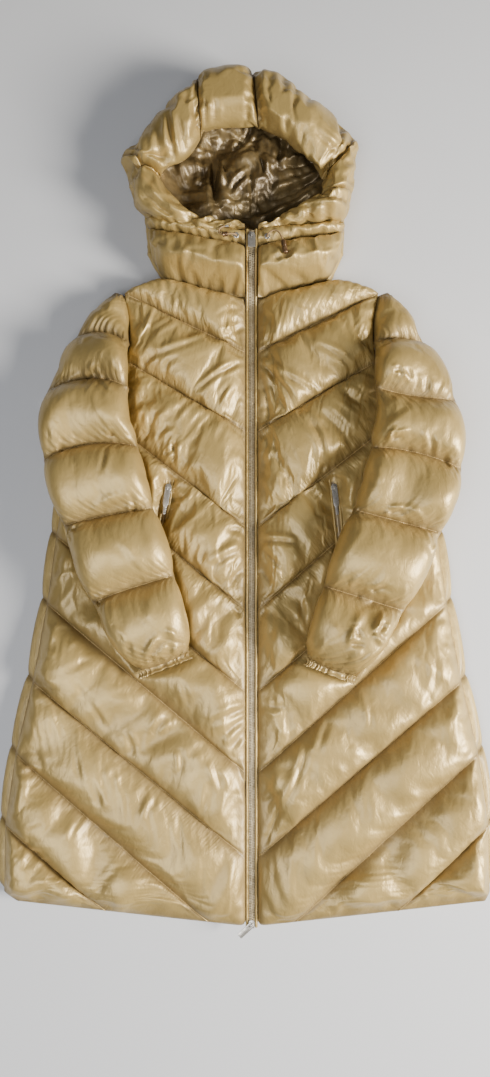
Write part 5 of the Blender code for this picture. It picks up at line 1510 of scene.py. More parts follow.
        (665, 130, 680, 110, 710, 95, 3.4, -2), (680, 190, 700, 150, 740, 130, 4, 2),
        (900, 210, 920, 230, 950, 240, 3.4, -2), (835, 355, 865, 385, 890, 405, 4, 2.6),
        (850, 350, 870, 365, 885, 395, 3, -2.4), (885, 440, 900, 405, 905, 370, 4, 2.2),
        (940, 440, 935, 400, 925, 365, 4, 2.4), (990, 455, 1000, 420, 1000, 390, 4, 2.2),
        (965, 450, 965, 410, 960, 380, 3, -2), (1040, 460, 1050, 430, 1055, 400, 3.6, 2),
        (740, 560, 790, 510, 850, 470, 5, 1.8), (760, 600, 810, 560, 850, 530, 4, -1.6),
        (820, 360, 790, 400, 750, 440, 4, -1.8), (760, 715, 785, 660, 805, 632, 4, 3.4),
        (790, 690, 830, 655, 872, 655, 4, 3.4), (775, 720, 800, 685, 840, 680, 3, -3),
        (930, 650, 950, 700, 972, 742, 5, 2.8), (1000, 690, 1012, 735, 1010, 780, 4, 2.6),
        (970, 670, 985, 720, 995, 765, 3, -2.4), (1068, 765, 1085, 800, 1080, 840, 4, 2.6),
        (1100, 800, 1120, 830, 1130, 860, 4, 2.4), (1045, 750, 1060, 790, 1060, 820, 3, -2.2),
        (870, 720, 890, 740, 900, 760, 3.2, -2.2), (700, 840, 680, 880, 690, 920, 4, -2),
        (730, 810, 720, 860, 740, 900, 5, 1.8), (765, 1060, 822, 1015, 862, 1082, 4.5, 4.2),
        (860, 1005, 912, 1052, 968, 1100, 5, 3.6), (840, 1030, 850, 1065, 900, 1110, 3.2, -3.4),
        (770, 1045, 830, 1035, 880, 1060, 3, -2.2), (640, 1040, 660, 1060, 700, 1060, 3.6, -2.6),
        (930, 1100, 950, 1130, 985, 1150, 3.6, 2.6), (700, 1070, 740, 1110, 760, 1180, 6, 1.8),
        (650, 1120, 590, 1200, 540, 1260, 6, 1.4), (700, 1420, 720, 1390, 760, 1350, 5, 2.8),
        (690, 1430, 740, 1410, 800, 1440, 3.4, -2.6), (580, 1420, 600, 1380, 640, 1350, 4, 1.8),
        (830, 1480, 850, 1440, 840, 1400, 4, 2), (500, 1400, 530, 1370, 560, 1330, 4, 1.6),
        (940, 1180, 970, 1230, 985, 1260, 3.6, -2), (1000, 1200, 1020, 1215, 1050, 1225, 4, 3.4),
        (1000, 1230, 1030, 1240, 1050, 1240, 3, -3),
    ]),
    ("sleeve_left", "cuff_left", 0.078, 1, 1.5, [
        (830, 650, 900, 560, 920, 440, 5, 4.6), (920, 440, 990, 370, 1040, 260, 6, 3.6),
        (850, 670, 950, 700, 1060, 700, 5, -3.6), (930, 470, 980, 560, 1020, 640, 4, -3.4),
        (840, 640, 930, 730, 1040, 740, 4.5, 2.2), (1175, 530, 1260, 390, 1340, 260, 4, 4),
        (1175, 540, 1250, 620, 1340, 710, 4, 4), (1210, 560, 1290, 480, 1340, 380, 3.4, -3),
        (1230, 560, 1290, 590, 1340, 620, 3.4, -2.6), (1320, 330, 1340, 420, 1420, 440, 4, 3),
        (1040, 80, 1090, 130, 1180, 170, 4.5, 3.2), (1060, 110, 1130, 180, 1200, 200, 3.2, -2.6),
        (1000, 1030, 1150, 900, 1330, 760, 3.4, -3.2), (980, 1000, 1130, 870, 1310, 740, 4.5, 2.4),
        (860, 880, 940, 860, 1030, 800, 5, 2.6), (840, 940, 920, 960, 1000, 900, 4, 2.2),
        (520, 1200, 510, 1130, 560, 1080, 4, -3.4), (660, 1160, 640, 1100, 650, 1060, 3.6, -3.2),
        (720, 1130, 700, 1090, 720, 1050, 4, 2.6), (600, 1180, 590, 1110, 610, 1060, 4, 2.6),
        (830, 1160, 850, 1120, 900, 1060, 4, -3), (430, 1050, 470, 950, 500, 850, 4, -3.4),
        (330, 640, 350, 740, 380, 860, 4, -2.6), (500, 820, 520, 720, 590, 640, 5, 2),
        (760, 560, 700, 480, 740, 430, 6, 1.4),
    ]),
    ("hood", "hood", 0.095, 1, 1, [
        (488, 262, 482, 340, 500, 425, 5, 4.2), (520, 235, 528, 330, 548, 430, 4.5, 3.8),
        (505, 240, 508, 330, 528, 440, 3.4, -4.2), (545, 250, 560, 330, 575, 400, 4, -3.4),
        (455, 300, 450, 370, 470, 440, 4, -2.8), (570, 200, 590, 270, 598, 350, 5, 2.8),
        (430, 330, 420, 380, 430, 430, 5, 2), (600, 130, 612, 180, 610, 240, 4.5, 2.6),
        (585, 150, 580, 210, 570, 260, 3.4, -2.4), (292, 440, 400, 452, 470, 500, 4.5, -8.5),
        (470, 500, 478, 560, 502, 605, 4.5, -7), (502, 600, 520, 630, 548, 648, 4, -5),
        (330, 405, 400, 425, 465, 470, 7, 4), (330, 440, 345, 430, 380, 440, 3.4, -3),
        (616, 170, 620, 240, 635, 305, 4, -6), (655, 130, 662, 215, 650, 295, 5, 4),
        (645, 100, 680, 165, 695, 235, 5, 4.4), (668, 150, 672, 215, 662, 280, 3.4, -4),
        (700, 180, 712, 230, 700, 275, 4, -3), (610, 210, 600, 260, 615, 305, 4, 2.6),
        (840, 80, 820, 110, 800, 140, 6, 2.2), (880, 70, 850, 130, 820, 180, 6, 2.6),
        (790, 80, 770, 110, 750, 130, 6, 1.6), (908, 90, 918, 180, 942, 275, 5, -7),
        (930, 70, 945, 170, 975, 250, 6, 3.4), (940, 110, 965, 180, 985, 240, 4, -3.4),
        (1075, 142, 1010, 215, 1052, 285, 7, 5.5), (1052, 250, 1040, 290, 1048, 322, 4, -6),
        (985, 200, 990, 250, 1010, 290, 5, 3.2), (1000, 180, 1040, 150, 1075, 140, 4, -3),
        (1085, 180, 1075, 230, 1080, 290, 4, -4), (1100, 210, 1120, 270, 1150, 320, 7, 3),
        (1190, 300, 1250, 350, 1330, 370, 4.5, 3.4), (1180, 330, 1240, 370, 1320, 390, 3.4, -2.6),
        (1200, 270, 1260, 320, 1340, 350, 5, 2.2), (1345, 378, 1232, 455, 1212, 560, 4.5, -8),
        (1212, 560, 1220, 590, 1245, 610, 4.5, -6), (1365, 400, 1280, 470, 1245, 560, 7, 3.4),
        (1375, 395, 1378, 440, 1365, 500, 5, -2), (1160, 420, 1190, 440, 1215, 450, 5, 2.4),
        (1340, 612, 1255, 622, 1180, 612, 4.5, -6), (1290, 560, 1285, 590, 1300, 610, 4, 3.4),
        (1340, 640, 1260, 655, 1190, 640, 6, 3.4), (1200, 640, 1230, 660, 1260, 700, 4, -2.4),
        (1330, 700, 1240, 765, 1110, 800, 4.5, -4), (1310, 770, 1250, 790, 1180, 800, 4, 2.4),
        (1150, 640, 1190, 680, 1240, 700, 4.5, 2), (1100, 650, 1130, 700, 1160, 740, 5, 2),
        (1290, 660, 1300, 690, 1330, 700, 4, -2.2), (330, 520, 440, 655, 600, 742, 5, -3.4),
        (345, 500, 460, 630, 620, 720, 7, 2.4), (310, 500, 320, 560, 345, 620, 5, -2),
        (355, 700, 400, 745, 480, 775, 4.5, -5), (480, 775, 560, 785, 650, 800, 4.5, -4.4),
        (350, 660, 430, 720, 560, 770, 6, 2.6), (560, 640, 640, 680, 740, 710, 6, 2.4),
        (600, 690, 700, 720, 800, 740, 4, -2.2), (400, 600, 480, 680, 600, 725, 4, -2.2),
        (640, 740, 720, 740, 800, 755, 5, 2), (350, 520, 400, 560, 440, 620, 6, 1.8),
        (700, 770, 740, 760, 800, 770, 4, -2.4),
    ]),
    ("collar", "hood", 0.08, 1, 1, [
        (455, 850, 460, 900, 480, 960, 4, 2), (440, 830, 445, 880, 460, 930, 3.4, -1.8),
        (590, 860, 570, 910, 550, 960, 5, 2.2), (610, 870, 590, 930, 575, 970, 4, -2),
        (480, 960, 500, 985, 540, 1005, 4, 2.4), (640, 990, 655, 1020, 660, 1050, 3.4, -2.2),
        (650, 970, 670, 1010, 680, 1045, 4.5, 2), (780, 1055, 800, 1045, 850, 1050, 3.6, 2.4),
        (850, 870, 840, 900, 845, 940, 4, 1.6), (770, 850, 760, 890, 765, 930, 4, -1.4),
        (930, 1060, 980, 1050, 1040, 1045, 4, 2.2), (950, 870, 1000, 920, 1010, 960, 4, -2.2),
        (975, 930, 1040, 900, 1080, 870, 3.4, -3), (990, 950, 1060, 920, 1120, 880, 4.5, 2.6),
        (1100, 920, 1160, 900, 1220, 900, 5, 2.4), (1060, 980, 1120, 960, 1190, 940, 6, 1.8),
        (1220, 870, 1210, 900, 1230, 930, 3.4, -2.4), (1150, 1050, 1180, 1020, 1210, 990, 4, 2.2),
        (720, 1010, 740, 960, 745, 920, 6, 1.4),
    ]),
    ("channel", "hood", 0.076, 1, 1, [
        (380, 745, 410, 750, 440, 770, 3, 2.2), (400, 790, 440, 800, 480, 800, 3, -2.2),
        (450, 780, 470, 800, 480, 830, 3, 2.6), (480, 780, 495, 800, 500, 835, 2.6, -2.2),
        (520, 790, 530, 810, 528, 840, 3, 2.6), (550, 790, 560, 815, 560, 840, 2.6, -2.4),
        (580, 800, 585, 820, 590, 845, 3, 2.4), (610, 800, 615, 822, 620, 845, 2.6, -2.4),
        (640, 800, 645, 820, 640, 845, 3, 2.4), (670, 805, 675, 825, 680, 850, 2.6, -2.2),
        (780, 800, 790, 830, 780, 850, 3, 2.4), (830, 800, 820, 830, 830, 850, 2.6, -2),
        (1060, 800, 1090, 830, 1110, 850, 3, 2.6), (1080, 800, 1110, 825, 1140, 840, 2.6, -2.4),
        (1130, 800, 1150, 820, 1180, 835, 3, 2.6), (1160, 790, 1190, 810, 1220, 820, 2.6, -2.4),
        (1210, 790, 1240, 800, 1270, 800, 3, 2.4), (1240, 760, 1270, 775, 1300, 770, 2.6, -2),
    ]),
    ("lining", "hood", 0.034, 1, 1, [
        (722, 425, 705, 560, 742, 695, 6, -9), (745, 440, 742, 520, 760, 600, 5, 4),
        (700, 440, 690, 520, 700, 640, 6, 4), (885, 300, 842, 392, 748, 438, 4, -4.5),
        (905, 320, 865, 400, 780, 450, 5, 3.4), (905, 425, 955, 500, 888, 590, 4.5, 6),
        (872, 440, 922, 525, 868, 640, 4.5, 5), (800, 645, 848, 578, 905, 560, 4.5, 4.6),
        (785, 690, 870, 668, 945, 700, 5, 4), (768, 500, 795, 560, 768, 640, 5, 4),
        (890, 450, 935, 520, 885, 600, 3, -4), (850, 480, 880, 540, 850, 600, 3.4, -3.6),
        (960, 480, 985, 560, 960, 640, 4, -4), (820, 700, 860, 720, 900, 700, 3.4, -3.6),
        (980, 492, 1080, 462, 1185, 440, 4.5, 3.4), (985, 510, 1085, 485, 1190, 465, 3.4, -3.4),
        (958, 642, 1082, 602, 1205, 535, 3.4, -4.2), (965, 612, 1100, 565, 1205, 500, 4.5, 3.4),
        (900, 745, 1010, 690, 1180, 602, 5, 4), (905, 765, 1020, 715, 1150, 640, 3.4, -3),
        (1012, 350, 1012, 430, 978, 500, 4.5, -3.6), (1040, 340, 1050, 420, 1020, 480, 5, 3),
        (1090, 380, 1100, 440, 1090, 500, 4, -2.4), (540, 420, 560, 500, 585, 560, 5, 4),
        (600, 420, 645, 432, 705, 415, 4.5, 3.6), (615, 450, 635, 520, 610, 590, 5, 3.4),
        (640, 440, 660, 520, 650, 600, 3.4, -3), (690, 335, 700, 400, 722, 440, 4, -4),
        (680, 330, 715, 298, 752, 330, 4.5, 4.6), (680, 345, 715, 375, 750, 345, 4.5, 4),
        (640, 330, 630, 380, 600, 420, 4, -3.4), (780, 310, 800, 360, 790, 420, 5, 3.4),
        (830, 300, 840, 350, 800, 420, 3.4, -3.4), (505, 505, 535, 560, 575, 605, 6, -6),
        (560, 640, 620, 650, 690, 680, 4, -2.6), (600, 600, 650, 620, 700, 640, 5, 3),
        (930, 360, 960, 400, 950, 470, 4.5, 3), (880, 380, 900, 420, 890, 450, 3.4, -2.6),
    ]),
    ("lining", "lining", 0.036, 1, 1, [
        (-40, 560, 150, 520, 290, 560, 13, 9), (375, 430, 365, 700, 375, 980, 4.5, -9),
        (330, 400, 325, 560, 330, 690, 3.5, 3), (0, 420, 160, 350, 330, 385, 4, 4),
        (285, 230, 360, 130, 440, 220, 5, 6.5), (390, 320, 430, 350, 480, 320, 4.5, -7),
        (480, 470, 640, 500, 780, 430, 13, 6), (740, 240, 560, 370, 440, 520, 5, 5.5),
        (440, 520, 440, 640, 490, 760, 4.5, 4.5), (740, 120, 690, 250, 540, 390, 4, -5),
        (742, 640, 748, 850, 738, 1120, 2.8, -3.8), (850, 470, 885, 540, 905, 600, 4.5, 4.5),
        (770, 720, 850, 705, 920, 665, 4.5, 4.2), (765, 850, 830, 875, 890, 850, 6, 4),
        (470, 620, 505, 630, 520, 560, 4.5, 3.6), (540, 740, 620, 650, 740, 580, 3.6, 3.6),
        (500, 840, 590, 760, 700, 650, 3.4, -3.8), (930, 860, 1180, 745, 1460, 650, 4.2, -6),
        (950, 790, 1180, 690, 1420, 600, 7, 4.5), (990, 620, 1180, 545, 1420, 510, 4, -4.8),
        (1000, 600, 1035, 480, 1080, 320, 4.5, -5), (960, 700, 960, 600, 990, 480, 8, 3.4),
        (780, 1120, 1020, 1010, 1370, 835, 9, 7.5), (1020, 1080, 1200, 990, 1410, 840, 3.8, -6),
        (1100, 180, 1075, 260, 1060, 380, 6, -5), (440, 880, 520, 960, 640, 1010, 6, 4),
        (60, 780, 200, 830, 330, 740, 8, 3.6), (130, 700, 220, 720, 330, 720, 3.4, -3),
        (1250, 360, 1320, 440, 1440, 520, 6, -5), (1120, 420, 1200, 470, 1300, 490, 5, 3.4),
    ]),
]


def on_coat(window, rows, level, wide, high):
    """Readings in a window as folds on the coat, in mm, with heights in tenths.

    The eye's ray through a reading meets the level at reach * right and reach * (up cos tilt + sin tilt),
    where reach = (eye height - level) / (cos tilt - up sin tilt). Places are good to a millimetre.
    """
    left, top, times = WINDOWS[window]
    seen = np.array(rows, float)
    right = (left + seen[:, 0:6:2] / times - VIEW_MIDDLE[0]) / VIEW_FOCAL
    up = (VIEW_MIDDLE[1] - top - seen[:, 1:6:2] / times) / VIEW_FOCAL
    reach = (EYE_HEIGHT - level) / (math.cos(EYE_TILT) - up * math.sin(EYE_TILT))
    x = np.round(reach * right, 4) + EYE_PLACE[0]
    y = np.round(reach * (up * math.cos(EYE_TILT) + math.sin(EYE_TILT)), 4) + EYE_PLACE[1]
    plan = np.stack([x, y], -1).reshape(len(seen), 6) * 1000.0
    return np.round(np.column_stack([plan, seen[:, 6] * wide * 10.0, seen[:, 7] * high * 10.0]))


FOLDS = {}
for piece, window, level, wide, high, rows in FOLDS_SEEN:
    FOLDS.setdefault(piece, []).extend(on_coat(window, rows, level, wide, high))
print({piece: len(rows) for piece, rows in FOLDS.items()}, "folds")

# %% [markdown]
# ## Seams
# A quilting seam is sewn with two needles close together, which leaves a small raised ridge of cloth
# along its bottom, and the stitches run along the ridge. Both follow the seam rows of the finished
# pieces. The ridge is one flattened tube to a seam, and a stitch three rings of five points.

# %% Ridges and stitches
RIDGE_PITCH = 0.0030
RIDGE_HALF = 0.00095
RIDGE_HIGH = 0.00085
STITCH_PITCH = 0.0034
STITCH_HALF = 0.0011
STITCH_RADIUS = 0.00030
seam_lines = []


def along_seam(line, pitch, off=(0.0,)):
    """Points at even lengths along a line, 3 mm in from its ends, moved along it by each offset."""
    run = lengths_along(line)
    at = np.arange(0.003, run[-1] - 0.003, pitch)
    return [np.stack([np.interp(at + move, run, line[:, k]) for k in range(3)], -1) for move in off]


def ring_ways(along):
    """The ways to the side and up at places whose line runs along: side = z x along, up = along x side."""
    side = unit(np.cross(np.array([0.0, 0.0, 1.0]), along))
    return side, np.cross(along, side)


def rings_faces(count, stations, around):
    """The faces of many small closed lugs, each of a few stations of points."""
    one = grid_faces(stations, around, True)
    ends = np.array([list(range(around)), list(range((stations - 1) * around, stations * around))])
    shift = np.arange(count)[:, None, None] * stations * around
    return (one[None] + shift).reshape(-1, 4), (ends[None] + shift).reshape(-1, around)


def make_ridges():
    """The sewn ridge along every seam, all in one piece: a ring of six points every few millimetres."""
    points, faces, count = [], [], 0
    turn = np.linspace(0.0, 2 * math.pi, 6, endpoint=False)[:, None]
    for line in seam_lines:
        middle = along_seam(line, RIDGE_PITCH)[0]
        side, up = ring_ways(unit(np.gradient(middle, axis=0)))
        ring = middle[:, None] + side[:, None] * RIDGE_HALF * np.cos(turn)
        ring = ring + up[:, None] * RIDGE_HIGH * np.sin(turn)
        faces += [[i + count for i in face] for face in tube_faces(*ring.shape[:2])]
        points.append(ring.reshape(-1, 3))
        count += len(points[-1])
    points = np.concatenate(points)
    # The ridge is painted a little browner: a share of 0.12 of the painted seam shade.
    piece = new_piece("seam_ridges", points, faces, SHELL, np.full(len(points), 0.12), turn_out=True)
    print("ridges:", len(seam_lines))
    return dress(piece, [])


def make_stitches():
    """Every stitch at once: middle + along * way + side * radius * cos + up * radius * sin."""
    pairs = [along_seam(line, STITCH_PITCH, (-STITCH_HALF, STITCH_HALF)) for line in seam_lines]
    here, there = (np.concatenate([pair[k] for pair in pairs]) for k in (0, 1))
    along = unit(there - here)
    side, up = ring_ways(along)
    turn = np.linspace(0.0, 2 * math.pi, 5, endpoint=False)[None, None, :, None]
    way = np.array([-1.0, 0.0, 1.0])[None, :, None, None] * STITCH_HALF
    radius = np.array([0.4, 1.0, 0.4])[None, :, None, None] * STITCH_RADIUS
    middle = (here + there) / 2 + up * RIDGE_HIGH
    middle, along, side, up = (part[:, None, None, :] for part in (middle, along, side, up))
    points = middle + along * way + side * radius * np.cos(turn) + up * radius * np.sin(turn)
    quads, caps = rings_faces(len(points), 3, 5)
    piece = new_piece("seam_stitches", points.reshape(-1, 3), join_faces(quads, caps), THREAD, turn_out=True)
    print("stitches:", len(points))
    return dress(piece, [])


# %% [markdown]
# ## Finished cloth pieces
# The blown-up grids become closed pieces. Each is split, pleated beside its seams, creased with its own
# folds and kept clear of what it lies on. A front is pressed down where the sleeve lies on it and gets a
# flat underside on the back. The sleeves, the hood's rolls and the bands are tubes with closed ends.

# %% Fronts
SEAM_LEVEL = FRONT_BASE + FRONT_SEAM
FRONT_LEAST = 0.0015  # a front is at least this thick
ZIP_EDGE = 0.0099  # how near the middle a front comes
EASE, EASE_MORE, EASE_PASSES = 0.45, 0.27, 9  # the share eased away, and how much more towards the hem
PLEAT, PLEAT_LESS, ZIP_PLEAT = 0.0012, 0.0008, 0.0009  # heights off a seam, less at the hem, off the zip
PLEAT_LENGTHS = (0.010, 0.030)
ZIP_PRESS, ZIP_PRESS_WIDTH = 0.38, 0.045  # the zip holds the puffed cloth beside it down


def gathers_share(away, least=0.10):
    """How strongly the material's fine gathers show at a distance from a seam."""
    return least + (1.0 - least) * np.exp(-away / 0.015)


def valley_shaded(grid, around=False, reach=2, strength=330.0, most=0.60):
    """The seam number raised in narrow valleys: painted shade, the cloth painted browner where shade falls in
    a crease.

    strength * (mean height of the four points a reach away - height), and no more than most.
    """
    z = grid[..., 2]
    wide = np.pad(z, ((reach, reach), (0, 0)), mode="edge")
    wide = np.pad(wide, ((0, 0), (reach, reach)), mode="wrap" if around else "edge")
    rows = wide[2 * reach:, reach:-reach] + wide[:-2 * reach, reach:-reach]
    columns = wide[reach:-reach, 2 * reach:] + wide[reach:-reach, :-2 * reach]
    valley = np.clip(strength * ((rows + columns) / 4 - z), 0.0, most)
    grid[..., 3] = np.maximum(grid[..., 3], valley)
    return grid


def finish_front(side):
    """Easing towards the hem, a split, pleats off every seam and off the zip, then the laid-in folds."""
    kept = seam_rows(FRONT_ROWS)
    grid = blown["front_" + side]
    grid[..., 0] = SIGN[side] * np.maximum(SIGN[side] * grid[..., 0], ZIP_EDGE)
    ease = EASE + EASE_MORE * smoothstep(3.5, 5.5, FRONT_ROWS)[:, None, None]
    fine = split_grid(calmed(grid, ease, EASE_PASSES, False, kept), kept=kept)
    row, share = np.meshgrid(halved(FRONT_ROWS), np.linspace(0.0, 1.0, fine.shape[1]), indexing="ij")
    start, end = row_ends(side, row[:, 0])
    length = np.hypot(*(end - start))[:, None]
    along = (end - start) / length.T
    x, y = SIGN[side] * fine[..., 0], fine[..., 1] - WAIST
    run = x * along[0][:, None] + y * along[1][:, None]
    away, zip_way = seam_distance(row, BAFFLE_WIDTHS), share * length
    patches = 0.5 + 0.5 * ripples(run, row * 0.1, 8, (0.05, 0.12), 0.0, 90 + SEEDS[side])
    low = smoothstep(4.0, 5.5, row)
    rise = (PLEAT - PLEAT_LESS * low) * pleats(run, away * 0.2, PLEAT_LENGTHS, 91 + SEEDS[side])
    rise = rise * beside(away, 0.006 + 0.014 * patches**2)
    off_zip = ZIP_PLEAT * pleats(y, x * 0.3, PLEAT_LENGTHS, 92 + SEEDS[side]) * beside(zip_way, 0.018)
    free = 1.0 - pocket_flat(row, share)
    fine[..., 2] += (rise + off_zip) * free
    puffed = np.maximum(fine[..., 2] - SEAM_LEVEL, 0.0)
    fine[..., 2] -= puffed * ZIP_PRESS * (1.0 - smoothstep(0.0, ZIP_PRESS_WIDTH, zip_way))
    fine = folded(fine, FOLDS["front_" + side], free)
    fine[..., 2] = held_under(fine[..., 2], FRONT_BASE, front_ceiling(side, fine[..., 0], fine[..., 1]))
    fine[..., 2] = np.maximum(fine[..., 2], FRONT_BASE + FRONT_LEAST)
    seam_lines.extend(fine[2 * kept[1:-1], :, :3])
    quilt = quilt_map(np.stack([run, away], -1), gathers_share(away) * free * (1.0 - 0.65 * low))
    fine = valley_shaded(fine)
    return slab("front_" + side + "_quilt", fine, FRONT_BASE, ["front_" + side], quilt)


for side in SIGN:
    finish_front(side)


# %% Sleeves
HIGHEST = 0.1262
TUCK = 0.002
SLEEVE_EASE, SLEEVE_EASE_PASSES = 0.82, 12
SLEEVE_PLEAT, CUFF_PLEAT_MORE = 0.0019, 0.0010
SLEEVE_PLEAT_LENGTHS = (0.008, 0.018)
KNOTS = {
    # x, y and radius in mm of the tight knots on the sleeves' seams
    "sleeve_right": (
        (-236, 156, 9), (-292, 38, 8), (-212, 57, 7), (-180, -52, 6), (-272, -90, 8), (-233, -194, 6),
    ),
    "sleeve_left": (
        (215, 55, 9), (208, -59, 7), (281, -116, 8), (217, 211, 6), (224, 156, 7), (181, -176, 6),
    ),
}


def topside(grid, low=0.45, high=0.75):
    """0 on a ring's under side and 1 over its top."""
    bottom, top = (pick(grid[..., 2], axis=1, keepdims=True) for pick in (np.min, np.max))
    return smoothstep(low, high, (grid[..., 2] - bottom) / (top - bottom + 1e-6))


def tucked(grid, half):
    """A sleeve's rings with their low points kept inside their high ones, seen from above.

    across = from the ring's first point to its half-way point, and w = (point - middle) . across.
    """
    flat, z = grid[..., :2], grid[..., 2]
    across = unit(flat[:, half] - flat[:, 0])[:, None]
    w = ((flat - flat.mean(axis=1, keepdims=True)) * across).sum(axis=-1)
    bottom, top = z.min(axis=1, keepdims=True), z.max(axis=1, keepdims=True)
    high = z > bottom + 0.35 * (top - bottom)
    inset = np.where(high, 0.0, TUCK)
    least = np.where(high, w, np.inf).min(axis=1, keepdims=True) + inset
    most = np.where(high, w, -np.inf).max(axis=1, keepdims=True) - inset
    grid[..., :2] += (np.clip(w, least, most) - w)[..., None] * across
    return grid


def finish_sleeve(side):
    """A split, pleats round every seam, longest at the cuff, then folds and knots on the upper side."""
    name = "sleeve_" + side
    grid, start = blown[name], cloths[name][1]
    half = grid.shape[1] // 2
    lowest = start[:, :half, 2].min(axis=1, keepdims=True)
    grid[..., 2] = np.maximum(grid[..., 2], lowest)
    kept = seam_rows(SLEEVE_TUBE)
    eased = calmed(grid, SLEEVE_EASE, SLEEVE_EASE_PASSES, True, kept)
    fine = split_grid(tucked(eased, half), True, kept)
    row = halved(SLEEVE_TUBE)[:, None] + 0.0 * fine[..., 0]
    places = ring_places(start, fine.shape[:2])
    away = seam_distance(row, SLEEVE_WIDTHS)
    upper = topside(fine)
    patches = 0.5 + 0.5 * ripples(places[..., 0], row * 0.1, 8, (0.04, 0.10), 0.0, 95 + SEEDS[side])
    high = SLEEVE_PLEAT + CUFF_PLEAT_MORE * smoothstep(5.4, 5.9, row)
    rise = high * pleats(places[..., 0], away * 0.2, SLEEVE_PLEAT_LENGTHS, 96 + SEEDS[side])
    fine[..., 2] += rise * beside(away, 0.008 + 0.014 * patches + 0.010 * smoothstep(5.5, 5.9, row)) * upper
    fine = folded(fine, FOLDS[name], upper)
    fine = folded(fine, knots(KNOTS[name], 97 + SEEDS[side]), upper)
    fine[..., 2] = np.minimum(fine[..., 2], HIGHEST)
    over = slice(fine.shape[1] // 2 + 4, -4)
    seam_lines.extend(fine[2 * kept[1:-1], over, :3])
    fine = valley_shaded(fine, True)
    return tube(name + "_quilt", fine, [name], quilt=quilt_map(places, 0.5 * gathers_share(away, 0.04)))


for side in SIGN:
    finish_sleeve(side)


make_ridges()
make_stitches()


# %% Back
def finish_back(side):
    """One half of the back, split and given its quilting map."""
    name = "back_" + side
    grid, start = blown[name], cloths[name][1]
    grid[..., 2] = np.maximum(grid[..., 2], 0.0)
    fine = split_grid(grid, True, seam_rows(FRONT_ROWS))
    away = seam_distance(halved(FRONT_ROWS)[:, None], BAFFLE_WIDTHS)
    quilt = quilt_map(ring_places(start, fine.shape[:2]), gathers_share(away, 0.3))
    tube(name + "_quilt", fine, ["back_panel"], quilt=quilt)


for side in SIGN:
    finish_back(side)


# %% Hood, collar and channel
ROLL_END = (0.5640, 0.0765)


def under_cord(x, y):
    """The greatest height of the cloth at places near the cord and what is on it: just below them where
    they lie, rising 30 mm over the next two centimetres, and easing down to the zip's top end."""
    spots = [np.column_stack([route, np.full(len(route), CORD_RADIUS)]) for route in CORD_ROUTES.values()]
    for ends in (CORD_LOCK, CORD_TIP, CORD_TOGGLE):
        row = ends[0] + (ends[1] - ends[0]) * np.linspace(0.0, 1.0, 9)[:, None]
        spots.append(np.column_stack([row, np.full(9, 0.0040)]))
    spots = np.concatenate(spots)
    away = np.hypot(x[..., None] - spots[:, 0], y[..., None] - WAIST - spots[:, 1])
    ceiling = spots[:, 2] - spots[:, 3] - 0.0006 + 0.030 * smoothstep(0.0035, 0.0240, away)
    from_end = np.hypot(x, y - WAIST - ROLL_END[0])
    return np.minimum(ceiling.min(axis=-1), ROLL_END[1] + 0.040 * smoothstep(0.010, 0.070, from_end))


CHANNEL_SPREAD = 1.24  # the channel fills the valleys beside it
RING_KINDS = {
    # fill, height, reach and lengths of the pleats, whether they run along the tube
    "hood": (0.7, 0.0011, 0.014, (0.010, 0.026), True),
    "collar": (0.7, 0.0007, 0.007, (0.010, 0.026), False),
    "channel": (0.5, 0.0008, 0.020, (0.006, 0.014), False),
}


def finish_ring(name, kind):
    """A tube with pleats near its seams and its folds. The pleats run along the tube, as at a gusset's
    seam, or across it, as on a gathered band."""
    fill, pleat, reach, lengths, along = RING_KINDS[kind]
    grid, start = blown[name], cloths[name][1]
    grid[..., 2] = np.maximum(grid[..., 2], start[..., 2].min(axis=1, keepdims=True))
    fine = split_grid(grid, True)
    places = ring_places(start, fine.shape[:2])
    upper = topside(fine, 0.35, 0.65)
    away = fine[..., 4]
    u, v = places[..., 0], places[..., 1]
    run, cross = (u, v) if along else (v, u)
    fine[..., 2] += pleat * pleats(run, cross * 0.3, lengths, len(name) * 7) * beside(away, reach) * upper
    fine = folded(fine, FOLDS[kind], upper)
    if kind == "channel":
        middle = fine[..., 1].mean(axis=1, keepdims=True)
        fine[..., 1] = middle + (fine[..., 1] - middle) * CHANNEL_SPREAD
    fine[..., 2] = np.minimum(np.minimum(fine[..., 2], HIGHEST), under_cord(fine[..., 0], fine[..., 1]))
    quilt = quilt_map(np.stack([run, cross], -1), 0.4 * gathers_share(away, 0.1))
    fine = valley_shaded(fine, True)
    return tube(name + "_quilt", fine, [name], quilt=quilt)


for side in SIGN:
    finish_ring("hood_side_" + side, "hood")
    finish_ring("collar_" + side, "collar")
    finish_ring("cord_channel_" + side, "channel")
finish_ring("hood_gusset", "hood")

# %% Pads on the floor
HOOD_BACK = np.array([
    # y, left x, right x
    (0.5480, -0.172, 0.152), (0.5800, -0.174, 0.154), (0.6300, -0.180, 0.154), (0.6850, -0.186, 0.158),
    (0.7300, -0.160, 0.140), (0.7700, -0.124, 0.104), (0.8000, -0.086, 0.060), (0.8160, -0.060, 0.020),
])
COLLAR_BACK = np.array([(0.5005, -0.142, 0.130), (0.5200, -0.158, 0.140), (0.5474, -0.172, 0.152)])


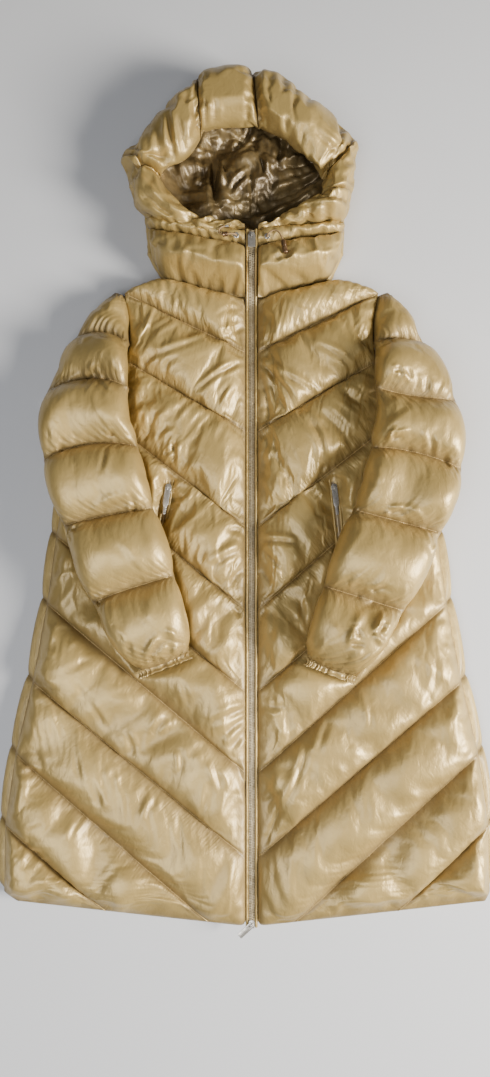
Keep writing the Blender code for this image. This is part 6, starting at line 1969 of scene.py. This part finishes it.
def floor_pad(name, table, round_end):
    """A pad through rows of (y, left, right): flat on the floor and on top, its edges half round."""
    places = np.linspace(0.0, len(table) - 1, round((table[-1, 0] - table[0, 0]) / 0.004) + 1)
    rows = smooth_through(table, places)
    share = 0.5 - 0.5 * np.cos(np.linspace(0.0, math.pi, 41))
    x = rows[:, 1:2] + (rows[:, 2:3] - rows[:, 1:2]) * share
    y = rows[:, :1] + 0 * x
    way = np.minimum(x - rows[:, 1:2], rows[:, 2:3] - x)
    if round_end:
        way = np.minimum(way, table[-1, 0] - y)
    lump = 0.0012 * ripples(y, way, 14, (0.012, 0.04), 0.0, 81)
    edge = 1.0 - smoothstep(0.012, 0.030, way)
    low = BACK_MIDDLE * (1.0 - quarter_round(way, BACK_ROUNDING)) + np.abs(lump) * edge
    high = BACK_MIDDLE + (BACK_THICK - BACK_MIDDLE) * quarter_round(way, 0.014) - np.abs(lump) * edge
    x = x + np.sign(x) * lump * edge * 0.8
    layers = [np.stack([x, y + WAIST, height, 0 * x], -1) for height in (low, high)]
    return tube(name + "_pad", np.concatenate([layers[0], layers[1][:, ::-1]], axis=1), [name])


floor_pad("hood_back", HOOD_BACK, True)
floor_pad("collar_back", COLLAR_BACK, False)


# %% Lining as a piece
LINING_THICK = 0.0006
LINING_CLEAR = 0.0008
LINING_EASE, LINING_EASE_PASSES = 0.64, 8


def finish_lining():
    """The crumpled grid, folded and kept off the hood's back, as a closed shell of its own thickness."""
    grid = split_grid(calmed(blown["lining"], LINING_EASE, LINING_EASE_PASSES, False))
    grid = folded(grid, FOLDS["lining"], lining_middle(grid))
    grid[..., 2] = np.maximum(grid[..., 2], HOOD_FLOOR + LINING_CLEAR)
    piece = new_piece("hood_lining_cloth", grid[..., :3], join_faces(grid_faces(*grid.shape[:2])), LINING)
    if piece.data.polygons[0].normal.z < 0:
        piece.data.flip_normals()
    wall = piece.modifiers.new("Cloth_thickness", "SOLIDIFY")
    wall.thickness = LINING_THICK
    wall.offset = -1.0
    area = sum(face.area for face in piece.data.polygons)
    dress(piece, ["hood_lining"])
    return piece, area


lining, lining_area = finish_lining()
print("lining shows", round(lining_area, 4), "m2")


# %% Cuffs
CUFF_AROUND = 300
CUFF_RINGS = 37
CUFF_DEPTH = 0.0015  # height of the gathers
CUFF_RUFFLE = 0.0010  # how far they sway along the sleeve
CUFF_WAVES = ((31, 0.50, 0.3), (43, 0.38, 1.7), (19, 0.34, 0.9), (59, 0.12, 2.2))
CUFF_STATIONS = np.array([
    # out of the sleeve's end, added half width, half height, share of the gathers
    (0.0003, -0.0040, 0.0070, 0.7), (0.0016, -0.0050, 0.0074, 1.0), (0.0030, -0.0075, 0.0066, 1.0),
    (0.0052, -0.0085, 0.0062, 1.0), (0.0076, -0.0078, 0.0066, 1.0), (0.0098, -0.0056, 0.0080, 1.0),
    (0.0114, -0.0046, 0.0085, 0.9), (0.0121, -0.0054, 0.0079, 0.8), (0.0121, -0.0072, 0.0062, 0.6),
    (0.0108, -0.0096, 0.0043, 0.4), (0.0080, -0.0116, 0.0031, 0.2), (0.0040, -0.0128, 0.0027, 0.1),
    (0.0006, -0.0130, 0.0025, 0.0),
])


def cuff_ring_places(side):
    """The cuff's points: a flattened ring at each station, rippled round by the elastic's gathers."""
    last = SLEEVE_ROWS[side][-1]
    inner, outer = last[1:3], last[3:5]
    half = math.hypot(*(outer - inner)) / 2
    across = (outer - inner) / (2 * half)
    table = smooth_through(CUFF_STATIONS, np.linspace(0.0, len(CUFF_STATIONS) - 1, CUFF_RINGS))
    station = np.arange(CUFF_RINGS)[:, None]
    turn = np.linspace(0.0, 2 * math.pi, CUFF_AROUND, endpoint=False)[None, :]
    gather = 0.0
    uneven = turn + 0.10 * np.sin(3.0 * turn + SEEDS[side]) + 0.05 * np.sin(7.0 * turn)
    for waves, weight, phase in CUFF_WAVES:
        gather = gather + weight * np.cos(waves * uneven + phase + SEEDS[side])
    depth = CUFF_DEPTH * gather * table[:, 3:4]
    wide = (half + table[:, 1:2] + 0.5 * depth) * np.sign(np.cos(turn)) * np.abs(np.cos(turn)) ** 0.8
    tall = np.minimum(table[:, 2:3] + depth, CUFF_HALF_HEIGHT + 0.0040)
    tall = tall * np.sign(np.sin(turn)) * np.abs(np.sin(turn)) ** 0.7
    along = cuff_direction(side)
    spot = (inner + outer) / 2 + along * table[:, :1]
    ruffle = CUFF_RUFFLE * gather * table[:, 3:4] * smoothstep(6.0, 12.0, station)
    x = SIGN[side] * (spot[:, :1] + across[0] * wide + along[0] * ruffle)
    y = spot[:, 1:2] + across[1] * wide + along[1] * ruffle + WAIST
    # Painted shade: the cuff is painted browner all over, more in the gathers' valleys and most on its
    # turned-in end, where shade falls.
    seam = (0.30 + 0.6 * np.clip(-gather, 0.0, 1.0)) * table[:, 3:4]
    seam = seam + 0.9 * smoothstep(24, 34, station)
    return np.stack([x, y, SLEEVE_RISE + CUFF_HALF_HEIGHT + tall, np.clip(seam, 0.0, 1.0) + 0 * x], -1)


for side in SIGN:
    tube("cuff_" + side + "_gathers", cuff_ring_places(side), ["cuff_" + side], 80)

# %% [markdown]
# ## The front zip
# A two-way zip runs from the hem up over the collar to the face opening. Its tape is sewn between two
# rolled edges of shell cloth. Its teeth are single metal lugs, clamped on alternately from each side, a
# pitch of two and a half millimetres apart: a few faces each, all in one piece.

# %% The zip's path
ZIP_LEVEL = round(BACK_THICK + GAP, 4)
ZIP_PATH = np.array([
    # y, height: level from the hem to the chest, then up over the collar
    (-0.5290, ZIP_LEVEL), *((y, ZIP_LEVEL) for y in np.round(np.linspace(-0.47, 0.37, 15), 2)),
    (0.4200, ZIP_LEVEL), (0.4500, 0.0255), (0.4680, 0.0310), (0.4830, 0.0400),
    (0.4980, 0.0510), (0.5120, 0.0600), (0.5240, 0.0665), (0.5360, 0.0695), (0.5450, 0.0700),
    (0.5630, 0.0700),
])
TAPE_THICK = 0.0008
TEETH_HALF = 0.0050
TEETH_PITCH = 0.0025
PIPING_AT = 0.0071
PIPING_HALF = 0.0018
PIPING_RISE = 0.0016
ZIP_LOW = TAPE_THICK + GAP


def zip_frame(step):
    """Places along the zip with the way it runs there and the way it faces: arrays of (y, z)."""
    places = even_places(ZIP_PATH, step)
    spot = smooth_through(ZIP_PATH, places)
    along = unit(np.gradient(spot, axis=0))
    return spot, along, np.stack([-along[:, 1], along[:, 0]], -1)


def swept(profile, step, wobble=0.0, seed=0):
    """A closed profile of (x, height) carried square to the zip's path, its size rippling a little."""
    spot, _, up = zip_frame(step)
    run = np.arange(len(spot)) * step
    middle = profile.mean(axis=0)
    size = 1.0 + wobble * ripples(run, 0 * run, 10, (0.006, 0.03), 0.0, seed)
    x = middle[0] + (profile[None, :, 0] - middle[0]) * size[:, None]
    rise = profile[None, :, 1] * size[:, None]
    y = spot[:, :1] + up[:, :1] * rise
    z = spot[:, 1:] + up[:, 1:] * rise
    return np.stack([x + 0 * y, y + WAIST, z, 0 * y], -1)


def swept_piece(name, profile, step, material, nodes, wobble=0.0, seed=0):
    """A closed piece with one profile all along the zip."""
    grid = swept(np.asarray(profile), step, wobble, seed)
    faces = tube_faces(*grid.shape[:2])
    piece = new_piece(name, grid[..., :3], faces, material, grid[..., 3], 50, True)
    return dress(piece, nodes)


# %% Tape and rolled edges
TAPE_HALF = 0.0094
strip = [(-TAPE_HALF, 0.0), (TAPE_HALF, 0.0), (TAPE_HALF, TAPE_THICK), (-TAPE_HALF, TAPE_THICK)]
swept_piece("zip_tape_strip", strip, 0.004, TAPE, ["zip_tape"])
TURNS = np.arange(14) * 2 * math.pi / 14
for side in SIGN:
    roll = np.stack([SIGN[side] * PIPING_AT + PIPING_HALF * np.cos(TURNS),
                     ZIP_LOW + PIPING_RISE + PIPING_RISE * np.sin(TURNS)], -1)
    swept_piece("piping_" + side + "_roll", roll, 0.0022, SHELL, ["piping_" + side], 0.07,
                90 + SEEDS[side])


# %% Teeth
LUG = np.array([
    # x, height: from the outside in past the middle
    (-TEETH_HALF, 0.0), (-TEETH_HALF, 0.0013), (-TEETH_HALF + 0.0008, 0.0021),
    (0.0002, 0.0022), (0.0011, 0.0014), (0.0011, 0.0),
])
LUG_PLACES = np.array([-0.00085, -0.00060, 0.00060, 0.00085])
LUG_SCALES = np.array([0.78, 1.0, 1.0, 0.78])


def teeth_points():
    """All teeth at once. A tooth is the lug's ring at four places along the zip, the outer two smaller."""
    spot, along, up = (part[2:-2, :, None, None] for part in zip_frame(TEETH_PITCH / 2))
    mirror = np.where(np.arange(len(spot)) % 2, 1.0, -1.0)[:, None, None]
    middle = LUG.mean(axis=0)
    ring = middle + (LUG - middle) * LUG_SCALES[:, None, None]
    x = mirror * -ring[..., 0]
    rise = ZIP_LOW + ring[..., 1]
    y, z = (spot[:, k] + along[:, k] * LUG_PLACES[:, None] + up[:, k] * rise for k in (0, 1))
    return np.stack([x + 0 * y, y + WAIST, z], -1)


teeth = teeth_points()
sides, ends = rings_faces(len(teeth), 4, 6)
zip_teeth = new_piece("zip_teeth_row", teeth, join_faces(sides, ends), CHAMPAGNE, None, 40, True)
dress(zip_teeth, ["zip_teeth"])
print(len(teeth), "teeth")

# %% [markdown]
# ## Sliders and pulls
# A slider is a flat shield with a bail over it, and its pull a plate with a window that hangs on the
# bail. Both are flat shapes cut out and bevelled, as they are punched: an outline with rounded corners,
# a hole where there is one, and a thickness. The pulls ride on their own bodies, so they swing.

# %% Punched plates
SLIDER_THICK = 0.0026
BAR_RISE = 0.0013
BAIL_TOP = 0.0040
PULL_THICK = 0.0012
SLIDERS = {
    # name: x, y, height under the slider, turn, half width, length, tail half width
    "top": (0.0, 0.5520, 0.0733, 0.0, 0.0060, 0.0195, 0.0060),
    "hem": (0.0, -0.5235, 0.0276, -48.0, 0.0045, 0.0260, 0.0045),
}
POCKET_PULL = (0.0045, 0.0440, 0.0022)
PLATE_THICK = 0.0013
SHIELD = [
    (-0.0034, -0.0060), (0.0034, -0.0060), (0.0048, -0.0024), (0.0048, 0.0030),
    (0.0029, 0.0060), (-0.0029, 0.0060), (-0.0048, 0.0030), (-0.0048, -0.0024),
]
BAIL_ARCH = [
    (-0.0030, -0.0010), (-0.0030, BAIL_TOP), (0.0030, BAIL_TOP), (0.0030, -0.0010),
    (0.0015, -0.0010), (0.0015, 0.0026), (-0.0015, 0.0026), (-0.0015, -0.0010),
]
PULL_WINDOW = [(-0.0016, -0.0007), (-0.0016, -0.0046), (0.0016, -0.0046), (0.0016, -0.0007)]


def rounded_corners(corners, radius, steps=5):
    """An outline with each corner swapped for a curve: (1-t)^2 a + 2t(1-t) corner + t^2 b."""
    corners = np.asarray(corners, float)
    before, after = np.roll(corners, 1, axis=0) - corners, np.roll(corners, -1, axis=0) - corners
    short = [np.linalg.norm(way, axis=1, keepdims=True) for way in (before, after)]
    a = corners + before * np.minimum(radius / short[0], 0.45)
    b = corners + after * np.minimum(radius / short[1], 0.45)
    t = np.linspace(0.0, 1.0, steps)[None, :, None]
    return ((1 - t) ** 2 * a[:, None] + 2 * t * (1 - t) * corners[:, None] + t**2 * b[:, None]).reshape(-1, 2)


def punched(outlines, thick, bevel):
    """Points and faces of a flat shape with holes, its thickness centred on 0, with bevelled rims."""
    curve = bpy.data.curves.new("punched", "CURVE")
    curve.dimensions = "2D"
    curve.fill_mode = "BOTH"
    curve.extrude = thick / 2 - bevel
    curve.bevel_depth = bevel
    curve.bevel_resolution = 2
    curve.offset = -bevel
    for outline in outlines:
        spline = curve.splines.new("POLY")
        spline.points.add(len(outline) - 1)
        flat = np.column_stack([outline, np.zeros(len(outline)), np.ones(len(outline))])
        spline.points.foreach_set("co", flat.astype(np.float32).ravel())
        spline.use_cyclic_u = True
    holder = bpy.data.objects.new("punched", curve)
    mesh = bpy.data.meshes.new_from_object(holder)
    points = np.empty(len(mesh.vertices) * 3, np.float32)
    mesh.vertices.foreach_get("co", points)
    faces = [list(face.vertices) for face in mesh.polygons]
    bpy.data.objects.remove(holder)
    bpy.data.curves.remove(curve)
    bpy.data.meshes.remove(mesh)
    return points.reshape(-1, 3).astype(float), faces


def placed(points, matrix):
    """Points moved by a matrix."""
    table = np.array(matrix)
    return points @ table[:3, :3].T + table[:3, 3]


def metal_piece(name, parts, material, nodes, body="coat"):
    """One piece from several lots of points and faces, doubles merged and faces turned outwards."""
    points, faces, count = [], [], 0
    for lot, shapes in parts:
        points.append(lot)
        faces += [[i + count for i in face] for face in shapes]
        count += len(lot)
    piece = new_piece(name, np.concatenate(points), faces, material)
    work = bmesh.new()
    work.from_mesh(piece.data)
    bmesh.ops.remove_doubles(work, verts=work.verts, dist=0.000002)
    bmesh.ops.recalc_face_normals(work, faces=work.faces)
    work.to_mesh(piece.data)
    work.free()
    piece.data.shade_smooth()
    piece.data.set_sharp_from_angle(angle=math.radians(35))
    return dress(piece, nodes, body)


# %% Sliders and pulls
def make_slider(name, place):
    """A slider's two shields with the bail over them, and its pull, which hangs on the bail."""
    x, y, z, turn, half, length, tail = place
    base = Matrix.Translation((x, y + WAIST, z))
    turned = base @ Matrix.Rotation(math.radians(turn), 4, "Z")
    plate = punched([rounded_corners(SHIELD, 0.0012)], PLATE_THICK, 0.0003)
    lower, upper = ((placed(plate[0], base @ Matrix.Translation((0, 0, level))), plate[1])
                    for level in (PLATE_THICK / 2, SLIDER_THICK - PLATE_THICK / 2))
    bail = punched([rounded_corners(BAIL_ARCH, 0.0009)], 0.0020, 0.0002)
    stand = Matrix(((0, 0, 1, 0), (1, 0, 0, 0), (0, 1, 0, SLIDER_THICK), (0, 0, 0, 1)))
    over = (placed(bail[0], turned @ stand), bail[1])
    metal_piece("slider_" + name + "_body", [lower, upper, over], NICKEL, ["slider_" + name])
    tab = [(-half, 0.0007), (-half, -length * 0.62), (-tail, -length * 0.72), (-tail, -length),
           (tail, -length), (tail, -length * 0.72), (half, -length * 0.62), (half, 0.0007)]
    outlines = [rounded_corners(tab, 0.0014), rounded_corners(PULL_WINDOW, 0.0006)]
    pull = punched(outlines, PULL_THICK, 0.00025)
    level = Matrix.Translation((0, 0, SLIDER_THICK + BAR_RISE))
    metal_piece("pull_" + name + "_plate", [(placed(pull[0], turned @ level), pull[1])], NICKEL,
                ["pull_" + name], "pull_" + name)


for name, place in SLIDERS.items():
    make_slider(name, place)


# %% Pocket zips
POCKET_HALF = 0.0040
POCKET_THICK = 0.0016
COIL_HALF = 0.0012
COIL_RISE, COIL_HIGH = 0.0011, 0.0005  # its middle over the tape, and half its height
COIL_DIP = 0.00022  # between each two turns of the coil
LIP_AT, LIP_HALF = 0.0016, 0.0022  # a lip's middle past the tape's edge, and half its width
LIP_RISE, LIP_HIGH = 0.0012, 0.0020
POCKET_LEVEL = BACK_THICK + FRONT_SEAM + 2 * GAP


def pocket_ends(side):
    """The two ends of a pocket's zip in plan, and the unit way along it."""
    row = np.array([POCKET_ROWS[0] + 0.04, POCKET_ROWS[1] - 0.04])
    start, end = row_ends(side, row)
    x, y = start + (end - start) * POCKET_AT
    ends = np.stack([SIGN[side] * x, y], -1)
    along = ends[1] - ends[0]
    return ends, along / math.hypot(*along)


def pocket_strip(side, profile, count, lift, wobble=0.0, seed=0, overrun=0.0):
    """A profile of (across, up) carried straight along a pocket's zip."""
    ends, along = pocket_ends(side)
    run = np.linspace(-overrun, math.hypot(*(ends[1] - ends[0])) + overrun, count)[:, None]
    across = np.array([-along[1], along[0]])
    profile = np.asarray(profile)
    middle = profile.mean(axis=0)
    size = 1.0 + wobble * ripples(run, 0 * run, 8, (0.006, 0.02), 0.0, seed)
    a = middle[0] + (profile[None, :, 0] - middle[0]) * size
    b = middle[1] + (profile[None, :, 1] - middle[1]) * size
    x = ends[0][0] + along[0] * run + across[0] * a
    y = ends[0][1] + along[1] * run + across[1] * a + WAIST
    return np.stack([x, y, lift + b, 0 * x], -1)


def make_pocket(side):
    """A pocket's zip: its tape, its coil, a padded lip along either side of it, and its slider."""
    tape = [(-POCKET_HALF, 0.0), (POCKET_HALF, 0.0), (POCKET_HALF, 0.0007), (-POCKET_HALF, 0.0007)]
    grid = pocket_strip(side, tape, 40, POCKET_LEVEL)
    faces = tube_faces(*grid.shape[:2])
    piece = new_piece("pocket_tape_" + side, grid[..., :3], faces, TAPE, grid[..., 3], 50, True)
    dress(piece, ["pocket_zip_" + side])
    coil = np.stack([COIL_HALF * np.cos(TURNS), COIL_RISE + COIL_HIGH * np.sin(TURNS)], -1)
    grid = pocket_strip(side, coil, 130, POCKET_LEVEL)
    grid[1::2, :, 2] -= COIL_DIP
    faces = tube_faces(*grid.shape[:2])
    piece = new_piece("pocket_coil_" + side, grid[..., :3], faces, CHAMPAGNE, None, 60, True)
    dress(piece, None)
    for name, sign in (("inner", -1.0), ("outer", 1.0)):
        lip = np.stack([sign * (POCKET_HALF + LIP_AT) + LIP_HALF * np.cos(TURNS),
                        LIP_RISE + LIP_HIGH * np.sin(TURNS)], -1)
        grid = pocket_strip(side, lip, 70, POCKET_LEVEL, 0.10, 95 + SEEDS[side], 0.004)
        # The lips are painted a little browner: a share of 0.15 of the painted seam shade.
        grid[..., 3] = 0.15
        tube("pocket_welt_" + name + "_" + side, grid, None)
    ends, along = pocket_ends(side)
    turn = math.degrees(math.atan2(along[0], -along[1]))
    spot = ends[0] + along * 0.010
    make_slider("pocket_" + side, (*spot, POCKET_LEVEL + POCKET_THICK + GAP, turn, *POCKET_PULL))


for side in SIGN:
    make_pocket(side)

# %% [markdown]
# ## The hood's cord
# The cord comes out of a metal eyelet on each side of the zip. On the wearer's right it runs through a
# lock and ends in a metal tip, and on the left it makes a loop down to a toggle. Each stretch is a
# round tube along one smooth curve, with its own map in turns and metres for the braid.

# %% Cord, eyelets and ends
def in_coat(points):
    """Points counted from the waist, as the coat counts them."""
    return points + np.array([0.0, WAIST, 0.0])


def make_cord(side):
    """One cord along its route, hung on the coat's body in place of its model node."""
    route = in_coat(CORD_ROUTES[side])
    spot = smooth_through(route, even_places(route, 0.0010))
    along = unit(np.gradient(spot, axis=0))
    over = np.cross(along, (0.0, 0.0, 1.0))
    over[np.linalg.norm(over, axis=1) < 1e-3] = (0.0, 1.0, 0.0)
    over = unit(over)
    up = np.cross(over, along)
    turn = np.linspace(0.0, 2 * math.pi, 14, endpoint=False)[:, None]
    points = spot[:, None] + CORD_RADIUS * (over[:, None] * np.cos(turn) + up[:, None] * np.sin(turn))
    columns = points.shape[1]
    faces = tube_faces(*points.shape[:2])
    piece = new_piece("cord_" + side + "_braid", points, faces, BRAID, None, 60, True)
    run = lengths_along(spot)
    spare = piece.data.uv_layers.new(name="cord")
    index = np.empty(len(piece.data.loops), np.int32)
    piece.data.loops.foreach_get("vertex_index", index)
    at = np.stack([(index % columns) / columns, run[index // columns]], -1)
    spare.data.foreach_set("uv", at.astype(np.float32).ravel())
    dress(piece, ["cord_" + side])
    print("cord", side, round(float(run[-1]), 4), "m")


def turned_part(name, ends, profile, nodes, material, hollow=False):
    """A turned piece between two points, from a profile of (share of the length, radius)."""
    first, last = in_coat(ends)
    along = (last - first) / np.linalg.norm(last - first)
    over = np.cross(along, (0.0, 0.0, 1.0))
    up = np.cross(over, along)
    turn = np.linspace(0.0, 2 * math.pi, 28, endpoint=False)
    ring = over * np.cos(turn)[:, None] + up * np.sin(turn)[:, None]
    profile = np.asarray(profile)
    points = first + (last - first) * profile[:, :1, None] + profile[:, 1:, None] * ring[None]
    rows, columns = points.shape[:2]
    faces = tube_faces(rows, columns)
    if hollow:
        near, far = np.arange(columns), (rows - 1) * columns + np.arange(columns)
        bore = np.stack([far, np.roll(far, -1), np.roll(near, -1), near], -1)
        faces = join_faces(grid_faces(rows, columns, True), bore)
    piece = new_piece(name, points, faces, material, None, 35, True)
    return dress(piece, nodes)


LOCK_PROFILE = [
    (0.00, 0.0017), (0.00, 0.0034), (0.06, 0.0038), (0.14, 0.0042), (0.24, 0.0039), (0.30, 0.0037),
    (0.70, 0.0037), (0.76, 0.0039), (0.86, 0.0042), (0.94, 0.0038), (1.00, 0.0034), (1.00, 0.0017),
]
TIP_PROFILE = [
    (0.00, 0.0013), (0.00, 0.0016), (0.06, 0.0018), (0.30, 0.0018), (0.34, 0.0016), (0.40, 0.0018),
    (0.90, 0.0018), (0.97, 0.0015), (1.00, 0.0010),
]
TOGGLE_PROFILE = [
    (0.00, 0.0019), (0.02, 0.0030), (0.06, 0.0038), (0.12, 0.0041), (0.44, 0.0041), (0.47, 0.0036),
    (0.53, 0.0036), (0.56, 0.0041), (0.88, 0.0041), (0.94, 0.0038), (0.98, 0.0030), (1.00, 0.0019),
]
lock = turned_part("cord_lock_barrel", CORD_LOCK, LOCK_PROFILE, ["cord_lock"], BROWN_METAL, hollow=True)
tip = turned_part("cord_tip_ferrule", CORD_TIP, TIP_PROFILE, ["cord_tip"], NICKEL)
toggle = turned_part("cord_toggle_bar", CORD_TOGGLE, TOGGLE_PROFILE, ["cord_toggle"], BROWN_METAL)
make_cord("right")
make_cord("left")


def make_eyelet(side):
    """A rolled metal ring: a rounded profile turned about an upright axis."""
    x, y = EYELETS[side]
    z = float(column(CORD_CHANNEL, 5, abs(x))) + GAP
    profile = rounded_corners([(0.0048, 0.0), (0.0048, 0.0009), (0.0038, 0.0015), (0.0019, 0.0013),
                               (0.0016, 0.0)], 0.0004, 4)
    turn = np.linspace(0.0, 2 * math.pi, 40, endpoint=False)[:, None]
    points = np.stack([x + profile[:, 0] * np.cos(turn), y + WAIST + profile[:, 0] * np.sin(turn),
                       z + profile[:, 1] + 0 * turn], -1)
    rows, columns = points.shape[:2]
    i, j = np.meshgrid(np.arange(rows), np.arange(columns), indexing="ij")
    a, b = (i + 1) % rows, (j + 1) % columns
    faces = np.stack([i * columns + j, i * columns + b, a * columns + b, a * columns + j], -1).reshape(-1, 4)
    piece = new_piece("eyelet_" + side + "_ring", points, faces, NICKEL, None, 50, True)
    dress(piece, ["eyelet_" + side])


for side in SIGN:
    make_eyelet(side)

# %% Floor
FLOOR_HALF = 4.0
FLOOR_LEVEL = -0.0006
corners = [(x, y, FLOOR_LEVEL) for x, y in ((-FLOOR_HALF, -FLOOR_HALF), (FLOOR_HALF, -FLOOR_HALF),
                                            (FLOOR_HALF, FLOOR_HALF), (-FLOOR_HALF, FLOOR_HALF))]
floor_mesh = bpy.data.meshes.new("floor")
floor_mesh.from_pydata(corners, [], [(0, 1, 2, 3)])
floor = bpy.data.objects.new("floor", floor_mesh)
bpy.context.scene.collection.objects.link(floor)
paper = Finish("pale_floor", Base_Color=(0.62, 0.63, 0.65, 1.0), Roughness=0.7)
floor_mesh.materials.append(paper.material)
